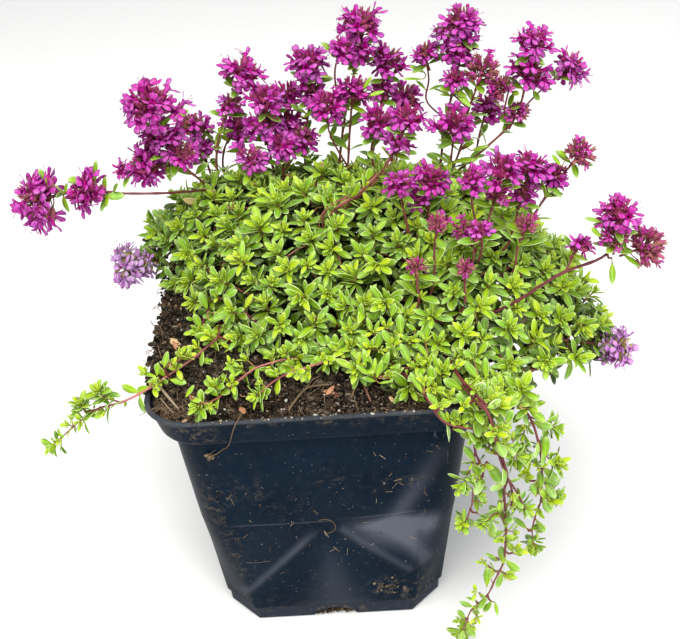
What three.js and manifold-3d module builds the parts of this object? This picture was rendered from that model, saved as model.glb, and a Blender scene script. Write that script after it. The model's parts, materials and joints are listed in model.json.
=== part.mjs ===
// A cushion of creeping thyme in a square nursery pot.
// Millimetres. Origin: centre of the pot's underside. +Z up, the front wall faces -Y.
import * as THREE from 'three';
import { mergeVertices } from 'three/addons/utils/BufferGeometryUtils.js';
import Module from 'manifold-3d';

// ---------------------------------------------------------------- driving dimensions
const POT_HEIGHT = 86.4;        // floor to lip
const POT_TOP_HALF = 45.0;      // half width across the lip
const POT_BAND_LOW_HALF = 42.4; // half width at the lower edge of the lip band
const POT_BAND_HEIGHT = 9.0;    // height of the lip band
const POT_BODY_TOP_HALF = 39.9; // half width of the body under the band
const POT_BASE_HALF = 31.85;    // half width at the floor
const POT_WALL = 1.2;           // wall and floor thickness
const POT_CORNER = 12.0;        // corner radius at the lip
const NOTCH_WIDTH = 11.0;       // drain notch in the front foot
const NOTCH_HEIGHT = 2.2;
const DRAIN_RADIUS = 4.0;       // four drain holes in the floor
const DRAIN_OFFSET = 19.0;
const SOIL_GAP = 0.3;           // soil to wall
const STEM_RADIUS = 0.58;       // flowering stem
const SHOOT_RADIUS = 0.52;      // leafy shoot
const TRUNK_RADIUS = 0.88;      // branch before it divides
const CREEPER_RADIUS = 0.66;    // trailing stem and runner
const ROSETTE_RADIUS = 4.2;     // leaf rosette at a shoot's end
const LEAF_WIDTH = 2.0;
const LEAF_THICK = 0.7;
const HEAD_CORE = 0.6;          // solid core of a flower head as a share of its outer radius

// ---------------------------------------------------------------- plant table
// path: points of the main stem from the soil up. forks: side shoots.
// heads: centre, direction, outer radius, length, sort (0 open, 1 bud, 2 pale).
// rosettes: centre and surface normal. leaves: root, direction, length.
const PLANT = [
  {name:"flower_stem_15",kind:"flower",path:[35.8,25.8,91.4,37.9,27.4,102.8,42.3,30.1,113.3,50.6,29.5,121.5,58.4,29,130.3,61.1,28.5,141.6,62.8,28,153.2],
   forks:[[58.8,28.9,131,63.3,28.9,136.1,68.2,28.9,140.9,73.7,28.9,144.9]],
   heads:[[62.78,28,153.25,0.13,-0.04,0.99,6.2,8,0],[61.66,28.36,144.96,0.15,-0.04,0.99,7,7,0],[59.28,28.9,132.07,0.42,-0.04,0.9,4.4,4,1],[73.7,28.95,144.9,0.8,0,0.6,6.4,7,0]],
   rosettes:[],
   leaves:[]},
  {name:"flower_stem_right",kind:"flower",path:[36,-22.3,88.5,42.3,-24.3,98.7,51.9,-26.1,105.8,62,-26.7,113,73,-27.3,118.2,74.8,-27.9,130.1],
   forks:[[63.3,-26.8,114,64.3,-26.8,116.6,65.4,-26.8,119.2,66.9,-26.8,121.5],[74.2,-27.4,119.7,76.9,-27.3,118.7,79.8,-27.1,118.6,82.5,-26.9,119.7]],
   heads:[[74.75,-27.88,130.14,0.03,-0.04,1,6.4,8,0],[74.67,-27.62,123.85,0.04,-0.04,1,5,5,1],[66.94,-26.81,121.51,0.58,0,0.81,4,5,0],[82.47,-26.88,119.68,0.95,0.07,0.32,7,8,1]],
   rosettes:[],
   leaves:[]},
  {name:"flower_stem_far_left",kind:"flower",path:[-28,10,93.7,-27.9,9.7,104.5,-27,8.9,115.3,-28.9,7.7,125.1,-39.5,6.4,124.9,-50.1,4.9,126.1,-60.6,3.5,128.2,-71.2,2,126.9],
   forks:[],
   heads:[[-71.21,2,126.86,-0.98,-0.13,-0.15,7.6,8,0],[-58.61,3.73,128.03,-0.98,-0.14,0.16,5.6,5,0],[-54.88,4.25,127.29,-0.96,-0.14,0.23,2.2,3,1]],
   rosettes:[],
   leaves:[]},
  {name:"flower_stem_left",kind:"flower",path:[-25.2,18.9,93.9,-26.2,19.7,104.9,-28.4,21.6,115.5,-33.9,21,124.8,-39,19.5,134.4,-40.5,18,145.2],
   forks:[[-34.2,20.9,125.2,-37.7,20.9,126.2,-41.2,20.9,126.5,-44.7,20.9,126.2]],
   heads:[[-40.51,18,145.23,-0.12,-0.13,0.98,8.2,9,0],[-39.2,19.36,135.12,-0.27,-0.14,0.95,6,6,0],[-44.71,20.88,126.18,-1,0,-0.05,6.6,6,0]],
   rosettes:[],
   leaves:[[-33.94,20.97,124.75,0.43,0.28,0.86,3.74]]},
  {name:"flower_stem_08",kind:"flower",path:[7.6,29.2,93.1,7.9,30.4,104,8.5,33.3,114.7,9.9,34.4,125.5,12,34.5,136.3,14.8,35,146.9,16.7,35.8,157.8],
   forks:[[11.4,34.4,133.8,9.1,33.1,140.4,9,31.6,147.3,11.4,30.1,153.9]],
   heads:[[16.7,35.76,157.77,0.17,0.07,0.98,7.2,9,0],[15.6,35.28,151.15,0.18,0.07,0.98,6.2,6,0],[11.44,30.14,153.92,0.28,-0.21,0.94,4.8,6,0]],
   rosettes:[],
   leaves:[[12,34.53,136.3,-0.62,0.44,0.64,3.89],[12,34.53,136.3,0.84,-0.42,0.34,3.62]]},
  {name:"flower_stem_13",kind:"flower",path:[32.8,31,92.3,34.8,32.9,103,38.3,36.1,113,39.5,36.1,124.1,41.4,36,135.1,43.6,36,146,44.8,36,157.1],
   forks:[[39.9,36,128.1,34.4,36,134.2,35.1,36,140.9,33.8,36,148.7]],
   heads:[[44.84,36,157.11,0.11,0,0.99,7.2,8,0],[44.13,36,150.34,0.11,0,0.99,7.2,6,0],[33.82,36,148.7,-0.28,0,0.96,5,7,0]],
   rosettes:[],
   leaves:[]},
  {name:"flower_stem_18",kind:"flower",path:[32.6,-15.5,90.8,36.9,-12.9,99.2,40.6,-13.6,108.2,43.8,-13.9,117.3,46.9,-13.3,126.5,48.5,-12.9,136.1],
   forks:[[43.7,-13.9,117,42.1,-14.7,123.1,41,-15.5,129.4,40.9,-16.6,135.7]],
   heads:[[48.51,-12.94,136.13,0.17,0.04,0.98,7,8,0],[47.4,-13.2,129.61,0.17,0.04,0.98,4.6,5,1],[40.9,-16.58,135.69,-0.03,-0.16,0.99,5,6,0]],
   rosettes:[],
   leaves:[]},
  {name:"flower_stem_left_back",kind:"flower",path:[-26.5,36,91.8,-27.2,37.3,99.3,-28.7,40.1,106.3,-30.5,43.5,112.9,-31.9,44,120.3,-33.3,44,127.8],
   forks:[],
   heads:[[-33.34,44,127.83,-0.19,0,0.98,5.6,7,0],[-31.85,44,120.17,-0.18,-0.01,0.98,4.6,4,0]],
   rosettes:[],
   leaves:[[-30.54,43.55,112.92,-0.86,0.47,0.21,3.5],[-30.54,43.55,112.92,0.64,-0.21,0.74,4.03]]},
  {name:"flower_stem_low_left",kind:"flower",path:[-37,20,91.2,-38.7,22.8,95,-41.4,26.1,97.3,-45.7,25.3,94.8,-50.7,24.7,93.6,-55.6,24,92.6],
   forks:[],
   heads:[[-55.64,24,92.64,-0.97,-0.13,-0.2,6.6,7,2],[-50.15,24.72,93.7,-0.97,-0.13,-0.19,4,4,2]],
   rosettes:[],
   leaves:[]},
  {name:"flower_stem_01",kind:"flower",path:[-24.2,32.7,92.6,-25.2,34,103.9,-27.7,37.1,114.5,-26.1,37.5,125.3,-21.4,36.8,135.7,-16.5,36,146],
   forks:[],
   heads:[[-16.46,36,145.96,0.44,-0.07,0.9,6.8,8,0],[-21.07,36.72,136.41,0.43,-0.07,0.9,4.6,5,0]],
   rosettes:[],
   leaves:[[-26.08,37.54,125.35,0.32,-0.85,0.41,4.17],[-26.08,37.54,125.35,-0.03,0.84,0.55,3.71]]},
  {name:"flower_stem_03",kind:"flower",path:[-9,27.5,93.7,-9.3,28.4,103.2,-9.9,30.4,112.4,-11,32.1,121.7,-11.9,30.9,131,-10.6,30,140.4],
   forks:[],
   heads:[[-10.62,30,140.37,0.18,-0.09,0.98,6.2,7,0],[-11.88,30.76,132.45,0.03,-0.09,1,6.6,6,0]],
   rosettes:[],
   leaves:[]},
  {name:"flower_stem_04",kind:"flower",path:[-6.2,34.4,91.8,-6.4,35.6,101.1,-7,38.5,110,-7,40.3,119.1,-6.1,40,128.4,-4.9,40,137.7],
   forks:[],
   heads:[[-4.86,40,137.69,0.13,0,0.99,5.6,7,0],[-6,40,129.03,0.12,0,0.99,6.2,6,0]],
   rosettes:[],
   leaves:[]},
  {name:"flower_stem_05",kind:"flower",path:[-6.5,22.4,93.9,-6.6,22.8,101.2,-6.9,23.9,108.4,-7.4,25.6,115.5,-7.4,25.5,122.7,-6.7,23,129.5],
   forks:[[-7.5,26,119.5,-4.8,27,122.3,-2.8,27.5,125.7,-0.8,28,129.2]],
   heads:[[-6.65,22.97,129.47,0.09,-0.32,0.94,5.2,6,0],[-0.84,28.03,129.22,0.5,0.13,0.86,4.8,5,0]],
   rosettes:[],
   leaves:[[-7.37,25.53,122.68,-0.65,0.44,0.63,3.73]]},
  {name:"flower_stem_07",kind:"flower",path:[-1.4,31,92.2,-1.5,32.2,103.4,-1.7,35.2,114.3,-0.8,36.2,125.5,1.6,36,136.6,1.3,36,147.8],
   forks:[],
   heads:[[1.27,36,147.79,-0.13,0,0.99,6.8,8,0],[2.15,36,140.17,0.06,0,1,5.4,5,0]],
   rosettes:[],
   leaves:[]},
  {name:"flower_stem_09",kind:"flower",path:[15.8,34.4,92,16.5,36.1,102.8,18.1,39.8,113,20.1,40.2,123.8,21.9,40,134.6,23.4,40,145.5],
   forks:[],
   heads:[[23.42,40,145.51,0.14,0,0.99,6.6,8,0],[22.29,40,137.2,0.14,0,0.99,4.8,5,0]],
   rosettes:[],
   leaves:[[20.13,40.19,123.78,-0.19,-0.81,0.55,3.51],[20.13,40.19,123.78,0.36,0.82,0.44,4.04]]},
  {name:"flower_stem_10",kind:"flower",path:[9.5,22.4,93.9,9.8,23,103.7,10.4,24.7,113.2,11.3,26.3,122.8,12.3,27,132.4,13.5,28,142],
   forks:[[11,26,120,8.1,25.4,126.2,6.1,24.7,132.7,5.9,23.9,139.6]],
   heads:[[13.54,28.04,142.03,0.12,0.11,0.99,6.2,7,0],[5.9,23.93,139.55,-0.07,-0.11,0.99,6,7,0]],
   rosettes:[],
   leaves:[[11.3,26.3,122.77,-0.81,0,0.59,3.75],[11.3,26.3,122.77,0.91,0.12,0.41,3.36]]},
  {name:"flower_stem_leaning",kind:"flower",path:[4.9,3.1,94.9,5.1,3.2,106.2,5.7,3.6,117.4,14.6,5.5,123,22.4,7.5,130.9,27.3,9.6,140.9],
   forks:[],
   heads:[[27.26,9.57,140.95,0.36,0.18,0.91,5.8,7,0],[24.63,8.36,134.9,0.42,0.18,0.89,4.8,5,0]],
   rosettes:[],
   leaves:[[14.64,5.51,123.04,-0.11,-0.13,0.99,3.67]]},
  {name:"flower_stem_14",kind:"flower",path:[38,20.8,91.2,34.4,26.7,100.9,39.5,29.1,111.3,43.6,29.6,122.5,45.5,29.1,134.3,49.2,27.8,145.7],
   forks:[[45.5,29.1,134.1,42.9,28.8,136.9,40.7,28.4,140,41.6,28.5,143.6]],
   heads:[[49.17,27.77,145.71,0.31,-0.11,0.94,6.6,8,1],[41.62,28.47,143.6,0.2,0,0.98,4.8,6,0]],
   rosettes:[],
   leaves:[]},
  {name:"flower_stem_19",kind:"flower",path:[37.5,-16.2,89.9,38.7,-11.2,98.9,45.1,-11.1,106.8,51.6,-11.8,114.5,54.1,-9.8,124.4,56.9,-7.5,134.1],
   forks:[],
   heads:[[56.91,-7.52,134.07,0.26,0.24,0.94,7,8,0],[55.08,-9.16,127.5,0.28,0.2,0.94,5.2,5,0]],
   rosettes:[],
   leaves:[[51.65,-11.79,114.55,-0.36,0.62,0.7,3.87]]},
  {name:"flower_stem_20",kind:"flower",path:[36.6,-9.8,91.8,43.5,-14,100.3,52.4,-12.7,108,56.5,-11,118.9,62.6,-8.7,128.8,68.2,-11.5,138.5],
   forks:[],
   heads:[[68.17,-11.48,138.53,0.33,-0.4,0.85,5.4,7,1],[63.75,-8.61,130.16,0.64,0.01,0.77,3.6,4,0]],
   rosettes:[],
   leaves:[]},
  {name:"flower_stem_low_right",kind:"flower",path:[34.5,-18.4,89.6,43.7,-18.5,92.5,53.1,-18.3,90.5,62.1,-18,86.7,71,-19.7,87,80.4,-22,85.8],
   forks:[],
   heads:[[80.39,-22,85.84,0.97,-0.24,-0.07,6.2,7,2],[76.4,-21.03,86.13,0.97,-0.23,-0.1,4.2,5,2]],
   rosettes:[],
   leaves:[]},
  {name:"flower_stem_27",kind:"flower",path:[34,-9.5,92.4,32.6,-11.5,99.1,36.3,-14.1,104.7,40.8,-16.7,109.8,41.5,-17,115.5,39,-17.4,122],
   forks:[[42.6,-17.8,112.5,43,-19.8,116.2,43,-21.4,120.1,42.3,-22.2,124.2]],
   heads:[[38.97,-17.41,122.01,-0.28,-0.17,0.95,4.2,5,1],[42.33,-22.24,124.2,-0.14,-0.22,0.96,4,5,0]],
   rosettes:[],
   leaves:[]},
  {name:"flower_stem_02",kind:"flower",path:[-23,36,92.1,-23.6,37.6,99.5,-24.9,41,106.2,-26.5,45.1,112.4,-25,46,119.2,-20.7,46,125.5],
   forks:[],
   heads:[[-20.72,46,125.52,0.57,0,0.82,6,8,0]],
   rosettes:[],
   leaves:[]},
  {name:"flower_stem_06",kind:"flower",path:[-14,20.6,94.6,-14.3,21,100.9,-14.8,21.8,107.2,-15.6,23,113.3,-16.3,24,119.6,-15.9,23,125.8],
   forks:[],
   heads:[[-15.89,23,125.78,0.09,-0.2,0.98,5.4,6,0]],
   rosettes:[],
   leaves:[[-15.61,23.03,113.34,0.69,0.52,0.51,4.12]]},
  {name:"flower_stem_11",kind:"flower",path:[15.5,17.2,94.4,16,17.8,103.1,17.4,19.5,111.5,18.2,19.8,120.1,18.3,18.9,128.8,20.3,18,137.1],
   forks:[],
   heads:[[20.26,18,137.13,0.35,-0.1,0.93,6.4,8,0]],
   rosettes:[],
   leaves:[[18.19,19.83,120.13,-0.73,-0.44,0.52,3.84],[18.19,19.83,120.13,0.78,0.4,0.48,4.02]]},
  {name:"flower_stem_12",kind:"flower",path:[22,36,92,22.8,37.4,100.4,24.8,40.8,108,26.2,42.5,116.2,27.3,42.5,124.7,28.5,43.1,133.1],
   forks:[],
   heads:[[28.46,43.08,133.14,0.14,0.06,0.99,6.2,8,0]],
   rosettes:[],
   leaves:[]},
  {name:"flower_stem_16",kind:"flower",path:[36,34.4,91.4,38.7,35.7,99.5,44,38.4,105.9,48.6,40.3,112.9,50.3,40,121.4,52.2,40,129.9],
   forks:[],
   heads:[[52.21,40,129.86,0.22,0,0.97,5.8,7,0]],
   rosettes:[],
   leaves:[]},
  {name:"flower_stem_17",kind:"flower",path:[33.8,20.6,92,34.8,21.2,100.3,37.1,22.8,108.3,39.5,24,116.2,40.2,22.9,124.6,41.2,22,132.9],
   forks:[],
   heads:[[41.24,22,132.89,0.12,-0.11,0.99,6.6,7,0]],
   rosettes:[],
   leaves:[[39.53,24.03,116.24,-0.3,-0.76,0.58,3.7],[39.53,24.03,116.24,0.48,0.77,0.41,3.71]]},
  {name:"flower_stem_21",kind:"flower",path:[22,-5.5,93.3,22.6,-5.6,100.8,24,-6,108.3,25.6,-6.4,115.6,24.5,-6.4,123.1,23.6,-6.4,130.6],
   forks:[],
   heads:[[23.58,-6.37,130.57,-0.12,0,0.99,5.6,7,0]],
   rosettes:[],
   leaves:[[25.58,-6.36,115.64,0.58,0.65,0.5,3.72]]},
  {name:"flower_stem_22",kind:"flower",path:[27.2,-2.9,93.5,27.9,-3,100.7,29.3,-3.2,107.7,31.2,-3.4,114.7,31.3,-2.7,121.7,32.7,-1.4,128.7],
   forks:[],
   heads:[[32.71,-1.42,128.65,0.26,0.17,0.95,6.6,8,0]],
   rosettes:[],
   leaves:[]},
  {name:"flower_stem_23",kind:"flower",path:[26.4,-18.6,92.3,27.5,-19.3,99.2,30,-21.1,105.4,31,-21.7,112.2,31.3,-21.6,119.2,32,-21.6,126.2],
   forks:[],
   heads:[[32.05,-21.57,126.18,0.1,0,1,4.4,6,1]],
   rosettes:[],
   leaves:[]},
  {name:"flower_stem_24",kind:"flower",path:[22.8,-21.8,92.5,23.6,-22.6,97.5,25.4,-24.3,101.9,26.8,-25.6,106.6,26.6,-25.4,111.7,26.2,-25.4,116.8],
   forks:[],
   heads:[[26.19,-25.36,116.8,-0.08,0,1,4,5,1]],
   rosettes:[],
   leaves:[]},
  {name:"flower_stem_25",kind:"flower",path:[32.8,-22.4,89.3,33.8,-23.1,94.8,35.9,-24.6,99.8,38.2,-26.1,104.8,38.3,-26.1,110.5,38.3,-26.1,116.2],
   forks:[],
   heads:[[38.26,-26.1,116.15,-0.01,0,1,3.6,5,1]],
   rosettes:[],
   leaves:[[38.16,-26.13,104.83,0.04,-0.92,0.38,3.93]]},
  {name:"flower_stem_26",kind:"flower",path:[39,-9.5,91.2,43.9,-12.5,96.2,48.2,-14.9,102,51.9,-16.8,108.4,53.1,-17.6,115.8,54.5,-18.7,123.2],
   forks:[],
   heads:[[54.52,-18.72,123.15,0.2,-0.16,0.97,4.4,5,1]],
   rosettes:[],
   leaves:[[53.07,-17.61,115.77,-0.61,0.41,0.68,3.54],[53.07,-17.61,115.77,0.79,-0.54,0.3,4.31]]},
  {name:"trailing_stem_rim",kind:"trail",path:[20.1,-28.6,89.7,21.8,-34.4,90.9,25,-39.7,90.7,27.5,-45.3,90.1,30.5,-49.4,86.8,36,-50.5,85,41.9,-50,83.5],
   forks:[],
   heads:[],
   rosettes:[],
   leaves:[[21.76,-34.39,90.88,-0.29,-0.61,0.74,5.35],[21.76,-34.39,90.88,0.69,-0.3,-0.65,4.55],[27.5,-45.26,90.13,0.53,-0.57,0.63,4.26],[35.99,-50.45,84.98,0.49,-0.87,0.04,4.5]]},
  {name:"trailing_stem_long",kind:"trail",path:[28.8,-24.7,90.4,31.9,-29.9,93.2,33.8,-36.4,93.7,36,-42.7,93,38.5,-49,93.4,41,-53.1,90,42.6,-53.5,83.4,44,-52.1,77,46.1,-52.2,70.7,45.8,-51.1,64,46.2,-50.5,57.4,46.7,-49.9,50.8,46.9,-49.8,44.2,46.3,-50.9,37.8,44.6,-50,31.3,42.6,-49.9,24.9,38,-50.9,20.2,36.4,-50.8,14,35.6,-47.9,7.9],
   forks:[[45.8,-51.1,64,47.7,-50.6,61.3,49.7,-50,58.6,51.8,-49.1,56],[46.7,-49.9,50.8,45.6,-50.5,54.5,43.6,-51.5,57,41,-52.4,54.3],[42.6,-53.5,83.4,44.8,-52,80.1,47.1,-50.7,76.8,49.5,-49.5,73.5]],
   heads:[],
   rosettes:[],
   leaves:[[31.87,-29.93,93.23,-0.55,-0.66,0.51,5.03],[31.87,-29.93,93.23,0.94,-0.24,-0.26,4.5],[36.01,-42.73,92.98,-0.02,-0.52,-0.85,4.43],[36.01,-42.73,92.98,0.37,-0.42,0.83,5.01],[41.05,-53.15,89.99,-0.11,-0.98,-0.19,4.86],[41.05,-53.15,89.99,0.46,0.59,-0.66,4.74],[43.95,-52.08,76.97,-0.64,-0.27,-0.72,4.79],[43.95,-52.08,76.97,0.9,0.36,-0.24,5.31],[45.8,-51.13,64.03,0.59,-0.57,-0.57,5.08],[45.8,-51.13,64.03,-0.58,0.7,-0.43,4.5],[46.67,-49.9,50.76,-0.47,-0.68,-0.57,4.59],[46.67,-49.9,50.76,0.52,0.73,-0.44,4.31],[46.27,-50.85,37.76,0.69,-0.36,-0.63,4.64],[46.27,-50.85,37.76,-0.86,0.35,-0.36,4.41],[42.65,-49.87,24.87,0.42,-0.42,-0.81,4.27],[42.65,-49.87,24.87,-0.94,0.35,-0.05,4.46],[36.44,-50.77,14,0.67,-0.21,-0.71,4.92],[36.44,-50.77,14,-0.86,0.45,-0.25,5.38],[47.7,-50.58,61.27,0.64,-0.69,-0.32,4.49],[47.7,-50.58,61.27,-0.07,0.87,-0.49,4.93],[49.66,-49.95,58.57,-0.36,-0.02,-0.93,4.32],[49.66,-49.95,58.57,0.96,0.24,0.16,5.22],[51.75,-49.13,56.02,-0.25,-0.21,-0.94,5.14],[51.75,-49.13,56.02,0.87,0.45,0.19,4.59],[45.62,-50.53,54.46,-0.65,0.64,0.42,4.81],[45.62,-50.53,54.46,0.21,-0.86,0.46,4.33],[43.6,-51.48,56.99,-0.43,-0.2,-0.88,5.19],[43.6,-51.48,56.99,-0.5,-0.18,0.85,4.78],[40.95,-52.4,54.3,0.26,-0.04,-0.97,5.34],[40.95,-52.4,54.3,-0.94,-0.2,0.27,4.65],[44.84,-52.04,80.1,0.71,-0.58,-0.4,4.7],[44.84,-52.04,80.1,-0.18,0.9,-0.39,4.65],[47.15,-50.72,76.79,-0.15,-0.4,-0.91,4.27],[47.15,-50.72,76.79,0.7,0.7,0.12,4.53],[49.5,-49.47,73.49,-0.16,-0.39,-0.91,4.27],[49.5,-49.47,73.49,0.72,0.68,0.13,4.85]]},
  {name:"trailing_stem_middle",kind:"trail",path:[34,-26.2,88.4,38.1,-26.9,90.8,39.4,-33.4,91.3,40.3,-39.9,90.8,39.9,-45.4,87.4,38.8,-47.6,81.4,38.7,-47.9,74.7,40.7,-48.5,68.6,38.5,-48.4,62.6,38.1,-47.2,56.1,36.1,-47.8,49.9],
   forks:[[38.7,-47.9,74.7,37.9,-48.2,71.3,36.8,-48.5,67.9,35.3,-48.9,64.6]],
   heads:[],
   rosettes:[],
   leaves:[[38.15,-26.92,90.84,1,0.09,0,4.39],[40.33,-39.94,90.77,-0.4,-0.26,-0.88,4.36],[40.33,-39.94,90.77,0.44,-0.7,0.57,4.65],[38.77,-47.63,81.36,0.18,-0.92,-0.35,4.34],[40.73,-48.55,68.6,-0.82,-0.31,-0.47,4.22],[40.73,-48.55,68.6,0.8,0.27,-0.53,4.28],[38.06,-47.25,56.14,0.73,-0.18,-0.66,5.02],[38.06,-47.25,56.14,-0.92,0.22,-0.33,4.51],[37.91,-48.19,71.26,0.69,0.04,-0.73,4.5],[37.91,-48.19,71.26,-0.96,-0.13,-0.24,5.27],[36.78,-48.53,67.88,0.4,-0.66,-0.63,4.29],[35.33,-48.87,64.62,0.41,-0.62,-0.67,4.69],[35.33,-48.87,64.62,-0.82,0.52,-0.24,5.09]]},
  {name:"trailing_stem_outer",kind:"trail",path:[37,-20.2,88.9,42.7,-22.6,91.9,46.4,-27.9,91.6,48.2,-34.1,89.2,49.4,-38.3,84,53.5,-39.5,78.7,55.6,-41.6,72.4,56.9,-42.1,65.7,57.5,-40.5,59.1,57.4,-41.7,52.4,56.7,-40.2,45.7,55.8,-39.8,38.9,56.7,-39.6,32],
   forks:[[53.5,-39.5,78.7,55.9,-39.2,76.8,58.3,-38.9,75,60.8,-38.5,73.4],[55.6,-41.6,72.4,57,-41.7,69.2,58.7,-41.8,66,61.5,-42.1,63.9],[57.5,-40.5,59.1,58.5,-40.3,55.9,59.7,-40.1,52.8,62.4,-39.5,51],[53.5,-39.5,78.7,52.6,-40.1,75.8,51.9,-40.8,72.9,51.7,-41.5,69.8]],
   heads:[],
   rosettes:[],
   leaves:[[42.73,-22.56,91.88,0.94,0.34,0.01,4.6],[48.22,-34.07,89.16,-0.41,-0.1,-0.91,4.66],[48.22,-34.07,89.16,0.63,-0.7,0.33,5.02],[53.55,-39.47,78.67,0.21,-0.96,-0.21,4.6],[53.55,-39.47,78.67,0.25,0.71,-0.65,4.73],[56.94,-42.07,65.74,-0.55,-0.55,-0.63,4.64],[56.94,-42.07,65.74,0.69,0.63,-0.36,5.34],[57.38,-41.7,52.4,0.56,-0.62,-0.55,4.87],[57.38,-41.7,52.4,-0.62,0.65,-0.45,4.93],[55.83,-39.77,38.86,-0.84,-0.19,-0.51,5.17],[55.83,-39.77,38.86,0.84,0.23,-0.49,4.51],[55.9,-39.2,76.8,0.63,-0.77,-0.14,5.26],[55.9,-39.2,76.8,0.17,0.86,-0.48,4.8],[58.29,-38.9,75,-0.08,0.05,-1,4.37],[58.29,-38.9,75,0.9,0.08,0.43,5.14],[60.82,-38.47,73.4,0.07,-0.35,-0.93,4.77],[60.82,-38.47,73.4,0.77,0.49,0.4,5.26],[57.01,-41.68,69.17,0.37,-0.86,-0.34,4.82],[57.01,-41.68,69.17,0.06,0.82,-0.56,4.5],[58.67,-41.83,66.03,-0.25,-0.49,-0.83,5.18],[58.67,-41.83,66.03,0.9,0.43,0.07,4.68],[61.46,-42.06,63.86,-0.13,-0.25,-0.96,4.22],[61.46,-42.06,63.86,0.92,0.18,0.34,5.4],[58.53,-40.32,55.9,0.69,-0.64,-0.34,5.01],[58.53,-40.32,55.9,-0.36,0.71,-0.6,4.44],[59.72,-40.06,52.8,-0.27,-0.34,-0.9,4.43],[59.72,-40.06,52.8,0.88,0.46,0.12,4.65],[62.37,-39.55,50.98,-0.05,-0.09,-0.99,4.28],[62.37,-39.55,50.98,0.87,0.25,0.43,4.39],[52.57,-40.13,75.81,-0.53,-0.83,-0.2,5.21],[52.57,-40.13,75.81,0.26,0.61,-0.75,4.49],[51.94,-40.8,72.86,-0.84,0.29,-0.46,4.21],[51.94,-40.8,72.86,0.69,-0.51,-0.51,4.27],[51.66,-41.47,69.85,-0.91,-0.14,-0.4,5.32],[51.66,-41.47,69.85,0.81,-0.08,-0.57,5.18]]},
  {name:"runner_left_long",kind:"runner",path:[-26.2,-5.4,93.5,-26.1,-11.9,94,-26,-18.4,94.5,-30.6,-21.6,91.7,-35.9,-24.5,89.2,-40.4,-29.2,88.9,-45,-33.9,89,-50.8,-33.9,86.2,-56.9,-33.1,84.1,-62.3,-33,80.4,-67.2,-32.9,76.1,-71.8,-32,71.5],
   forks:[[-50.8,-33.9,86.2,-52.8,-33.9,87,-54.8,-33.9,88.1,-56.1,-33.9,89.9],[-56.9,-33.1,84.1,-59,-32.9,83.2,-61.1,-32.5,82.9,-61.9,-32.1,85]],
   heads:[],
   rosettes:[],
   leaves:[[-26.15,-11.9,94.02,-0.8,-0.49,0.33,5.32],[-30.62,-21.62,91.69,-0.68,-0.45,0.58,4.45],[-40.4,-29.19,88.92,-0.92,0.18,0.35,4.64],[-40.4,-29.19,88.92,0.22,-0.9,-0.36,4.89],[-50.75,-33.89,86.22,-0.14,0.07,-0.99,4.54],[-50.75,-33.89,86.22,-0.79,-0.01,0.61,5.08],[-62.29,-33.01,80.42,-0.38,0.87,-0.31,4.91],[-62.29,-33.01,80.42,-0.42,-0.85,-0.31,4.3],[-71.81,-32,71.51,0.06,-0.48,-0.87,5],[-71.81,-32,71.51,-0.77,0.61,0.17,4.79],[-52.82,-33.89,87.05,-0.57,0.82,-0.04,4.51],[-52.82,-33.89,87.05,-0.34,-0.82,0.46,4.56],[-54.77,-33.89,88.11,-0.93,-0.16,-0.32,4.28],[-54.77,-33.89,88.11,0.17,0.16,0.97,4.91],[-56.12,-33.89,89.88,-0.99,-0.05,-0.12,4.5],[-56.12,-33.89,89.88,0.38,0.05,0.92,5.28],[-58.97,-32.85,83.15,-0.26,0.81,-0.52,4.49],[-58.97,-32.85,83.15,-0.69,-0.67,0.25,5.04],[-61.09,-32.5,82.93,-0.88,-0.37,-0.28,5.28],[-61.09,-32.5,82.93,0.06,0.58,0.81,5.16],[-61.9,-32.1,85.02,-0.95,-0.23,0.22,4.9],[-61.9,-32.1,85.02,0.59,0.4,0.7,4.9]]},
  {name:"runner_left_short",kind:"runner",path:[-4.2,-19.3,91.9,-3.8,-25.6,91.8,-10,-26.8,91.4,-15.8,-29.2,91.1,-20.5,-33.5,90.2,-25.6,-36.5,87.8,-30.1,-40.8,88.9],
   forks:[[-25.6,-36.5,87.8,-24.5,-35.8,88.6,-25.1,-35.1,89.5,-26.4,-34.5,90.2]],
   heads:[],
   rosettes:[],
   leaves:[[-3.76,-25.57,91.77,-0.99,0.13,-0.08,5.03],[-15.8,-29.23,91.09,-0.45,-0.37,0.81,4.29],[-25.59,-36.55,87.76,-0.92,0.33,0.23,5.39],[-25.59,-36.55,87.76,0.12,-0.93,-0.34,4.56],[-24.52,-35.83,88.57,0.93,0.34,0.13,4.29],[-24.52,-35.83,88.57,-0.72,0.29,0.62,4.57],[-25.11,-35.08,89.5,0.18,0.11,0.98,4.55],[-26.36,-34.55,90.2,-0.86,0.1,-0.51,4.38],[-26.36,-34.55,90.2,0.03,0.25,0.97,5.15]]},
  {name:"runner_front",kind:"runner",path:[5.6,-23,90.7,5.7,-28.2,92.7,0.1,-30.9,92.8,-5.5,-33.8,92.9,-10.7,-37.4,93,-15.4,-40,90.4],
   forks:[],
   heads:[],
   rosettes:[],
   leaves:[[5.72,-28.2,92.69,-0.99,0.1,0.1,5.3],[0.05,-30.91,92.84,-0.51,-0.15,-0.85,4.62],[0.05,-30.91,92.84,-0.4,-0.3,0.87,4.83],[-5.54,-33.78,92.91,-0.44,-0.27,-0.86,5.08],[-5.54,-33.78,92.91,-0.42,-0.25,0.87,5.09],[-10.68,-37.41,93,-0.86,0.48,-0.19,4.76],[-10.68,-37.41,93,0.03,-1,-0.03,4.49],[-15.43,-40,90.41,-0.73,0.56,-0.39,5.26],[-15.43,-40,90.41,-0.07,-1,-0.04,4.35]]},
  {name:"leafy_branch_01",kind:"branch",path:[-28.2,15.6,93.6,-30,16.6,95.6,-31.9,17.6,97.3,-34.2,18.9,98.3],
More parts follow.
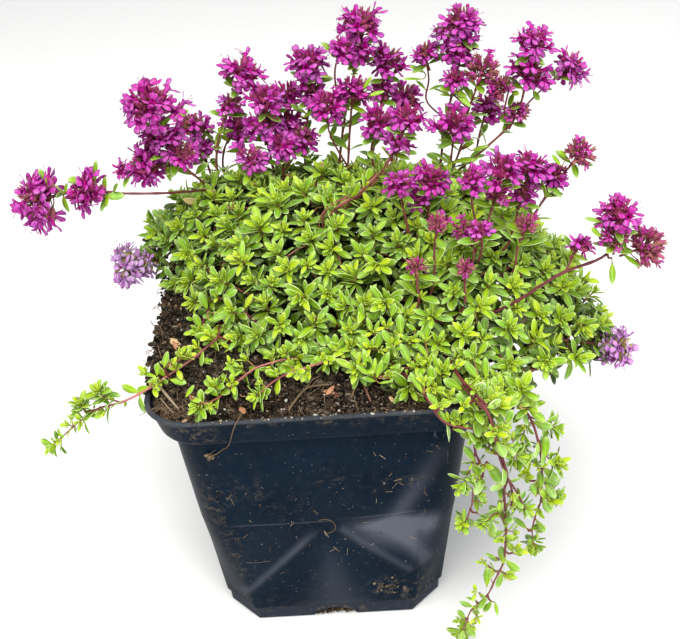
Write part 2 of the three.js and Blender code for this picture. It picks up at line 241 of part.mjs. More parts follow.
   forks:[[-34.2,18.9,98.3,-36.7,19,97.2,-39.2,19.1,96.4,-41.9,19.4,96.6],[-34.2,18.9,98.3,-34.5,21,101,-34.8,22.8,103.9,-35.1,24.5,106.9],[-34.2,18.9,98.3,-32.6,17.1,99.4,-31.5,15.8,101.3,-30.7,14.7,103.7],[-31.9,17.6,97.3,-34.1,24,97.2,-39.5,27.6,97.7,-45.9,29.7,98.2]],
   heads:[],
   rosettes:[[-42.64,18.78,97.28,-0.65,-0.53,0.55],[-35.75,23.97,107.73,-0.52,-0.46,0.72],[-31.37,14.11,104.48,-0.55,-0.48,0.68],[-46.91,29.7,98.93,-0.82,-0.02,0.57]],
   leaves:[]},
  {name:"leafy_branch_02",kind:"branch",path:[-21.9,2.6,93.6,-23.3,2.8,95,-24.9,3,96.1,-26.6,3.2,96.8],
   forks:[[-26.6,3.2,96.8,-27.7,1.5,96,-29,-0.1,95.8,-30.3,-1.8,96.1],[-26.6,3.2,96.8,-29.3,5,96.1,-32,6.8,95.4,-34.8,8.7,94.8],[-26.6,3.2,96.8,-26.2,4.6,99.6,-25.1,5,102.5,-23.8,5,105.3]],
   heads:[],
   rosettes:[[-31.25,-2.07,96.84,-0.76,-0.26,0.6],[-35.7,8.21,95.47,-0.75,-0.37,0.55],[-24.51,4.75,106.21,-0.6,-0.24,0.76]],
   leaves:[]},
  {name:"leafy_branch_03",kind:"branch",path:[-18,33.5,92.9,-19.1,35.6,95.4,-20.4,38,97.5,-21.9,40.7,98.8],
   forks:[[-21.9,40.7,98.8,-21.8,43.5,99.5,-21.3,46,100.7,-20.5,48.2,102.3],[-21.9,40.7,98.8,-25.1,43.7,98.5,-28.6,46.1,99.3,-32.3,48,100.9],[-21.9,40.7,98.8,-27.7,39.7,99.8,-33.1,39,101.9,-38.3,38.5,104.8],[-21.9,40.7,98.8,-17.2,43.7,99.7,-12.6,46.2,101.2,-7.9,48.4,103.3]],
   heads:[],
   rosettes:[[-20.63,49.17,103.02,-0.07,0.77,0.64],[-32.72,48.79,101.67,-0.38,0.67,0.64],[-38.88,39.13,105.62,-0.46,0.54,0.7],[-7.89,49.33,104.05,0,0.76,0.66]],
   leaves:[]},
  {name:"leafy_branch_04",kind:"branch",path:[-10,-8.4,94.2,-10.5,-8.9,96,-11.1,-9.4,97.8,-12.1,-10.3,99.3],
   forks:[[-12.1,-10.3,99.3,-14.4,-9.6,100,-16.7,-9.2,100.9,-18.9,-9.7,102.1],[-12.1,-10.3,99.3,-13.1,-12.9,97.9,-14.2,-15.6,96.6,-15.2,-18.6,96.1],[-12.1,-10.3,99.3,-9.8,-8.1,102.4,-7.9,-6.4,105.9,-6.4,-4.8,109.8]],
   heads:[],
   rosettes:[[-19.34,-10.37,102.96,-0.39,-0.59,0.71],[-15.64,-19.42,96.81,-0.32,-0.72,0.61],[-6.56,-5.43,110.81,-0.11,-0.5,0.86]],
   leaves:[]},
  {name:"leafy_branch_05",kind:"branch",path:[-9.5,22,94.4,-10,23.1,98.5,-10.5,24.4,102.5,-11.5,26.7,106],
   forks:[[-11.5,26.7,106,-13.2,30.4,107.1,-14.5,33.6,109.3,-15.5,36.4,112.3],[-11.5,26.7,106,-16.7,27.9,107.9,-21.5,29.2,110.7,-25.8,30.6,114.1],[-11.5,26.7,106,-6.7,25.8,109.1,-2.2,24.8,112.7,2.1,23.7,116.5]],
   heads:[],
   rosettes:[[-15.55,36.97,113.35,-0.05,0.45,0.89],[-26.07,30.74,115.28,-0.2,0.13,0.97],[2.11,23.89,117.63,0,0.16,0.99]],
   leaves:[]},
  {name:"leafy_branch_06",kind:"branch",path:[-7.5,8,93.8,-7.9,8.4,97.7,-8.3,8.8,101.6,-9.1,9.7,105.3],
   forks:[[-9.1,9.7,105.3,-8.3,11.2,108.4,-8.4,12.5,111.7,-9,13.8,114.9],[-9.1,9.7,105.3,-10.3,7.3,107,-11.8,5.4,109,-13.4,3.6,111.1],[-9.1,9.7,105.3,-13.3,12.8,106.8,-16.9,15.9,109.1,-19.9,19,112.3],[-9.1,9.7,105.3,-5.2,9.5,108.7,-1.5,9.3,112.4,1.9,9.1,116.3]],
   heads:[],
   rosettes:[[-9.36,13.56,116.02,-0.28,-0.19,0.94],[-13.85,3.4,112.2,-0.39,-0.21,0.9],[-20.3,18.57,113.37,-0.36,-0.34,0.87],[1.79,8.78,117.45,-0.06,-0.28,0.96]],
   leaves:[]},
  {name:"leafy_branch_07",kind:"branch",path:[7.2,33.2,92.4,7.6,35.1,95.5,8.1,37.3,98.4,8.7,40.3,100.4],
   forks:[[8.7,40.3,100.4,9.2,43.4,100.5,9.4,46.5,101,8.9,49.3,102.3],[8.7,40.3,100.4,12.6,42.2,101.7,16.2,43.7,103.9,19.2,44.7,107],[8.7,40.3,100.4,5.9,41.3,102.8,3.7,41.7,106,1.6,42.1,109.2]],
   heads:[],
   rosettes:[[8.95,50.2,103.03,0,0.77,0.63],[19.29,45.45,107.95,0.1,0.65,0.75],[1.62,42.83,110.12,0,0.6,0.8]],
   leaves:[]},
  {name:"leafy_branch_08",kind:"branch",path:[9.3,-16,92.3,9.8,-16.9,94.3,10.4,-17.9,96.2,11.2,-19.4,97.6],
   forks:[[11.2,-19.4,97.6,11.3,-21.1,97.7,11.5,-22.6,98.1,11.7,-24.1,98.9],[11.2,-19.4,97.6,15,-20.2,99.5,18.4,-20.8,102.2,21.4,-21.2,105.2],[11.2,-19.4,97.6,14.4,-22.9,96.9,17.7,-26.3,96.9,20.9,-29.7,97.4],[11.2,-19.4,97.6,8.1,-16.8,99.4,5.2,-14.9,102.2,2.5,-13.3,105.5],[11.2,-19.4,97.6,7,-19.9,96.7,2.7,-20.2,96.8,-1.6,-20.4,97.8],[11.2,-19.4,97.6,11.2,-23.6,95,11.4,-27.8,92.6,12,-32.1,90.4],[10.4,-17.9,96.2,16.5,-22.9,96.8,23.6,-25.5,98.5,31.1,-26.7,101],[11.2,-19.4,97.6,9.4,-14.1,102,7.8,-8.9,106.8,6.6,-3.8,111.7]],
   heads:[],
   rosettes:[[11.26,-24.84,99.74,-0.39,-0.62,0.68],[21.25,-21.96,106.19,-0.11,-0.59,0.8],[20.9,-30.64,98.16,-0.03,-0.75,0.66],[2.36,-13.98,106.43,-0.14,-0.6,0.79],[-1.8,-21.34,98.56,-0.18,-0.74,0.64],[11.42,-32.96,91.07,-0.46,-0.7,0.55],[31.03,-27.5,101.84,-0.03,-0.69,0.72],[6.54,-4.31,112.8,-0.08,-0.43,0.9]],
   leaves:[]},
  {name:"leafy_branch_09",kind:"branch",path:[15.3,8.9,93.4,16,9.4,98.1,16.9,9.9,102.7,18.5,10.9,107],
   forks:[[18.5,10.9,107,19.4,9.7,110.2,20.3,9.1,113.6,21.3,8.6,117],[18.5,10.9,107,22.9,11.2,110.2,27.3,11.8,113.3,31.7,12.6,116.3],[18.5,10.9,107,14.9,12.3,109.8,12.5,14.2,113.3,10.5,16.2,117.2]],
   heads:[],
   rosettes:[[21.25,8.4,118.22,-0.04,-0.16,0.99],[31.85,12.59,117.48,0.14,0.03,0.99],[10.53,16.32,118.4,0,0.05,1]],
   leaves:[]},
  {name:"leafy_branch_10",kind:"branch",path:[20.2,27.5,94,21.3,29.1,97.2,22.7,30.9,100.3,24.5,33.4,102.5],
   forks:[[24.5,33.4,102.5,27.2,35,104.4,29.4,36.5,106.8,31.3,37.8,109.7],[24.5,33.4,102.5,25.9,31.8,106.4,27,30.2,110.4,28,28.5,114.4],[24.5,33.4,102.5,29.2,36.7,102.1,33.9,40,102.3,38.5,43.2,103.3],[24.5,33.4,102.5,25.2,38.6,101.5,26.4,43.7,100.7,28.2,48.7,100.2],[24.5,33.4,102.5,20.4,31.9,106.3,16.8,30.7,110.6,13.4,29.8,115.1]],
   heads:[],
   rosettes:[[31.51,38.46,110.64,0.16,0.54,0.82],[28.15,28.88,115.55,0.1,0.29,0.95],[38.76,44.12,104.12,0.19,0.72,0.67],[28.48,49.61,100.87,0.2,0.78,0.6],[13.37,30.14,116.28,0,0.27,0.96]],
   leaves:[]},
  {name:"leafy_branch_11",kind:"branch",path:[29.4,-6.3,93.2,30.6,-5.8,97,32,-5.6,100.6,34,-7.2,103.5],
   forks:[[34,-7.2,103.5,35.7,-8,106.3,37,-8.2,109.4,38.1,-8.1,112.6],[34,-7.2,103.5,34.8,-4.2,107.7,35.9,-1,111.6,37.1,2.3,115.5],[34,-7.2,103.5,39.1,-9.9,104.7,42.1,-14.8,105.3,43.3,-20.5,105.5],[34,-7.2,103.5,40.4,-6.1,105.6,46.7,-5.3,108,53,-4.7,110.7],[34,-7.2,103.5,29.6,-8.2,105.5,25.5,-9.2,108.1,21.6,-10.3,111]],
   heads:[],
   rosettes:[[38.12,-8.52,113.68,0.04,-0.37,0.93],[37.26,2.28,116.65,0.15,-0.03,0.99],[43.38,-21.24,106.49,0.09,-0.58,0.81],[53.56,-4.71,111.75,0.5,-0.04,0.87],[21.41,-10.76,112.08,-0.19,-0.37,0.91]],
   leaves:[]},
  {name:"leafy_branch_12",kind:"branch",path:[37,23.5,91.2,39.1,24.6,94.2,41.5,25.8,96.9,44.4,27.1,98.9],
   forks:[[44.4,27.1,98.9,45.1,28.7,101.8,45.5,30,104.9,45.7,31.1,108.2],[44.4,27.1,98.9,47.8,25.5,100.8,51,24.4,103.2,54.1,23.7,106.1],[44.4,27.1,98.9,45.8,31.3,98.5,47.6,35.2,98.7,49.9,39,99.5],[44.4,27.1,98.9,48.9,28.8,97.5,53.4,30.4,96.6,58.1,32.1,96.2],[44.4,27.1,98.9,44.2,24.6,103.3,44.2,22.5,107.9,44.2,20.6,112.6]],
   heads:[],
   rosettes:[[46.22,31.63,109.11,0.45,0.4,0.8],[54.83,24.11,106.98,0.62,0.31,0.72],[50.6,39.59,100.15,0.62,0.54,0.57],[58.87,32.75,96.9,0.65,0.53,0.55],[44.54,20.86,113.71,0.3,0.22,0.93]],
   leaves:[]},
  {name:"leafy_branch_13",kind:"branch",path:[37,-12.3,91,41.8,-14.4,92.6,47.1,-15.5,93.2,52.5,-16.3,93.5],
   forks:[[52.5,-16.3,93.5,53.1,-19.9,93.5,53.1,-23.4,94.8,52.9,-26.5,96.9],[52.5,-16.3,93.5,53.5,-21.3,91,54.5,-26.6,89.1,55.6,-32.1,87.8],[52.5,-16.3,93.5,56.5,-19.1,91.6,60.8,-21.8,90.7,65.4,-24.4,90.8],[52.5,-16.3,93.5,49.1,-20.9,94.6,45.6,-25.5,95.8,42,-30,97.1],[52.5,-16.3,93.5,56.8,-15.4,95.5,60.5,-14.7,98.4,63.9,-13.9,101.6]],
   heads:[],
   rosettes:[[53.35,-27.3,97.64,0.41,-0.67,0.63],[56.07,-33.04,88.39,0.43,-0.75,0.5],[65.86,-25.25,91.49,0.4,-0.72,0.57],[42.18,-30.87,97.84,0.11,-0.75,0.65],[64.63,-14.27,102.51,0.61,-0.29,0.74]],
   leaves:[]},
  {name:"leafy_branch_14",kind:"branch",path:[37,8.4,91.8,40.8,8.9,94.9,45,9.6,97.4,49.6,10.2,98.9],
   forks:[[49.6,10.2,98.9,53.9,11.5,99,58,12.5,100.2,62,13.3,102],[49.6,10.2,98.9,53.7,7.4,100.5,57.4,4.4,102.7,60.7,1.5,105.4],[49.6,10.2,98.9,49.8,10.1,103.2,50,9.6,107.6,50.5,8.8,111.8],[49.6,10.2,98.9,54.5,13.7,96.7,59.3,17.7,95.7,63.7,22.3,95.9]],
   heads:[],
   rosettes:[[62.81,13.61,102.87,0.68,0.25,0.69],[61.48,1.49,106.33,0.64,0.02,0.77],[51.07,8.9,112.87,0.47,0.09,0.88],[64.63,22.72,96.56,0.76,0.33,0.56]],
   leaves:[]},
  {name:"leafy_branch_15",kind:"branch",path:[37,-0.5,92,44,-0.5,91.7,50.9,-0.6,91.5,57.9,-0.6,91.3],
   forks:[[57.9,-0.6,91.3,63.2,-0.3,90.7,68.5,-0.4,90.5,73.8,-1.1,91],[57.9,-0.6,91.3,64,-4.1,89,70.3,-7.6,87.5,76.7,-11.3,86.8],[57.9,-0.6,91.3,62.5,2.8,91.2,67.1,6.4,91.5,71.3,10.2,92.6]],
   heads:[],
   rosettes:[[74.78,-0.99,91.67,0.83,0.1,0.56],[77.67,-11.52,87.37,0.84,-0.19,0.51],[72.26,10.48,93.27,0.81,0.2,0.55]],
   leaves:[]}
];

// ---------------------------------------------------------------- helpers
const wasm = await Module();
wasm.setup();
const { Manifold, Mesh } = wasm;

function solid(geometry) {
  const g = geometry.index ? geometry.clone() : geometry;
  g.deleteAttribute('normal');
  g.deleteAttribute('uv');
  const m = mergeVertices(g, 1e-4);
  const pos = m.getAttribute('position');
  const idx = m.getIndex();
  return new Manifold(new Mesh({ numProp: 3, vertProperties: new Float32Array(pos.array), triVerts: new Uint32Array(idx.array) }));
}

function toGeometry(man) {
  const mesh = man.getMesh();
  const g = new THREE.BufferGeometry();
  const n = mesh.numProp;
  const out = new Float32Array((mesh.vertProperties.length / n) * 3);
  for (let i = 0; i < out.length / 3; i++) {
    for (let k = 0; k < 3; k++) out[i * 3 + k] = mesh.vertProperties[i * n + k];
  }
  g.setAttribute('position', new THREE.BufferAttribute(out, 3));
  g.setIndex(new THREE.BufferAttribute(new Uint32Array(mesh.triVerts), 1));
  g.computeVertexNormals();
  return g;
}

// joins vertices closer than the grid, so no sliver is left where two solids cross
function tidy(man, grid) {
  const mesh = man.getMesh();
  const n = mesh.numProp;
  const key = new Map();
  const verts = [];
  const map = [];
  for (let i = 0; i < mesh.vertProperties.length / n; i++) {
    const q = [0, 1, 2].map((k) => Math.round(mesh.vertProperties[i * n + k] / grid));
    const id = q.join(',');
    if (!key.has(id)) { key.set(id, verts.length / 3); verts.push(q[0] * grid, q[1] * grid, q[2] * grid); }
    map.push(key.get(id));
  }
  const faces = new Map();
  for (let i = 0; i < mesh.triVerts.length; i += 3) {
    const f = [map[mesh.triVerts[i]], map[mesh.triVerts[i + 1]], map[mesh.triVerts[i + 2]]];
    if (f[0] === f[1] || f[1] === f[2] || f[0] === f[2]) continue;
    const id = [...f].sort((a, b) => a - b).join(',');
    if (faces.has(id)) faces.delete(id); else faces.set(id, f);
  }
  const tris = [...faces.values()].flat();
  try {
    const out = new Manifold(new Mesh({ numProp: 3, vertProperties: new Float32Array(verts), triVerts: new Uint32Array(tris) }));
    return out.volume() > 0 ? out : man;
  } catch (e) {
    return man;
  }
}

function union(list) {
  let r = list[0];
  for (let i = 1; i < list.length; i++) r = r.add(list[i]);
  return r;
}

function vecs(flat) {
  const out = [];
  for (let i = 0; i < flat.length; i += 3) out.push(new THREE.Vector3(flat[i], flat[i + 1], flat[i + 2]));
  return out;
}

// long creeping stems keep every step, shorter stems are a little coarser
function stepCount(points) {
  return points > 13 ? points - 1 : Math.round((points - 1) * 0.8);
}

// the polyline a stem's solid follows
function spine(flat) {
  const pts = vecs(flat);
  return new THREE.CatmullRomCurve3(pts, false, 'centripetal').getSpacedPoints(Math.max(2, stepCount(pts.length)));
}

// nearest point to p on a list of spines
function snap(p, spines) {
  let best = null, d = Infinity;
  for (const line of spines) {
    for (let i = 0; i + 1 < line.length; i++) {
      const q = new THREE.Line3(line[i], line[i + 1]).closestPointToPoint(p, true, new THREE.Vector3());
      const e = q.distanceTo(p);
      if (e < d) { d = e; best = q; }
    }
  }
  return best;
}

// four sided stem along a curve
function tube(flat, radius) {
  const pts = vecs(flat);
  const curve = new THREE.CatmullRomCurve3(pts, false, 'centripetal');
  const s = new THREE.Shape();
  s.moveTo(radius, 0); s.lineTo(0, radius); s.lineTo(-radius, 0); s.lineTo(0, -radius); s.lineTo(radius, 0);
  const g = new THREE.ExtrudeGeometry(s, { steps: Math.max(2, stepCount(pts.length)), extrudePath: curve, bevelEnabled: false });
  return solid(g);
}

function orient(geometry, at, dir) {
  const q = new THREE.Quaternion().setFromUnitVectors(new THREE.Vector3(0, 0, 1), dir.clone().normalize());
  geometry.applyQuaternion(q);
  geometry.translate(at.x, at.y, at.z);
  return geometry;
}

// flower head core: a lumpy spindle on the stem's end
function head(h) {
  const [x, y, z, dx, dy, dz, R, L] = h;
  const r = R * HEAD_CORE;
  const half = L / 2 + r * 0.55;
  const profile = [
    new THREE.Vector2(0, -half), new THREE.Vector2(r * 0.8, -half * 0.5), new THREE.Vector2(r, half * 0.1),
    new THREE.Vector2(r * 0.72, half * 0.66), new THREE.Vector2(0, half),
  ];
  const g = new THREE.LatheGeometry(profile, 5);
  g.rotateX(Math.PI / 2);
  return solid(orient(g, new THREE.Vector3(x, y, z), new THREE.Vector3(dx, dy, dz)));
}

// cupped star of four leaves
function star(radius, lift, waist, turn) {
  const g = new THREE.ConeGeometry(radius, 1.6, 8, 1);
  g.rotateX(-Math.PI / 2);
  const p = g.getAttribute('position');
  for (let i = 0; i < p.count; i++) {
    const x = p.getX(i), y = p.getY(i);
    const rr = Math.hypot(x, y);
    if (rr > radius * 0.5) {
      const k = Math.round(Math.atan2(y, x) / (Math.PI / 4));
      const tip = Math.abs(k % 2) === 0;
      const s = tip ? 1 : waist;
      p.setXYZ(i, x * s, y * s, 0.8 + (tip ? lift : 0.1));
    }
  }
  g.rotateZ(turn);
  return g;
}

function rosette(r, i) {
  const at = new THREE.Vector3(r[0], r[1], r[2]);
  const n = new THREE.Vector3(r[3], r[4], r[5]);
  const turn = (i * 2.399) % Math.PI;
  return solid(orient(star(ROSETTE_RADIUS, 0.7, 0.45, turn), at.clone().addScaledVector(n, -0.8), n));
}

function leaf(l) {
  const d = new THREE.Vector3(l[3], l[4], l[5]);
  const len = l[6];
  const g = new THREE.OctahedronGeometry(1, 0);
  g.scale(LEAF_WIDTH / 2, LEAF_THICK / 2, len / 2);
  g.rotateZ(0.37);
  const at = new THREE.Vector3(l[0], l[1], l[2]).addScaledVector(d, len / 2 - 0.21);
  return solid(orient(g, at, d));
}

// rounded square prism whose half width follows z
function loft(levels, corner) {
  const h = 1, c = corner;
  const s = new THREE.Shape();
  s.moveTo(-h + c, -h); s.lineTo(h - c, -h); s.absarc(h - c, -h + c, c, -Math.PI / 2, 0, false);
  s.lineTo(h, h - c); s.absarc(h - c, h - c, c, 0, Math.PI / 2, false);
  s.lineTo(-h + c, h); s.absarc(-h + c, h - c, c, Math.PI / 2, Math.PI, false);
  s.lineTo(-h, -h + c); s.absarc(-h + c, -h + c, c, Math.PI, Math.PI * 1.5, false);
  const g = new THREE.ExtrudeGeometry(s, { depth: 1, steps: levels.length - 1, bevelEnabled: false, curveSegments: 5 });
  const p = g.getAttribute('position');
  for (let i = 0; i < p.count; i++) {
    const k = Math.round(p.getZ(i) * (levels.length - 1));
    const [z, half] = levels[k];
    p.setXYZ(i, p.getX(i) * half, p.getY(i) * half, z);
  }
  return solid(g);
}

function box(w, d, h, x, y, z) {
  const g = new THREE.BoxGeometry(w, d, h);
  g.translate(x, y, z);
  return solid(g);
}

function cylinder(r, h, x, y, z) {
  const g = new THREE.CylinderGeometry(r, r, h, 12);
  g.rotateX(Math.PI / 2);
  g.translate(x, y, z);
  return solid(g);
}

// ---------------------------------------------------------------- pot
function pot() {
  const bandZ = POT_HEIGHT - POT_BAND_HEIGHT;
  const c = POT_CORNER / POT_TOP_HALF;
  const slope = (POT_BODY_TOP_HALF - POT_BASE_HALF) / bandZ;
  const foot = POT_BASE_HALF + slope * 3.2;
  let body = loft([[0, POT_BASE_HALF - 0.5], [3.2, foot - 0.5]], c)
    .add(loft([[3.0, foot - 0.02], [bandZ + 0.6, POT_BODY_TOP_HALF]], c))
    .add(loft([[bandZ, POT_BAND_LOW_HALF], [POT_HEIGHT, POT_TOP_HALF]], c));
  const low = POT_BASE_HALF + slope * POT_WALL - POT_WALL - 0.4;
  body = body.subtract(loft([[POT_WALL, low], [bandZ + POT_WALL + 0.1, POT_BODY_TOP_HALF - POT_WALL]], c));
  body = body.subtract(loft([[bandZ + POT_WALL, POT_BAND_LOW_HALF - POT_WALL + 0.2], [POT_HEIGHT + 1, POT_TOP_HALF - POT_WALL + 0.2]], c));
  // drain notch with a low arch, cut through the foot of the front wall
  const cut = new THREE.CylinderGeometry(NOTCH_WIDTH / 2, NOTCH_WIDTH / 2, 7, 20);
  cut.scale(1, 1, NOTCH_HEIGHT / (NOTCH_WIDTH / 2));
  cut.translate(0, -POT_BASE_HALF - 1.0, 0);
  body = body.subtract(solid(cut));
  for (const [sx, sy] of [[1, 1], [1, -1], [-1, 1], [-1, -1]]) {
    body = body.subtract(cylinder(DRAIN_RADIUS, 6, sx * DRAIN_OFFSET, sy * DRAIN_OFFSET, 0.6));
  }
  return body;
}

// ---------------------------------------------------------------- soil
function soilTop(x, y) {
  const e = Math.min(41.5 - Math.abs(x), 41.5 - Math.abs(y));
  const cl = (v, a, b) => Math.max(a, Math.min(b, v));
  const lift = 5.2 * cl((y + 36) / 26, 0, 1);
  const mound = 3.2 * cl(e / 16, 0, 1);
  const wob = 0.8 * Math.sin(x * 0.17 + 1.3) * Math.cos(y * 0.14 - 0.4) + 0.3 * Math.sin(x * 0.27 + y * 0.2);
  const front = -1.2 * cl((-y - 34) / 8, 0, 1);
  return 84.6 + lift + mound + wob * cl(e / 6, 0.15, 1) + front;
}

function soil() {
  const bandZ = POT_HEIGHT - POT_BAND_HEIGHT;
  const slope = (POT_BODY_TOP_HALF - POT_BASE_HALF) / bandZ;
  const levels = [
    [POT_WALL + 0.35, POT_BASE_HALF + slope * 1.5 - POT_WALL - 0.4 - SOIL_GAP],
    [bandZ + 0.7, POT_BODY_TOP_HALF - POT_WALL - SOIL_GAP - 0.05],
    [bandZ + 1.6, POT_BODY_TOP_HALF - POT_WALL - SOIL_GAP + 0.05],
    [bandZ + 3.4, POT_BAND_LOW_HALF - POT_WALL - SOIL_GAP - 0.6],
    [0, POT_TOP_HALF - POT_WALL - SOIL_GAP - 2.0],
  ];
  const N = 10;
  const g = new THREE.BoxGeometry(2, 2, 4, N, N, 4);
  const p = g.getAttribute('position');
  const c = (POT_CORNER / POT_TOP_HALF) * 1.15;
  for (let i = 0; i < p.count; i++) {
    let x = p.getX(i), y = p.getY(i);
    const k = Math.round(p.getZ(i) + 2);
    const m = Math.max(Math.abs(x), Math.abs(y));
    if (m > 1e-6) {
      const a = Math.abs(x) / m, b = Math.abs(y) / m;
      let t = 1;
      if (Math.min(a, b) > 1 - c) {
        const q = 1 - c;
        const A = a * a + b * b, B = -2 * q * (a + b), C = 2 * q * q - c * c;
        t = (-B + Math.sqrt(B * B - 4 * A * C)) / (2 * A);
      }
      x *= t; y *= t;
    }
    const half = levels[k][1];
    x *= half; y *= half;
    p.setXYZ(i, x, y, k === 4 ? soilTop(x, y) : levels[k][0]);
  }
  return solid(g);
}

// ---------------------------------------------------------------- plant
const COLOURS = { flower: 0xa3268f, branch: 0x7fae32, trail: 0x86b23a, runner: 0x93b94a };

function plantNode(n) {
  const main = n.kind === 'branch' ? TRUNK_RADIUS : n.kind === 'flower' ? STEM_RADIUS : CREEPER_RADIUS;
  const parts = [tube(n.path, main)];
  const spines = [spine(n.path)];
  for (const f of n.forks) {
    const root = snap(new THREE.Vector3(f[0], f[1], f[2]), [spines[0]]);
    const g = [root.x, root.y, root.z, ...f.slice(3)];
    parts.push(tube(g, SHOOT_RADIUS));
    spines.push(spine(g));
  }
  for (const h of n.heads) parts.push(head(h));
  n.rosettes.forEach((r, i) => parts.push(rosette(r, i)));
  for (const l of n.leaves) {
    const root = snap(new THREE.Vector3(l[0], l[1], l[2]), spines);
    parts.push(leaf([root.x, root.y, root.z, ...l.slice(3)]));
  }
  return tidy(union(parts), 0.02);
}

const group = new THREE.Group();
group.name = 'potted_thyme';

function add(name, man, colour, roughness) {
  const mesh = new THREE.Mesh(toGeometry(man), new THREE.MeshStandardMaterial({ color: colour, roughness, metalness: 0 }));
  mesh.name = name;
  group.add(mesh);
}

add('pot', pot(), 0x1a1d22, 0.45);
add('soil', soil(), 0x2c211a, 0.95);
for (const n of PLANT) add(n.name, plantNode(n), COLOURS[n.kind], 0.6);

export default group;
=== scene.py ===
# Looks for a potted creeping thyme. Metres in the scene; the tables below are in millimetres.
import bpy, math, json
import numpy as np
from mathutils import Vector, Matrix
from mathutils.geometry import delaunay_2d_cdt

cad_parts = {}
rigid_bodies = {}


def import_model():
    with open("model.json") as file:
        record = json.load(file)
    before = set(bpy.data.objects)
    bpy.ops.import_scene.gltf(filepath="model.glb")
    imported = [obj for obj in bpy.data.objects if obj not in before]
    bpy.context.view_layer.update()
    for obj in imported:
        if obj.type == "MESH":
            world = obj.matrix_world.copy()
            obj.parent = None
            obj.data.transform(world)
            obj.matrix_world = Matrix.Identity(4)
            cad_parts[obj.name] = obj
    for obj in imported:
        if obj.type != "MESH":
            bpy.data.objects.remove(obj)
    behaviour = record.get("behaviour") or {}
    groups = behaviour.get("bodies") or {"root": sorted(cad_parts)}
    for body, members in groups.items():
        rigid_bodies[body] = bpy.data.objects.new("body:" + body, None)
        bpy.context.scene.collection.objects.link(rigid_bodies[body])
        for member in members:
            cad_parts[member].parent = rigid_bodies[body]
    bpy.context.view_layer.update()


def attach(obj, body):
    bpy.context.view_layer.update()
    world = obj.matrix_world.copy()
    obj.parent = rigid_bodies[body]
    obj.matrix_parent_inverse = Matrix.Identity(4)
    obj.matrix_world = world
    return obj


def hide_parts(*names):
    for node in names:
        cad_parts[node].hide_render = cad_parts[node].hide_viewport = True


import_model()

# ------------------------------------------------------------------ camera, from the fit to the pot
AZ, EL, ROLL = math.radians(0.56), math.radians(33.633), math.radians(-3.556)
back = Vector((math.sin(AZ) * math.cos(EL), -math.cos(AZ) * math.cos(EL), math.sin(EL)))
fwd = -back
r0 = fwd.cross(Vector((0, 0, 1))).normalized()
u0 = r0.cross(fwd)
right = math.cos(ROLL) * r0 + math.sin(ROLL) * u0
up = -math.sin(ROLL) * r0 + math.cos(ROLL) * u0
cam_data = bpy.data.cameras.new("camera")
cam = bpy.data.objects.new("camera", cam_data)
bpy.context.scene.collection.objects.link(cam)
m = Matrix((right, up, back)).transposed().to_4x4()
m.translation = Vector((0.00893, -0.26555, 0.26198))
cam.matrix_world = m
cam_data.sensor_width = 36.0
cam_data.sensor_fit = "HORIZONTAL"
cam_data.lens = 1131.4 / 680 * 36.0
cam_data.clip_start = 0.01
cam_data.clip_end = 20
bpy.context.scene.camera = cam

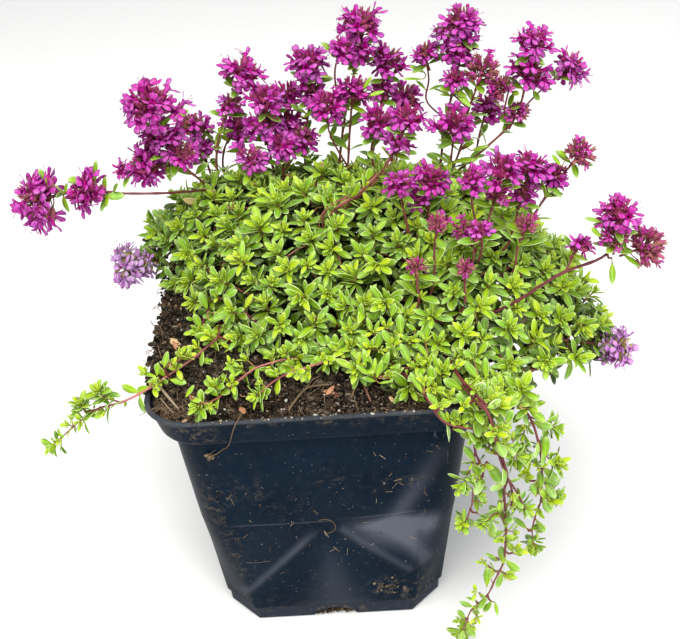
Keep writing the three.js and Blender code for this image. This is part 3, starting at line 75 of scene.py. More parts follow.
PLANT = [
    {"name":"flower_stem_15","kind":"flower","path":[[35.8,25.8,91.4],[37.9,27.4,102.8],[42.3,30.1,113.3],[50.6,29.5,121.5],[58.4,29,130.3],[61.1,28.5,141.6],[62.8,28,153.2]],"forks":[[[58.8,28.9,131],[63.3,28.9,136.1],[68.2,28.9,140.9],[73.7,28.9,144.9]],[[57,29.1,127.3],[55.5,28.5,132.7],[56.4,28.1,139.2]]],"heads":[[62.8,28,153.2,0.13,-0.04,0.99,5.8,8,0],[61.7,28.4,145,0.15,-0.04,0.99,6.5,7,0],[59.3,28.9,132.1,0.42,-0.04,0.9,4.1,4,1],[73.7,28.9,144.9,0.8,0,0.6,6,7,0],[54,27.9,140.2,-0.92,-0.08,0.38,4.4,4,1]]},
    {"name":"flower_stem_right","kind":"flower","path":[[36,-22.3,88.5],[42.3,-24.3,98.7],[51.9,-26.1,105.8],[62,-26.7,113],[73,-27.3,118.2],[74.8,-27.9,130.1]],"forks":[[[63.3,-26.8,114],[64.3,-26.8,116.6],[65.4,-26.8,119.2],[66.9,-26.8,121.5]],[[74.2,-27.4,119.7],[76.9,-27.3,118.7],[79.8,-27.1,118.6],[82.5,-26.9,119.7]]],"heads":[[74.8,-27.9,130.1,0.03,-0.04,1,5.9,8,0],[74.7,-27.6,123.8,0.04,-0.04,1,4.6,5,1],[66.9,-26.8,121.5,0.58,0,0.81,3.7,5,0],[82.5,-26.9,119.7,0.95,0.07,0.32,6.4,8,1]]},
    {"name":"flower_stem_far_left","kind":"flower","path":[[-24,31,96],[-25.5,30,106],[-28.4,27,114.4],[-33.3,17,119.8],[-39.5,6.4,124.9],[-50.1,4.9,126.1],[-60.6,3.5,128.2],[-71.2,2,126.9]],"forks":[],"heads":[[-71.2,2,126.9,-0.98,-0.13,-0.15,9.1,8,0],[-58.6,3.7,128,-0.98,-0.14,0.16,6.7,5,0],[-54.9,4.2,127.3,-0.96,-0.14,0.23,2.6,3,1]]},
    {"name":"flower_stem_left","kind":"flower","path":[[-26,33.5,95],[-27.5,32.5,106],[-30.2,30,114.6],[-33.9,21,124.8],[-39,19.5,134.4],[-40.5,18,145.2]],"forks":[[[-34.2,20.9,125.2],[-37.7,20.9,126.2],[-41.2,20.9,126.5],[-44.7,20.9,126.2]],[[-36.9,20.5,127.1],[-35.4,19.4,128.2],[-35.7,19.3,128.9]],[[-35.4,20.9,126.6],[-43.7,20.4,125.3],[-50.3,20,125]]],"heads":[[-40.5,18,145.2,-0.12,-0.13,0.98,8.9,9,0],[-39.2,19.4,135.1,-0.27,-0.14,0.95,6.5,6,0],[-44.7,20.9,126.2,-1,0,-0.05,7.1,6,0],[-33.8,18.4,131.2,0.61,-0.3,0.74,5.2,4,0],[-51.9,19.9,125.9,-0.87,-0.07,0.49,3,4,0]]},
    {"name":"flower_stem_08","kind":"flower","path":[[7.6,29.2,93.1],[7.9,30.4,104],[8.5,33.3,114.7],[9.9,34.4,125.5],[12,34.5,136.3],[14.8,35,146.9],[16.7,35.8,157.8]],"forks":[[[11.4,34.4,133.8],[9.1,33.1,140.4],[9,31.6,147.3],[11.4,30.1,153.9]]],"heads":[[16.7,35.8,157.8,0.17,0.07,0.98,6.9,9,0],[15.6,35.3,151.2,0.18,0.07,0.98,6,6,0],[11.4,30.1,153.9,0.28,-0.21,0.94,4.6,6,0]]},
    {"name":"flower_stem_13","kind":"flower","path":[[32.8,31,92.3],[34.8,32.9,103],[38.3,36.1,113],[39.5,36.1,124.1],[41.4,36,135.1],[43.6,36,146],[44.8,36,157.1]],"forks":[[[39.9,36,128.1],[34.4,36,134.2],[35.1,36,140.9],[33.8,36,148.7]],[[43.2,36,141.8],[41.2,35.5,147],[40,35.2,151.7]]],"heads":[[44.8,36,157.1,0.11,0,0.99,6.3,8,0],[44.1,36,150.3,0.11,0,0.99,6.6,6,0],[33.8,36,148.7,-0.28,0,0.96,4.6,7,0],[39.3,35,154.1,-0.3,-0.07,0.95,4.2,4,0]]},
    {"name":"flower_stem_18","kind":"flower","path":[[32.6,-15.5,90.8],[36.9,-12.9,99.2],[40.6,-13.6,108.2],[43.8,-13.9,117.3],[46.9,-13.3,126.5],[48.5,-12.9,136.1]],"forks":[[[43.7,-13.9,117],[42.1,-14.7,123.1],[41,-15.5,129.4],[40.9,-16.6,135.7]]],"heads":[[48.5,-12.9,136.1,0.17,0.04,0.98,5.7,8,0],[47.4,-13.2,129.6,0.17,0.04,0.98,3.8,5,1],[40.9,-16.6,135.7,-0.03,-0.16,0.99,4.1,6,0]]},
    {"name":"flower_stem_left_back","kind":"flower","path":[[-26.5,36,91.8],[-27.2,37.3,99.3],[-28.7,40.1,106.3],[-30.5,43.5,112.9],[-31.9,44,120.3],[-33.3,44,127.8]],"forks":[],"heads":[[-33.3,44,127.8,-0.19,0,0.98,5.8,7,0],[-31.9,44,120.2,-0.18,-0.01,0.98,4.8,4,0]]},
    {"name":"flower_stem_low_left","kind":"flower","path":[[-37,20,91.2],[-38.7,22.8,95],[-41.4,26.1,97.3],[-45.7,25.3,94.8],[-50.7,24.7,93.6],[-55.6,24,92.6]],"forks":[],"heads":[[-55.6,24,92.6,-0.97,-0.13,-0.2,6.9,7,2],[-50.1,24.7,93.7,-0.97,-0.13,-0.19,4.2,4,2]]},
    {"name":"flower_stem_01","kind":"flower","path":[[-24.2,32.7,92.6],[-25.2,34,103.9],[-27.7,37.1,114.5],[-26.1,37.5,125.3],[-21.4,36.8,135.7],[-16.5,36,146]],"forks":[],"heads":[[-16.5,36,146,0.44,-0.07,0.9,6.5,8,0],[-21.1,36.7,136.4,0.43,-0.07,0.9,4.4,5,0]]},
    {"name":"flower_stem_03","kind":"flower","path":[[-9,27.5,93.7],[-9.3,28.4,103.2],[-9.9,30.4,112.4],[-11,32.1,121.7],[-11.9,30.9,131],[-10.6,30,140.4]],"forks":[],"heads":[[-10.6,30,140.4,0.18,-0.09,0.98,6,7,0],[-11.9,30.8,132.4,0.03,-0.09,1,6.3,6,0]]},
    {"name":"flower_stem_04","kind":"flower","path":[[-6.2,34.4,91.8],[-6.4,35.6,101.1],[-7,38.5,110],[-7,40.3,119.1],[-6.1,40,128.4],[-4.9,40,137.7]],"forks":[],"heads":[[-4.9,40,137.7,0.13,0,0.99,5.4,7,0],[-6,40,129,0.12,0,0.99,6,6,0]]},
    {"name":"flower_stem_05","kind":"flower","path":[[-6.5,22.4,93.9],[-6.6,22.8,101.2],[-6.9,23.9,108.4],[-7.4,25.6,115.5],[-7.4,25.5,122.7],[-6.7,23,129.5]],"forks":[[[-7.5,26,119.5],[-4.8,27,122.3],[-2.8,27.5,125.7],[-0.8,28,129.2]]],"heads":[[-6.7,23,129.5,0.09,-0.32,0.94,5,6,0],[-0.8,28,129.2,0.5,0.13,0.86,4.6,5,0]]},
    {"name":"flower_stem_07","kind":"flower","path":[[-1.4,31,92.2],[-1.5,32.2,103.4],[-1.7,35.2,114.3],[-0.8,36.2,125.5],[1.6,36,136.6],[1.3,36,147.8]],"forks":[],"heads":[[1.3,36,147.8,-0.13,0,0.99,6.5,8,0],[2.1,36,140.2,0.06,0,1,5.2,5,0]]},
    {"name":"flower_stem_09","kind":"flower","path":[[15.8,34.4,92],[16.5,36.1,102.8],[18.1,39.8,113],[20.1,40.2,123.8],[21.9,40,134.6],[23.4,40,145.5]],"forks":[],"heads":[[23.4,40,145.5,0.14,0,0.99,6.3,8,0],[22.3,40,137.2,0.14,0,0.99,4.6,5,0]]},
    {"name":"flower_stem_10","kind":"flower","path":[[9.5,22.4,93.9],[9.8,23,103.7],[10.4,24.7,113.2],[11.3,26.3,122.8],[12.3,27,132.4],[13.5,28,142]],"forks":[[[11,26,120],[8.1,25.4,126.2],[6.1,24.7,132.7],[5.9,23.9,139.6]]],"heads":[[13.5,28,142,0.12,0.11,0.99,6,7,0],[5.9,23.9,139.6,-0.07,-0.11,0.99,5.8,7,0]]},
    {"name":"flower_stem_leaning","kind":"flower","path":[[4.9,3.1,94.9],[5.1,3.2,106.2],[5.7,3.6,117.4],[14.6,5.5,123],[22.4,7.5,130.9],[27.3,9.6,140.9]],"forks":[],"heads":[[27.3,9.6,140.9,0.36,0.18,0.91,5.6,7,0],[24.6,8.4,134.9,0.42,0.18,0.89,4.6,5,0]]},
    {"name":"flower_stem_14","kind":"flower","path":[[38,20.8,91.2],[34.4,26.7,100.9],[39.5,29.1,111.3],[43.6,29.6,122.5],[45.5,29.1,134.3],[49.2,27.8,145.7]],"forks":[[[45.5,29.1,134.1],[42.9,28.8,136.9],[40.7,28.4,140],[41.6,28.5,143.6]]],"heads":[[49.2,27.8,145.7,0.31,-0.11,0.94,5.9,8,1],[41.6,28.5,143.6,0.2,0,0.98,4.3,6,0]]},
    {"name":"flower_stem_19","kind":"flower","path":[[37.5,-16.2,89.9],[38.7,-11.2,98.9],[45.1,-11.1,106.8],[51.6,-11.8,114.5],[54.1,-9.8,124.4],[56.9,-7.5,134.1]],"forks":[[[54.9,-9.4,126.9],[58.9,-8.9,128.4],[61.7,-8.7,129.9]]],"heads":[[56.9,-7.5,134.1,0.26,0.24,0.94,5.9,8,0],[55.1,-9.2,127.5,0.28,0.2,0.94,4.4,5,0],[62.9,-8.5,131.9,0.51,0.08,0.85,4,4,0]]},
    {"name":"flower_stem_20","kind":"flower","path":[[36.6,-9.8,91.8],[43.5,-14,100.3],[52.4,-12.7,108],[56.5,-11,118.9],[62.6,-8.7,128.8],[68.2,-11.5,138.5]],"forks":[],"heads":[[68.2,-11.5,138.5,0.33,-0.4,0.85,4.6,7,1],[63.8,-8.6,130.2,0.64,0.01,0.77,3.1,4,0]]},
    {"name":"flower_stem_low_right","kind":"flower","path":[[34.5,-18.4,89.6],[43.7,-18.5,92.5],[53.1,-18.3,90.5],[62.1,-18,86.7],[71,-19.7,87],[80.4,-22,85.8]],"forks":[],"heads":[[80.4,-22,85.8,0.97,-0.24,-0.07,6,7,2],[76.4,-21,86.1,0.97,-0.23,-0.1,4,5,2]]},
    {"name":"flower_stem_27","kind":"flower","path":[[34,-9.5,92.4],[32.6,-11.5,99.1],[36.3,-14.1,104.7],[40.8,-16.7,109.8],[41.5,-17,115.5],[39,-17.4,122]],"forks":[[[42.6,-17.8,112.5],[43,-19.8,116.2],[43,-21.4,120.1],[42.3,-22.2,124.2]]],"heads":[[39,-17.4,122,-0.28,-0.17,0.95,3.4,5,1],[42.3,-22.2,124.2,-0.14,-0.22,0.96,3.2,5,0]]},
    {"name":"flower_stem_02","kind":"flower","path":[[-23,36,92.1],[-23.6,37.6,99.5],[-24.9,41,106.2],[-26.5,45.1,112.4],[-25,46,119.2],[-20.7,46,125.5]],"forks":[],"heads":[[-20.7,46,125.5,0.57,0,0.82,5.8,8,0]]},
    {"name":"flower_stem_06","kind":"flower","path":[[-14,20.6,94.6],[-14.3,21,100.9],[-14.8,21.8,107.2],[-15.6,23,113.3],[-16.3,24,119.6],[-15.9,23,125.8]],"forks":[],"heads":[[-15.9,23,125.8,0.09,-0.2,0.98,5.2,6,0]]},
    {"name":"flower_stem_11","kind":"flower","path":[[15.5,17.2,94.4],[16,17.8,103.1],[17.4,19.5,111.5],[18.2,19.8,120.1],[18.3,18.9,128.8],[20.3,18,137.1]],"forks":[],"heads":[[20.3,18,137.1,0.35,-0.1,0.93,6.1,8,0]]},
    {"name":"flower_stem_12","kind":"flower","path":[[22,36,92],[22.8,37.4,100.4],[24.8,40.8,108],[26.2,42.5,116.2],[27.3,42.5,124.7],[28.5,43.1,133.1]],"forks":[],"heads":[[28.5,43.1,133.1,0.14,0.06,0.99,6,8,0]]},
    {"name":"flower_stem_16","kind":"flower","path":[[36,34.4,91.4],[38.7,35.7,99.5],[44,38.4,105.9],[48.6,40.3,112.9],[50.3,40,121.4],[52.2,40,129.9]],"forks":[],"heads":[[52.2,40,129.9,0.22,0,0.97,5.6,7,0]]},
    {"name":"flower_stem_17","kind":"flower","path":[[33.8,20.6,92],[34.8,21.2,100.3],[37.1,22.8,108.3],[39.5,24,116.2],[40.2,22.9,124.6],[41.2,22,132.9]],"forks":[],"heads":[[41.2,22,132.9,0.12,-0.11,0.99,6.3,7,0]]},
    {"name":"flower_stem_21","kind":"flower","path":[[22,-5.5,93.3],[22.6,-5.6,100.8],[24,-6,108.3],[25.6,-6.4,115.6],[24.5,-6.4,123.1],[23.6,-6.4,130.6]],"forks":[],"heads":[[23.6,-6.4,130.6,-0.12,0,0.99,4.4,7,0]]},
    {"name":"flower_stem_22","kind":"flower","path":[[27.2,-2.9,93.5],[27.9,-3,100.7],[29.3,-3.2,107.7],[31.2,-3.4,114.7],[31.3,-2.7,121.7],[32.7,-1.4,128.7]],"forks":[[[30.9,-2.6,122.1],[30.1,-2.5,122.1],[30.2,-2.5,122]]],"heads":[[32.7,-1.4,128.7,0.26,0.17,0.95,5.3,8,0],[29.2,-2.4,124.2,-0.43,0.05,0.9,4,4,0]]},
    {"name":"flower_stem_23","kind":"flower","path":[[26.4,-18.6,92.3],[27.5,-19.3,99.2],[30,-21.1,105.4],[31,-21.7,112.2],[31.3,-21.6,119.2],[32,-21.6,126.2]],"forks":[],"heads":[[32,-21.6,126.2,0.1,0,1,3.5,6,1]]},
    {"name":"flower_stem_24","kind":"flower","path":[[22.8,-21.8,92.5],[23.6,-22.6,97.5],[25.4,-24.3,101.9],[26.8,-25.6,106.6],[26.6,-25.4,111.7],[26.2,-25.4,116.8]],"forks":[],"heads":[[26.2,-25.4,116.8,-0.08,0,1,3.4,5,1]]},
    {"name":"flower_stem_25","kind":"flower","path":[[32.8,-22.4,89.3],[33.8,-23.1,94.8],[35.9,-24.6,99.8],[38.2,-26.1,104.8],[38.3,-26.1,110.5],[38.3,-26.1,116.2]],"forks":[],"heads":[[38.3,-26.1,116.2,-0.01,0,1,3,5,1]]},
    {"name":"flower_stem_26","kind":"flower","path":[[39,-9.5,91.2],[43.9,-12.5,96.2],[48.2,-14.9,102],[51.9,-16.8,108.4],[53.1,-17.6,115.8],[54.5,-18.7,123.2]],"forks":[],"heads":[[54.5,-18.7,123.2,0.2,-0.16,0.97,3.7,5,1]]},
    {"name":"trailing_stem_rim","kind":"trail","path":[[20.1,-28.6,89.7],[21.8,-34.4,90.9],[25,-39.7,90.7],[27.5,-45.3,90.1],[30.5,-49.4,86.8],[36,-50.5,85],[41.9,-50,83.5]],"forks":[],"heads":[]},
    {"name":"trailing_stem_long","kind":"trail","path":[[28.8,-24.7,90.4],[31.9,-29.9,93.2],[33.8,-36.4,93.7],[36,-42.7,93],[38.5,-49,93.4],[41,-53.1,90],[42.6,-53.5,83.4],[44,-52.1,77],[46.1,-52.2,70.7],[45.8,-51.1,64],[46.2,-50.5,57.4],[46.7,-49.9,50.8],[46.9,-49.8,44.2],[46.3,-50.9,37.8],[44.6,-50,31.3],[42.6,-49.9,24.9],[38,-50.9,20.2],[36.4,-50.8,14],[35.6,-47.9,7.9]],"forks":[[[45.8,-51.1,64],[47.7,-50.6,61.3],[49.7,-50,58.6],[51.8,-49.1,56]],[[46.7,-49.9,50.8],[45.6,-50.5,54.5],[43.6,-51.5,57],[41,-52.4,54.3]],[[42.6,-53.5,83.4],[44.8,-52,80.1],[47.1,-50.7,76.8],[49.5,-49.5,73.5]]],"heads":[]},
    {"name":"trailing_stem_middle","kind":"trail","path":[[34,-26.2,88.4],[38.1,-26.9,90.8],[39.4,-33.4,91.3],[40.3,-39.9,90.8],[39.9,-45.4,87.4],[38.8,-47.6,81.4],[38.7,-47.9,74.7],[40.7,-48.5,68.6],[38.5,-48.4,62.6],[38.1,-47.2,56.1],[36.1,-47.8,49.9]],"forks":[[[38.7,-47.9,74.7],[37.9,-48.2,71.3],[36.8,-48.5,67.9],[35.3,-48.9,64.6]]],"heads":[]},
    {"name":"trailing_stem_outer","kind":"trail","path":[[37,-20.2,88.9],[42.7,-22.6,91.9],[46.4,-27.9,91.6],[48.2,-34.1,89.2],[49.4,-38.3,84],[53.5,-39.5,78.7],[55.6,-41.6,72.4],[56.9,-42.1,65.7],[57.5,-40.5,59.1],[57.4,-41.7,52.4],[56.7,-40.2,45.7],[55.8,-39.8,38.9],[56.7,-39.6,32]],"forks":[[[53.5,-39.5,78.7],[55.9,-39.2,76.8],[58.3,-38.9,75],[60.8,-38.5,73.4]],[[55.6,-41.6,72.4],[57,-41.7,69.2],[58.7,-41.8,66],[61.5,-42.1,63.9]],[[57.5,-40.5,59.1],[58.5,-40.3,55.9],[59.7,-40.1,52.8],[62.4,-39.5,51]],[[53.5,-39.5,78.7],[52.6,-40.1,75.8],[51.9,-40.8,72.9],[51.7,-41.5,69.8]]],"heads":[]},
    {"name":"runner_left_long","kind":"runner","path":[[-26.2,-5.4,93.5],[-26.1,-11.9,94],[-26,-18.4,94.5],[-30.6,-21.6,91.7],[-35.9,-24.5,89.2],[-40.4,-29.2,88.9],[-45,-33.9,89],[-50.8,-33.9,86.2],[-56.9,-33.1,84.1],[-62.3,-33,80.4],[-67.2,-32.9,76.1],[-71.8,-32,71.5]],"forks":[[[-50.8,-33.9,86.2],[-52.8,-33.9,87],[-54.8,-33.9,88.1],[-56.1,-33.9,89.9]],[[-56.9,-33.1,84.1],[-59,-32.9,83.2],[-61.1,-32.5,82.9],[-61.9,-32.1,85]]],"heads":[]},
    {"name":"runner_left_short","kind":"runner","path":[[-4.2,-19.3,91.9],[-3.8,-25.6,91.8],[-10,-26.8,91.4],[-15.8,-29.2,91.1],[-20.5,-33.5,90.2],[-25.6,-36.5,87.8],[-30.1,-40.8,88.9]],"forks":[[[-25.6,-36.5,87.8],[-24.5,-35.8,88.6],[-25.1,-35.1,89.5],[-26.4,-34.5,90.2]]],"heads":[]},
    {"name":"runner_front","kind":"runner","path":[[5.6,-23,90.7],[5.7,-28.2,92.7],[0.1,-30.9,92.8],[-5.5,-33.8,92.9],[-10.7,-37.4,93],[-15.4,-40,90.4]],"forks":[],"heads":[]},
    {"name":"leafy_branch_01","kind":"branch","path":[[-28.2,15.6,93.6],[-30,16.6,95.6],[-31.9,17.6,97.3],[-34.2,18.9,98.3]],"forks":[[[-34.2,18.9,98.3],[-36.7,19,97.2],[-39.2,19.1,96.4],[-41.9,19.4,96.6]],[[-34.2,18.9,98.3],[-34.5,21,101],[-34.8,22.8,103.9],[-35.1,24.5,106.9]],[[-34.2,18.9,98.3],[-32.6,17.1,99.4],[-31.5,15.8,101.3],[-30.7,14.7,103.7]],[[-31.9,17.6,97.3],[-34.1,24,97.2],[-39.5,27.6,97.7],[-45.9,29.7,98.2]]],"heads":[]},
    {"name":"leafy_branch_02","kind":"branch","path":[[-21.9,2.6,93.6],[-23.3,2.8,95],[-24.9,3,96.1],[-26.6,3.2,96.8]],"forks":[[[-26.6,3.2,96.8],[-27.7,1.5,96],[-29,-0.1,95.8],[-30.3,-1.8,96.1]],[[-26.6,3.2,96.8],[-29.3,5,96.1],[-32,6.8,95.4],[-34.8,8.7,94.8]],[[-26.6,3.2,96.8],[-26.2,4.6,99.6],[-25.1,5,102.5],[-23.8,5,105.3]]],"heads":[]},
    {"name":"leafy_branch_03","kind":"branch","path":[[-18,33.5,92.9],[-19.1,35.6,95.4],[-20.4,38,97.5],[-21.9,40.7,98.8]],"forks":[[[-21.9,40.7,98.8],[-21.8,43.5,99.5],[-21.3,46,100.7],[-20.5,48.2,102.3]],[[-21.9,40.7,98.8],[-25.1,43.7,98.5],[-28.6,46.1,99.3],[-32.3,48,100.9]],[[-21.9,40.7,98.8],[-27.7,39.7,99.8],[-33.1,39,101.9],[-38.3,38.5,104.8]],[[-21.9,40.7,98.8],[-17.2,43.7,99.7],[-12.6,46.2,101.2],[-7.9,48.4,103.3]]],"heads":[]},
    {"name":"leafy_branch_04","kind":"branch","path":[[-10,-8.4,94.2],[-10.5,-8.9,96],[-11.1,-9.4,97.8],[-12.1,-10.3,99.3]],"forks":[[[-12.1,-10.3,99.3],[-14.4,-9.6,100],[-16.7,-9.2,100.9],[-18.9,-9.7,102.1]],[[-12.1,-10.3,99.3],[-13.1,-12.9,97.9],[-14.2,-15.6,96.6],[-15.2,-18.6,96.1]],[[-12.1,-10.3,99.3],[-9.8,-8.1,102.4],[-7.9,-6.4,105.9],[-6.4,-4.8,109.8]]],"heads":[]},
    {"name":"leafy_branch_05","kind":"branch","path":[[-9.5,22,94.4],[-10,23.1,98.5],[-10.5,24.4,102.5],[-11.5,26.7,106]],"forks":[[[-11.5,26.7,106],[-13.2,30.4,107.1],[-14.5,33.6,109.3],[-15.5,36.4,112.3]],[[-11.5,26.7,106],[-16.7,27.9,107.9],[-21.5,29.2,110.7],[-25.8,30.6,114.1]],[[-11.5,26.7,106],[-6.7,25.8,109.1],[-2.2,24.8,112.7],[2.1,23.7,116.5]]],"heads":[]},
    {"name":"leafy_branch_06","kind":"branch","path":[[-7.5,8,93.8],[-7.9,8.4,97.7],[-8.3,8.8,101.6],[-9.1,9.7,105.3]],"forks":[[[-9.1,9.7,105.3],[-8.3,11.2,108.4],[-8.4,12.5,111.7],[-9,13.8,114.9]],[[-9.1,9.7,105.3],[-10.3,7.3,107],[-11.8,5.4,109],[-13.4,3.6,111.1]],[[-9.1,9.7,105.3],[-13.3,12.8,106.8],[-16.9,15.9,109.1],[-19.9,19,112.3]],[[-9.1,9.7,105.3],[-5.2,9.5,108.7],[-1.5,9.3,112.4],[1.9,9.1,116.3]]],"heads":[]},
    {"name":"leafy_branch_07","kind":"branch","path":[[7.2,33.2,92.4],[7.6,35.1,95.5],[8.1,37.3,98.4],[8.7,40.3,100.4]],"forks":[[[8.7,40.3,100.4],[9.2,43.4,100.5],[9.4,46.5,101],[8.9,49.3,102.3]],[[8.7,40.3,100.4],[12.6,42.2,101.7],[16.2,43.7,103.9],[19.2,44.7,107]],[[8.7,40.3,100.4],[5.9,41.3,102.8],[3.7,41.7,106],[1.6,42.1,109.2]]],"heads":[]},
    {"name":"leafy_branch_08","kind":"branch","path":[[9.3,-16,92.3],[9.8,-16.9,94.3],[10.4,-17.9,96.2],[11.2,-19.4,97.6]],"forks":[[[11.2,-19.4,97.6],[11.3,-21.1,97.7],[11.5,-22.6,98.1],[11.7,-24.1,98.9]],[[11.2,-19.4,97.6],[15,-20.2,99.5],[18.4,-20.8,102.2],[21.4,-21.2,105.2]],[[11.2,-19.4,97.6],[14.4,-22.9,96.9],[17.7,-26.3,96.9],[20.9,-29.7,97.4]],[[11.2,-19.4,97.6],[8.1,-16.8,99.4],[5.2,-14.9,102.2],[2.5,-13.3,105.5]],[[11.2,-19.4,97.6],[7,-19.9,96.7],[2.7,-20.2,96.8],[-1.6,-20.4,97.8]],[[11.2,-19.4,97.6],[11.2,-23.6,95],[11.4,-27.8,92.6],[12,-32.1,90.4]],[[10.4,-17.9,96.2],[16.5,-22.9,96.8],[23.6,-25.5,98.5],[31.1,-26.7,101]],[[11.2,-19.4,97.6],[9.4,-14.1,102],[7.8,-8.9,106.8],[6.6,-3.8,111.7]]],"heads":[]},
    {"name":"leafy_branch_09","kind":"branch","path":[[15.3,8.9,93.4],[16,9.4,98.1],[16.9,9.9,102.7],[18.5,10.9,107]],"forks":[[[18.5,10.9,107],[19.4,9.7,110.2],[20.3,9.1,113.6],[21.3,8.6,117]],[[18.5,10.9,107],[22.9,11.2,110.2],[27.3,11.8,113.3],[31.7,12.6,116.3]],[[18.5,10.9,107],[14.9,12.3,109.8],[12.5,14.2,113.3],[10.5,16.2,117.2]]],"heads":[]},
    {"name":"leafy_branch_10","kind":"branch","path":[[20.2,27.5,94],[21.3,29.1,97.2],[22.7,30.9,100.3],[24.5,33.4,102.5]],"forks":[[[24.5,33.4,102.5],[27.2,35,104.4],[29.4,36.5,106.8],[31.3,37.8,109.7]],[[24.5,33.4,102.5],[25.9,31.8,106.4],[27,30.2,110.4],[28,28.5,114.4]],[[24.5,33.4,102.5],[29.2,36.7,102.1],[33.9,40,102.3],[38.5,43.2,103.3]],[[24.5,33.4,102.5],[25.2,38.6,101.5],[26.4,43.7,100.7],[28.2,48.7,100.2]],[[24.5,33.4,102.5],[20.4,31.9,106.3],[16.8,30.7,110.6],[13.4,29.8,115.1]]],"heads":[]},
    {"name":"leafy_branch_11","kind":"branch","path":[[29.4,-6.3,93.2],[30.6,-5.8,97],[32,-5.6,100.6],[34,-7.2,103.5]],"forks":[[[34,-7.2,103.5],[35.7,-8,106.3],[37,-8.2,109.4],[38.1,-8.1,112.6]],[[34,-7.2,103.5],[34.8,-4.2,107.7],[35.9,-1,111.6],[37.1,2.3,115.5]],[[34,-7.2,103.5],[39.1,-9.9,104.7],[42.1,-14.8,105.3],[43.3,-20.5,105.5]],[[34,-7.2,103.5],[40.4,-6.1,105.6],[46.7,-5.3,108],[53,-4.7,110.7]],[[34,-7.2,103.5],[29.6,-8.2,105.5],[25.5,-9.2,108.1],[21.6,-10.3,111]]],"heads":[]},
    {"name":"leafy_branch_12","kind":"branch","path":[[37,23.5,91.2],[39.1,24.6,94.2],[41.5,25.8,96.9],[44.4,27.1,98.9]],"forks":[[[44.4,27.1,98.9],[45.1,28.7,101.8],[45.5,30,104.9],[45.7,31.1,108.2]],[[44.4,27.1,98.9],[47.8,25.5,100.8],[51,24.4,103.2],[54.1,23.7,106.1]],[[44.4,27.1,98.9],[45.8,31.3,98.5],[47.6,35.2,98.7],[49.9,39,99.5]],[[44.4,27.1,98.9],[48.9,28.8,97.5],[53.4,30.4,96.6],[58.1,32.1,96.2]],[[44.4,27.1,98.9],[44.2,24.6,103.3],[44.2,22.5,107.9],[44.2,20.6,112.6]]],"heads":[]},
    {"name":"leafy_branch_13","kind":"branch","path":[[37,-12.3,91],[41.8,-14.4,92.6],[47.1,-15.5,93.2],[52.5,-16.3,93.5]],"forks":[[[52.5,-16.3,93.5],[53.1,-19.9,93.5],[53.1,-23.4,94.8],[52.9,-26.5,96.9]],[[52.5,-16.3,93.5],[53.5,-21.3,91],[54.5,-26.6,89.1],[55.6,-32.1,87.8]],[[52.5,-16.3,93.5],[56.5,-19.1,91.6],[60.8,-21.8,90.7],[65.4,-24.4,90.8]],[[52.5,-16.3,93.5],[49.1,-20.9,94.6],[45.6,-25.5,95.8],[42,-30,97.1]],[[52.5,-16.3,93.5],[56.8,-15.4,95.5],[60.5,-14.7,98.4],[63.9,-13.9,101.6]]],"heads":[]},
    {"name":"leafy_branch_14","kind":"branch","path":[[37,8.4,91.8],[40.8,8.9,94.9],[45,9.6,97.4],[49.6,10.2,98.9]],"forks":[[[49.6,10.2,98.9],[53.9,11.5,99],[58,12.5,100.2],[62,13.3,102]],[[49.6,10.2,98.9],[53.7,7.4,100.5],[57.4,4.4,102.7],[60.7,1.5,105.4]],[[49.6,10.2,98.9],[49.8,10.1,103.2],[50,9.6,107.6],[50.5,8.8,111.8]],[[49.6,10.2,98.9],[54.5,13.7,96.7],[59.3,17.7,95.7],[63.7,22.3,95.9]]],"heads":[]},
    {"name":"leafy_branch_15","kind":"branch","path":[[37,-0.5,92],[44,-0.5,91.7],[50.9,-0.6,91.5],[57.9,-0.6,91.3]],"forks":[[[57.9,-0.6,91.3],[63.2,-0.3,90.7],[68.5,-0.4,90.5],[73.8,-1.1,91]],[[57.9,-0.6,91.3],[64,-4.1,89],[70.3,-7.6,87.5],[76.7,-11.3,86.8]],[[57.9,-0.6,91.3],[62.5,2.8,91.2],[67.1,6.4,91.5],[71.3,10.2,92.6]]],"heads":[]},
]
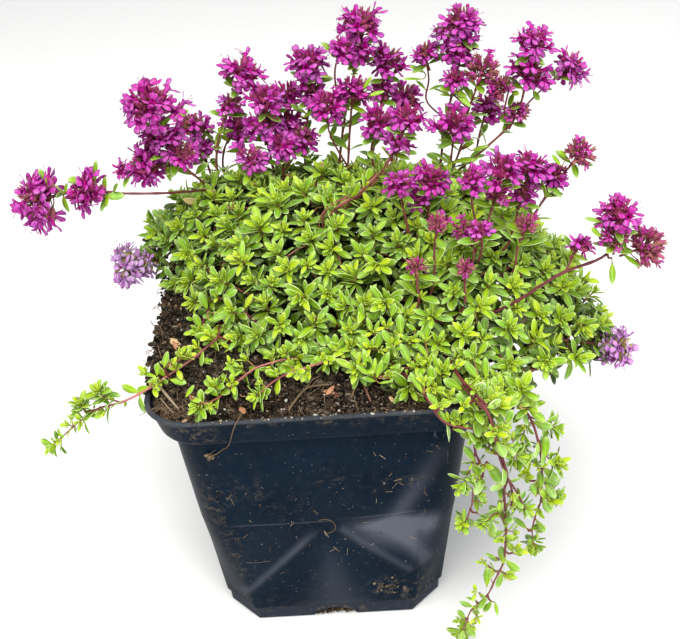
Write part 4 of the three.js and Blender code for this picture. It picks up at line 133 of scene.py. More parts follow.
# shoots of each branch: tip, axis, start on the branch, layer
SHOOTS = {
    "leafy_branch_01": [[-36,13.1,101.8,-0.62,-0.51,0.59,-32.6,17.1,99.4,0],[-26.6,17.1,111.9,-0.45,-0.42,0.79,-30.7,14.7,103.7,0],[-37.8,20.3,106,-0.58,-0.49,0.65,-34.8,22.8,103.9,0],[-37.2,30.6,111.3,-0.63,-0.06,0.77,-35.1,24.5,106.9,0],[-45.5,25.2,102.5,-0.67,-0.41,0.62,-45.9,29.7,98.2,0],[-33.1,20.6,109.5,-0.51,-0.46,0.73,-34.8,22.8,103.9,0],[-46.9,29.7,98.9,-0.82,-0.02,0.57,-45.9,29.7,98.2,0],[-32.2,25.6,111.2,-0.45,-0.42,0.79,-35.1,24.5,106.9,0],[-44,42.4,98.8,-0.52,0.64,0.57,-45.9,29.7,98.2,0],[-37.3,26.1,108.3,-0.52,-0.46,0.72,-34.8,22.8,103.9,0],[-47.4,37.4,98.7,-0.84,-0.02,0.55,-45.9,29.7,98.2,0],[-44.7,33,102.3,-0.79,-0.03,0.62,-45.9,29.7,98.2,0],[-32.4,32.9,112.8,-0.35,0.31,0.89,-35.1,24.5,106.9,0],[-41.5,21.8,101.6,-0.61,-0.51,0.61,-39.6,27.6,97.7,0],[-31.1,15.6,106,-0.53,-0.47,0.7,-31.5,15.8,101.3,0],[-31.3,25.3,107.3,-0.44,-0.41,0.8,-34.8,22.8,103.9,1],[-38.5,24.9,102.3,-0.54,-0.47,0.69,-39.6,27.6,97.7,1],[-24,19.6,108.2,-0.39,-0.38,0.84,-30.7,14.7,103.7,1],[-30.6,30.9,109.8,-0.37,0.06,0.93,-35.1,24.5,106.9,1],[-24.4,14.5,105.5,-0.49,-0.35,0.8,-31.5,15.8,101.3,1],[-45.4,39.9,96,-0.54,0.55,0.64,-45.9,29.7,98.2,1],[-43,20.1,94.1,-0.64,-0.53,0.56,-39.2,19.1,96.4,1],[-35.2,12.2,95.6,-0.62,-0.51,0.6,-28.2,15.6,93.6,1],[-29.7,15.6,102.7,-0.51,-0.46,0.73,-32.6,17.1,99.4,1],[-39.9,31.4,103.2,-0.69,-0.05,0.72,-39.6,27.6,97.7,1],[-34,19.8,102.3,-0.53,-0.47,0.71,-34.2,18.9,98.3,1],[-47.5,27.3,94,-0.83,-0.04,0.56,-45.9,29.7,98.2,1],[-47,33.9,94.9,-0.83,-0.02,0.56,-45.9,29.7,98.2,1],[-38.5,18.6,97.6,-0.6,-0.51,0.62,-39.2,19.1,96.4,1],[-31.3,25.3,102.3,-0.44,-0.41,0.8,-34.1,24,97.2,2],[-38.5,24.9,97.3,-0.54,-0.47,0.69,-34.1,24,97.2,2],[-35.1,34.5,101.6,-0.39,0.38,0.84,-39.6,27.6,97.7,2],[-22.3,17,102.8,-0.41,-0.36,0.84,-28.2,15.6,93.6,2],[-39.3,38.2,97.1,-0.46,0.53,0.72,-39.6,27.6,97.7,2],[-28.2,18.1,100.2,-0.47,-0.43,0.77,-30,16.6,95.6,2],[-29.2,12.6,96.2,-0.57,-0.42,0.71,-28.2,15.6,93.6,2],[-42.6,41.2,92,-0.51,0.61,0.61,-39.6,27.6,97.7,2],[-34.9,15,93.1,-0.59,-0.5,0.64,-28.2,15.6,93.6,2],[-44.7,23.8,90.6,-0.63,-0.52,0.57,-41.9,19.4,96.6,2],[-34,19.8,97.3,-0.53,-0.47,0.71,-28.2,15.6,93.6,2],[-39.9,19.6,92,-0.61,-0.51,0.61,-39.2,19.1,96.4,2]],
    "leafy_branch_02": [[-22.3,9.8,111.2,-0.53,-0.23,0.82,-23.8,5,105.3,0],[-23.3,3.9,109,-0.58,-0.24,0.78,-23.8,5,105.3,0],[-28.6,-2.2,101.8,-0.72,-0.25,0.65,-29,-0.2,95.8,0],[-40.5,12.3,92.9,-0.67,-0.54,0.51,-34.8,8.6,94.8,0],[-28.1,9.5,106.7,-0.65,-0.26,0.71,-25.1,5,102.4,0],[-36.6,5.9,85.5,-0.81,-0.26,0.52,-34.8,8.6,94.8,0],[-30.4,-5.8,98.4,-0.76,-0.26,0.59,-30.3,-1.8,96.1,0],[-18.9,1.5,111,-0.5,-0.23,0.84,-23.8,5,105.3,0],[-35.7,8.2,95.5,-0.75,-0.37,0.55,-34.8,8.6,94.8,0],[-33.2,-1.3,94.8,-0.79,-0.26,0.56,-29,-0.2,95.8,0],[-31,-13,92,-0.61,-0.57,0.55,-30.3,-1.8,96.1,0],[-31.6,7.8,100.9,-0.73,-0.26,0.64,-29.3,5,96.1,0],[-17.2,2.4,106.3,-0.46,-0.22,0.86,-25.1,5,102.4,1],[-30.7,8.3,97.8,-0.71,-0.26,0.66,-32,6.8,95.4,1],[-29.4,-3.3,94.5,-0.74,-0.26,0.63,-22,2.6,93.6,1],[-20.1,9.1,106.5,-0.49,-0.23,0.84,-25.1,5,102.4,1],[-25.1,-2,99.5,-0.65,-0.25,0.72,-23.3,2.8,95,1],[-24.6,-7.9,97.8,-0.58,-0.41,0.7,-22,2.6,93.6,1],[-26.3,7.7,101.7,-0.62,-0.24,0.74,-26.2,4.6,99.6,1],[-28.8,2.4,97.5,-0.7,-0.25,0.67,-23.3,2.8,95,1],[-22.6,3.2,103.1,-0.57,-0.24,0.79,-26.2,4.6,99.6,1],[-17.2,2.4,101.3,-0.46,-0.22,0.86,-22,2.6,93.6,2],[-20.1,9.1,101.5,-0.49,-0.23,0.84,-23.3,2.8,95,2],[-21,-4.2,97.1,-0.57,-0.25,0.78,-22,2.6,93.6,2],[-27.6,5.8,94.9,-0.66,-0.25,0.71,-22,2.6,93.6,2],[-22.6,2.2,97.9,-0.57,-0.24,0.78,-22,2.6,93.6,2]],
    "leafy_branch_03": [[-20.6,49.2,103,-0.07,0.77,0.64,-21.3,46,100.7,0],[-32.7,48.8,101.7,-0.38,0.67,0.64,-28.6,46.1,99.3,0],[-38.9,39.1,105.6,-0.46,0.54,0.7,-33.1,39,101.9,0],[-7.9,49.3,104,0,0.76,0.66,-12.6,46.2,101.2,0],[-14,47.8,105.6,-0.07,0.73,0.68,-12.6,46.2,101.2,0],[-1.4,50.2,103.4,0,0.77,0.63,-7.9,48.4,103.3,0],[-30.4,39.8,110.4,-0.38,0.45,0.81,-33.1,39,101.9,0],[-26,45.8,106.4,-0.07,0.71,0.7,-25.1,43.7,98.5,0],[-39.2,34.6,108.4,-0.64,0.14,0.76,-38.3,38.5,104.8,0],[-34.1,41.9,106.9,-0.45,0.53,0.72,-33.1,39,101.9,0],[-27.4,51.1,100,-0.08,0.81,0.58,-28.6,46.1,99.3,0],[-13.2,51.3,101.6,-0.08,0.8,0.6,-12.6,46.2,101.2,0],[-20.9,42.7,109.6,-0.06,0.62,0.78,-21.8,43.5,99.4,0],[-2.6,46.4,107.4,0,0.69,0.72,-7.9,48.4,103.3,0],[-36.5,45.1,102.5,-0.5,0.6,0.62,-28.6,46.1,99.3,0],[-7.8,52.7,100.1,0,0.82,0.57,-12.6,46.2,101.2,0],[-9.2,45.9,107.9,-0.03,0.68,0.74,-7.9,48.4,103.3,0],[-15.2,44,109.1,-0.06,0.64,0.77,-12.6,46.2,101.2,0],[-30,48.1,99.2,-0.09,0.76,0.64,-28.6,46.1,99.3,1],[-23.2,50.5,97.1,-0.08,0.8,0.6,-25.1,43.7,98.5,1],[-35.1,34.5,106.6,-0.39,0.38,0.84,-33.1,39,101.9,1],[-28.4,36.6,108.6,-0.27,0.37,0.89,-27.7,39.7,99.8,1],[-33.5,40.7,103.8,-0.44,0.5,0.75,-33.1,39,101.9,1],[-18.3,45.5,103.2,-0.07,0.68,0.73,-17.2,43.7,99.7,1],[-36.6,44.8,98.4,-0.5,0.6,0.63,-28.6,46.1,99.3,1],[-23.5,40.5,106.8,-0.06,0.56,0.82,-21.9,40.7,98.8,1],[-13.4,51.3,97.2,-0.08,0.8,0.6,-17.2,43.7,99.7,1],[-5.2,51.6,97.2,0,0.8,0.6,-12.6,46.2,101.2,1],[-12.2,40.5,107.6,-0.06,0.54,0.84,-12.6,46.2,101.2,1],[-10.5,47.3,102.2,-0.05,0.71,0.7,-12.6,46.2,101.2,1],[-6.3,43,106,0,0.6,0.8,-7.9,48.4,103.3,1],[-26.4,44.5,103.3,-0.07,0.68,0.73,-25.1,43.7,98.5,1],[-17.8,38.8,108.2,-0.05,0.51,0.86,-20.4,38,97.5,1],[-38.8,39.8,101.2,-0.47,0.55,0.69,-33.1,39,101.9,1],[-30,48.1,94.2,-0.09,0.76,0.64,-25.1,43.7,98.5,2],[-28.4,36.6,103.6,-0.27,0.37,0.89,-27.7,39.7,99.8,2],[-8.5,50.9,93.1,-0.01,0.79,0.62,-18,33.6,92.9,2],[-33.5,40.7,98.8,-0.44,0.5,0.75,-27.7,39.7,99.8,2],[-19.7,33.7,105.6,-0.04,0.38,0.93,-20.4,38,97.5,2],[-18.3,45.5,98.2,-0.07,0.68,0.73,-19.1,35.6,95.4,2],[-25.9,27.6,105.8,-0.34,-0.35,0.87,-20.4,38,97.5,2],[-36.6,44.8,93.4,-0.5,0.6,0.63,-18,33.6,92.9,2],[-23.5,40.5,101.8,-0.06,0.56,0.82,-21.9,40.7,98.8,2],[-12.2,40.5,102.6,-0.06,0.54,0.84,-17.2,43.7,99.7,2],[-6.3,43,101,0,0.6,0.8,-12.6,46.2,101.2,2],[-15.9,50,93.6,-0.07,0.78,0.63,-18,33.6,92.9,2],[-23,49.5,93.3,-0.07,0.78,0.62,-18,33.6,92.9,2],[-10.9,46.4,98,-0.05,0.69,0.72,-19.1,35.6,95.4,2],[-25.3,45.2,97.8,-0.07,0.69,0.72,-25.1,43.7,98.5,2]],
    "leafy_branch_04": [[-1,-3.8,114.7,-0.09,-0.45,0.89,-6.4,-4.8,109.8,0],[-18.7,-5.3,109.3,-0.38,-0.45,0.81,-18.9,-9.7,102.1,0],[-14.5,-21.9,96.5,-0.2,-0.8,0.56,-15.2,-18.6,96.1,0],[-21.6,-15.1,99.7,-0.45,-0.65,0.61,-14.2,-15.6,96.6,0],[-9.9,-5.6,112.3,-0.24,-0.45,0.86,-6.4,-4.8,109.8,0],[-12.5,-26.2,84.9,-0.21,-0.85,0.49,-15.2,-18.6,96.1,0],[-13.2,-16.4,103.7,-0.23,-0.7,0.67,-13.1,-12.9,97.9,0],[-6.6,-11.1,109.5,-0.13,-0.59,0.79,-7.9,-6.4,105.9,0],[-9.1,-21.5,99,-0.19,-0.78,0.6,-15.2,-18.6,96.1,0],[-23.9,-7.6,104.5,-0.56,-0.42,0.72,-18.9,-9.7,102.1,0],[-15.8,-11.3,106.6,-0.37,-0.57,0.74,-16.7,-9.2,100.9,0],[-10.7,-13.5,107,-0.15,-0.66,0.74,-9.8,-8.1,102.4,0],[-19.9,-19.2,94,-0.47,-0.68,0.56,-15.2,-18.6,96.1,0],[-10.7,-24.4,91.9,-0.2,-0.82,0.54,-15.2,-18.6,96.1,0],[-25.3,-17.7,91.2,-0.49,-0.7,0.52,-15.2,-18.6,96.1,0],[-8.4,-4.9,106.9,-0.18,-0.47,0.86,-9.8,-8.1,102.4,1],[-7.9,-17.7,96.9,-0.17,-0.71,0.68,-10,-8.4,94.2,1],[-2.1,-0.5,109.8,-0.08,-0.41,0.91,-7.9,-6.4,105.9,1],[-19.9,-2.2,103.5,-0.54,-0.23,0.81,-16.7,-9.2,100.9,1],[-7.1,-10.6,103.3,-0.13,-0.59,0.8,-11.1,-9.4,97.8,1],[-13.6,-6.6,104.2,-0.31,-0.49,0.81,-14.4,-9.6,100,1],[-2.9,-7.3,106.1,-0.11,-0.51,0.85,-9.8,-8.1,102.4,1],[-14.5,-18.7,94,-0.26,-0.74,0.62,-15.2,-18.6,96.1,1],[-18.8,-10.1,99.5,-0.38,-0.58,0.72,-10.5,-8.9,96,1],[-13.5,-12.9,100,-0.33,-0.57,0.75,-13.1,-12.9,97.9,1],[-21.9,-13.5,94.5,-0.44,-0.64,0.63,-10,-8.4,94.2,1],[-8.4,-4.9,101.9,-0.18,-0.47,0.86,-10.5,-8.9,96,2],[-7.1,-10.6,98.3,-0.13,-0.59,0.8,-10,-8.4,94.2,2],[-15.1,-5.2,99.6,-0.3,-0.49,0.82,-10.5,-8.9,96,2],[-0.8,-6.9,101.7,-0.1,-0.5,0.86,-10.5,-8.9,96,2],[-11.7,-13.6,95,-0.21,-0.66,0.73,-10,-8.4,94.2,2]],
    "leafy_branch_05": [[-20.5,26.7,118.3,-0.26,-0.14,0.96,-21.5,29.2,110.7,0],[-27.8,33,115.7,-0.28,0.3,0.91,-25.8,30.6,114.1,0],[3.6,24.2,119.3,0,0.16,0.99,2.1,23.7,116.4,0],[-27.6,23.4,114.4,-0.4,-0.39,0.83,-21.5,29.2,110.7,0],[-0.8,30.1,117.9,0,0.27,0.96,-2.2,24.8,112.6,0],[-4.9,23.9,119.4,0,0.16,0.99,-2.2,24.8,112.6,0],[-15.6,37,113.4,-0.05,0.45,0.89,-14.5,33.6,109.4,0],[0.3,18.6,118.5,0,0.08,1,2.1,23.7,116.4,0],[-7.5,37.6,113.7,0,0.46,0.89,-14.5,33.6,109.4,0],[-11,41.6,111.2,-0.05,0.57,0.82,-14.5,33.6,109.4,0],[-7.6,29.3,116.8,-0.01,0.26,0.97,-6.7,25.8,109.1,0],[-22.8,31.3,115.7,-0.04,0.33,0.94,-21.5,29.2,110.7,0],[-13.6,26.3,117.4,-0.03,0.2,0.98,-16.7,27.9,107.9,0],[-21.2,37.6,113,-0.05,0.48,0.87,-14.5,33.6,109.4,0],[-14.6,32,115.8,-0.04,0.33,0.94,-14.5,33.6,109.4,0],[-2.3,34.4,115.1,0,0.37,0.93,-2.2,24.8,112.6,0],[-19.7,23,111.3,-0.3,-0.33,0.89,-16.7,27.9,107.9,1],[-4.5,22.4,113.8,0,0.13,0.99,-6.7,25.8,109.1,1],[-3.6,32.2,111.6,0,0.32,0.95,-6.7,25.8,109.1,1],[-19.7,33.7,110.6,-0.04,0.38,0.93,-16.7,27.9,107.9,1],[-25.9,27.6,110.8,-0.34,-0.35,0.87,-16.7,27.9,107.9,1],[-15.7,29,112.4,-0.03,0.26,0.96,-16.7,27.9,107.9,1],[1.5,23.7,113.7,0,0.15,0.99,-2.2,24.8,112.6,1],[-12.8,23.4,113.5,-0.18,-0.1,0.98,-11.5,26.7,106,1],[-10.4,35.3,110.4,-0.04,0.4,0.92,-13.2,30.4,107.1,1],[-9,28.8,112.6,-0.02,0.25,0.97,-6.7,25.8,109.1,1],[3.2,18,114.3,0,0.07,1,-2.2,24.8,112.6,1],[-19.7,23,106.3,-0.3,-0.33,0.89,-10.5,24.4,102.5,2],[-4.5,22.4,108.8,0,0.13,0.99,-10.5,24.4,102.5,2],[-3.6,32.2,106.6,0,0.32,0.95,-10.5,24.4,102.5,2],[-15.7,29,107.4,-0.03,0.26,0.96,-10.5,24.4,102.5,2],[-12.8,23.4,108.5,-0.18,-0.1,0.98,-10.5,24.4,102.5,2],[1.4,26.3,108.2,0,0.2,0.98,-10.5,24.4,102.5,2],[-10.1,33.7,106.1,-0.03,0.36,0.93,-10.5,24.4,102.5,2],[1.3,19.7,109.2,0,0.09,1,-10.5,24.4,102.5,2]],
    "leafy_branch_06": [[5.6,7.4,119.4,-0.05,-0.3,0.95,1.9,9.1,116.3,0],[-1.7,12.5,119.7,-0.19,-0.17,0.97,1.9,9.1,116.3,0],[-13.8,3.8,114.3,-0.39,-0.21,0.9,-13.4,3.6,111.1,0],[-8.5,9.3,117.5,-0.28,-0.19,0.94,-8.4,12.5,111.7,0],[-20.3,13.7,113.7,-0.45,-0.26,0.85,-16.9,15.9,109.1,0],[-14.5,20.5,118.2,-0.28,-0.28,0.92,-19.9,19,112.3,0],[-22.8,21.1,115.3,-0.36,-0.37,0.86,-19.9,19,112.3,0],[-1.6,2.1,117.2,-0.07,-0.37,0.93,-1.5,9.3,112.4,0],[-6.5,15.9,119.1,-0.23,-0.19,0.96,-9,13.8,114.9,0],[-12.5,13.9,117.1,-0.32,-0.2,0.92,-9,13.8,114.9,0],[-9.2,20.2,117.8,-0.23,-0.2,0.95,-9,13.8,114.9,0],[-7.6,1.7,114.3,-0.2,-0.32,0.92,-11.8,5.4,109,0],[4.4,13.7,118.8,0,-0.01,1,1.9,9.1,116.3,0],[-2.3,6,112.3,-0.13,-0.27,0.95,-5.2,9.5,108.7,1],[2.5,11.7,114.2,-0.12,-0.19,0.98,-1.5,9.3,112.4,1],[-11.7,13.9,111.3,-0.31,-0.2,0.93,-13.3,12.8,106.8,1],[-8.8,4.7,110.4,-0.3,-0.19,0.93,-10.3,7.3,107,1],[-18.1,16.2,109.5,-0.38,-0.28,0.88,-13.3,12.8,106.8,1],[-3.8,13.1,113.3,-0.21,-0.17,0.96,-5.2,9.5,108.7,1],[3.1,1.9,111.2,-0.06,-0.36,0.93,-5.2,9.5,108.7,1],[-14,8.8,109.4,-0.37,-0.21,0.91,-13.3,12.8,106.8,1],[-11.7,0.1,108.4,-0.31,-0.31,0.9,-9.1,9.7,105.3,1],[-2.3,6,107.3,-0.13,-0.27,0.95,-8.3,8.8,101.6,2],[2.5,11.7,109.2,-0.12,-0.19,0.98,-9.1,9.7,105.3,2],[-11.7,13.9,106.3,-0.31,-0.2,0.93,-8.3,8.8,101.6,2],[-2.1,-0.5,104.8,-0.08,-0.41,0.91,-8.3,8.8,101.6,2],[-8.8,4.7,105.4,-0.3,-0.19,0.93,-8.3,8.8,101.6,2],[-3.8,13.1,108.3,-0.21,-0.17,0.96,-9.1,9.7,105.3,2]],
    "leafy_branch_07": [[9,50.2,103,0,0.77,0.63,9.4,46.5,101,0],[19.3,45.4,108,0.1,0.65,0.75,16.2,43.7,103.9,0],[1.6,42.8,110.1,0,0.6,0.8,3.7,41.7,106,0],[-5.2,42.8,110.4,0,0.6,0.8,3.7,41.7,106,0],[5.4,47.6,106.2,0,0.72,0.7,5.9,41.3,102.8,0],[7,41.7,111.2,0,0.57,0.82,3.7,41.7,106,0],[6.9,35.7,114.6,0,0.41,0.91,1.6,42.1,109.2,0],[18,50.6,102.8,0.01,0.78,0.62,9.4,46.5,101,0],[12.4,39.3,112.8,0,0.5,0.86,16.2,43.7,103.9,0],[2,37.7,113.6,0,0.46,0.89,1.6,42.1,109.2,0],[14,47.3,106.6,0,0.71,0.71,16.2,43.7,103.9,0],[19.2,39.5,112.5,0.1,0.5,0.86,19.2,44.7,107,0],[3.9,51.5,101.7,0,0.8,0.6,9.4,46.5,101,0],[13.2,52.2,100.7,0,0.81,0.58,9.4,46.5,101,0],[14.5,42.8,106.1,0,0.6,0.8,12.6,42.2,101.7,1],[9.4,46.8,102.8,0,0.7,0.72,9.2,43.4,100.5,1],[15.2,48.7,100.8,0,0.74,0.67,9.2,43.4,100.5,1],[4.6,42.8,106.2,0,0.6,0.8,5.9,41.3,102.8,1],[-0.4,47.3,102.2,0,0.71,0.7,8,37.3,98.4,1],[2.2,32.9,111.4,0,0.34,0.94,3.7,41.7,106,1],[10.3,38.8,108.7,0,0.49,0.87,8.7,40.3,100.4,1],[-2.6,38.1,109.1,0,0.47,0.88,3.7,41.7,106,1],[1.9,51.5,97.4,0,0.8,0.6,7.6,35.1,95.5,1],[9.8,51,98,0,0.79,0.61,9.4,46.5,101,1],[14.5,42.8,101.1,0,0.6,0.8,8,37.3,98.4,2],[9.4,46.8,97.8,0,0.7,0.72,7.6,35.1,95.5,2],[15.2,48.7,95.8,0,0.74,0.67,7.2,33.2,92.4,2],[4.6,42.8,101.2,0,0.6,0.8,8,37.3,98.4,2],[-0.4,47.3,97.2,0,0.71,0.7,7.2,33.2,92.4,2],[10.7,32.8,106.4,0,0.34,0.94,8,37.3,98.4,2],[-2.6,38.1,104.1,0,0.47,0.88,8,37.3,98.4,2],[4.6,35.5,105.4,0,0.4,0.92,8,37.3,98.4,2],[22.9,49.9,93.4,0.2,0.76,0.62,7.2,33.2,92.4,2],[3.9,50.7,93.4,0,0.78,0.62,7.2,33.2,92.4,2],[10,38.7,103.8,0,0.49,0.87,8,37.3,98.4,2]],
    "leafy_branch_08": [[7.4,-1.5,116.4,-0.07,-0.39,0.92,6.6,-3.8,111.7,0],[0.3,-22.7,100.1,-0.18,-0.76,0.63,2.7,-20.2,96.8,0],[-2.7,-17.5,104.6,-0.16,-0.69,0.71,-1.6,-20.4,97.8,0],[18.4,-36.7,92.4,-0.03,-0.85,0.53,12,-32.1,90.4,0],[3.9,-13,109.6,-0.13,-0.58,0.81,2.5,-13.3,105.5,0],[25.4,-21.7,108.7,-0.02,-0.59,0.81,21.4,-21.2,105.2,0],[8.3,-21.6,103.4,-0.28,-0.66,0.7,8.1,-16.8,99.4,0],[-3.3,-24.7,96.4,-0.2,-0.8,0.57,-1.6,-20.4,97.8,0],[10.6,-14.7,109.6,-0.19,-0.55,0.81,7.8,-8.9,106.8,0],[29.8,-28.3,103.6,-0.03,-0.71,0.71,31.1,-26.7,101,0],[13.4,-22.9,105.1,-0.35,-0.58,0.73,15,-20.2,99.6,0],[30.5,-39.2,88.5,-0.03,-0.87,0.49,12,-32.1,90.4,0],[18.2,-24.4,105.8,-0.3,-0.56,0.77,18.4,-20.8,102.2,0],[-5.1,-27.5,91.8,-0.21,-0.84,0.5,12,-32.1,90.4,0],[1.6,-28.4,92.6,-0.21,-0.83,0.52,12,-32.1,90.4,0],[35.8,-24.2,107.2,0,-0.62,0.78,31.1,-26.7,101,0],[8.7,-29.2,96.5,-0.44,-0.68,0.58,11.4,-27.8,92.6,0],[10.4,-33.5,92.2,-0.47,-0.71,0.53,12,-32.1,90.4,0],[-1.3,-11,110.3,-0.13,-0.57,0.81,2.5,-13.3,105.5,0],[-7.7,-27.3,82.1,-0.21,-0.84,0.49,12,-32.1,90.4,0],[11.3,-24.8,99.7,-0.39,-0.62,0.68,14.4,-22.9,96.9,0],[20.9,-30.6,98.2,-0.03,-0.75,0.66,20.9,-29.7,97.4,0],[4.9,-5.9,112.1,-0.09,-0.46,0.88,7.8,-8.9,106.8,0],[31,-31.6,97.8,-0.03,-0.76,0.65,20.9,-29.7,97.4,0],[13.5,-9.3,111.4,-0.15,-0.45,0.88,7.8,-8.9,106.8,0],[27.8,-35.1,93.1,-0.03,-0.82,0.57,12,-32.1,90.4,0],[3.7,-16.9,104.6,-0.15,-0.65,0.75,5.2,-14.9,102.2,0],[23.3,-37.9,88.4,-0.03,-0.86,0.51,12,-32.1,90.4,0],[23.7,-26.3,103,-0.03,-0.67,0.74,23.6,-25.5,98.5,0],[17.7,-21.8,101.2,-0.31,-0.53,0.79,16.5,-22.9,96.8,1],[5.4,-4,108.8,-0.08,-0.43,0.9,7.8,-8.9,106.8,1],[8,-21,97.6,-0.25,-0.66,0.71,9.8,-16.9,94.3,1],[3,-22.5,94.6,-0.18,-0.74,0.65,9.3,-16,92.3,1],[19.4,-27.1,97.8,-0.14,-0.68,0.72,17.7,-26.3,96.9,1],[36.1,-19.1,104.5,0.01,-0.53,0.85,31.1,-26.7,101,1],[5.1,-12.5,104,-0.12,-0.56,0.82,5.2,-14.9,102.2,1],[21,-36.1,87,-0.03,-0.84,0.55,12,-32.1,90.4,1],[14.4,-5.5,109.1,-0.12,-0.4,0.91,7.8,-8.9,106.8,1],[13.7,-16.9,102.9,-0.28,-0.51,0.81,15,-20.2,99.6,1],[19.6,-17.1,104.7,-0.25,-0.46,0.85,18.4,-20.8,102.2,1],[27.5,-31.4,93.6,-0.03,-0.76,0.65,12,-32.1,90.4,1],[9.5,-28,91.4,-0.43,-0.67,0.61,12,-32.1,90.4,1],[33.5,-24.2,100.8,-0.02,-0.63,0.78,31.1,-26.7,101,1],[25.5,-22.1,102.2,-0.02,-0.59,0.8,23.6,-25.5,98.5,1],[15,-31.8,91.2,-0.43,-0.67,0.61,12,-32.1,90.4,1],[-1.1,-17.7,98.6,-0.16,-0.68,0.71,2.7,-20.2,96.8,1],[13.1,-24.8,96.8,-0.37,-0.61,0.7,11.2,-23.6,95,1],[27.8,-36,87.5,-0.03,-0.83,0.55,12,-32.1,90.4,1],[10.4,-10.2,106.1,-0.13,-0.49,0.86,9.4,-14.1,102,1],[-5.3,-21.6,93.3,-0.19,-0.76,0.62,9.3,-16,92.3,1],[16.2,-11.5,106.6,-0.21,-0.43,0.88,9.4,-14.1,102,1],[-0.8,-12.9,102.7,-0.13,-0.6,0.79,-1.6,-20.4,97.8,1],[26.6,-26.6,98.6,-0.03,-0.68,0.74,23.6,-25.5,98.5,1],[21.5,-32.1,92.4,-0.03,-0.78,0.63,12,-32.1,90.4,1],[17.7,-21.8,96.2,-0.31,-0.53,0.79,16.5,-22.9,96.8,2],[5.4,-4,103.8,-0.08,-0.43,0.9,9.4,-14.1,102,2],[8,-21,92.6,-0.25,-0.66,0.71,9.3,-16,92.3,2],[19.4,-27.1,92.8,-0.14,-0.68,0.72,12,-32.1,90.4,2],[5.1,-12.5,99,-0.12,-0.56,0.82,9.3,-16,92.3,2],[14.4,-5.5,104.1,-0.12,-0.4,0.91,9.4,-14.1,102,2],[-2.6,-16.8,94.1,-0.16,-0.67,0.72,9.3,-16,92.3,2],[13.7,-16.9,97.9,-0.28,-0.51,0.81,9.8,-16.9,94.3,2],[23,-16.6,100.7,-0.09,-0.49,0.87,16.5,-22.9,96.8,2],[25.5,-22.1,97.2,-0.02,-0.59,0.8,23.6,-25.5,98.5,2],[25.8,-28.4,91.8,-0.03,-0.71,0.7,12,-32.1,90.4,2],[16.2,-11.5,101.6,-0.21,-0.43,0.88,10.4,-17.9,96.2,2]],
    "leafy_branch_09": [[11.6,8.2,119.8,-0.04,-0.27,0.96,12.5,14.2,113.4,0],[15,18.9,119.9,0.01,0.08,1,10.5,16.2,117.2,0],[20.9,9.8,120.2,0.03,-0.07,1,21.3,8.6,117,0],[16.7,3.5,118.6,-0.06,-0.3,0.95,20.3,9.1,113.6,0],[22.1,-1.1,117.7,-0.11,-0.3,0.95,20.3,9.1,113.6,0],[10.5,16.3,120.3,0,0.05,1,10.5,16.2,117.2,0],[31.8,12.6,117.5,0.14,0.03,0.99,27.3,11.8,113.3,0],[8.3,21.3,118.3,0,0.12,0.99,12.5,14.2,113.4,0],[27.8,7.1,118.2,0.09,-0.03,1,27.3,11.8,113.3,0],[35,18.2,116.9,0.2,0.09,0.98,27.3,11.8,113.3,0],[21.6,16.2,118.4,0.05,0.06,1,22.9,11.2,110.2,0],[29.5,19,117.8,0.09,0.12,0.99,27.3,11.8,113.3,0],[8.3,21.7,113.9,0,0.12,0.99,14.9,12.3,109.8,1],[7.7,6.5,113,-0.05,-0.3,0.95,14.9,12.3,109.8,1],[28.5,19.5,113.5,0.06,0.12,0.99,22.9,11.2,110.2,1],[28.4,2.9,113.3,-0.06,-0.24,0.97,22.9,11.2,110.2,1],[19.4,13,114.4,0.04,0.03,1,19.4,9.7,110.2,1],[16.2,6.7,113.5,-0.05,-0.27,0.96,19.4,9.7,110.2,1],[33.3,13,113.3,0.15,0.04,0.99,22.9,11.2,110.2,1],[19.3,0.8,112,-0.09,-0.3,0.95,18.5,10.9,107,1],[15.4,20.3,114.1,0.02,0.1,0.99,14.9,12.3,109.8,1],[9.4,13.5,114.5,0,0.03,1,14.9,12.3,109.8,1],[25.2,8.8,114.2,0.07,-0.04,1,22.9,11.2,110.2,1],[12.1,0.3,111.2,-0.06,-0.35,0.94,16.9,9.9,102.7,1],[21.8,18.6,113.9,0.05,0.09,0.99,22.9,11.2,110.2,1],[8.3,21.7,108.9,0,0.12,0.99,16.9,9.9,102.7,2],[7.7,6.5,108,-0.05,-0.3,0.95,16.9,9.9,102.7,2],[19.4,13,109.4,0.04,0.03,1,18.5,10.9,107,2],[16.2,6.7,108.5,-0.05,-0.27,0.96,16.9,9.9,102.7,2],[19.3,0.8,107,-0.09,-0.3,0.95,16.9,9.9,102.7,2],[15.4,20.3,109.1,0.02,0.1,0.99,16.9,9.9,102.7,2],[9.4,13.5,109.5,0,0.03,1,16.9,9.9,102.7,2],[25.8,3,108.2,-0.08,-0.25,0.96,16.9,9.9,102.7,2],[12.1,0.3,106.2,-0.06,-0.35,0.94,16.9,9.9,102.7,2],[28,9.1,109,0.1,-0.01,0.99,18.5,10.9,107,2]],
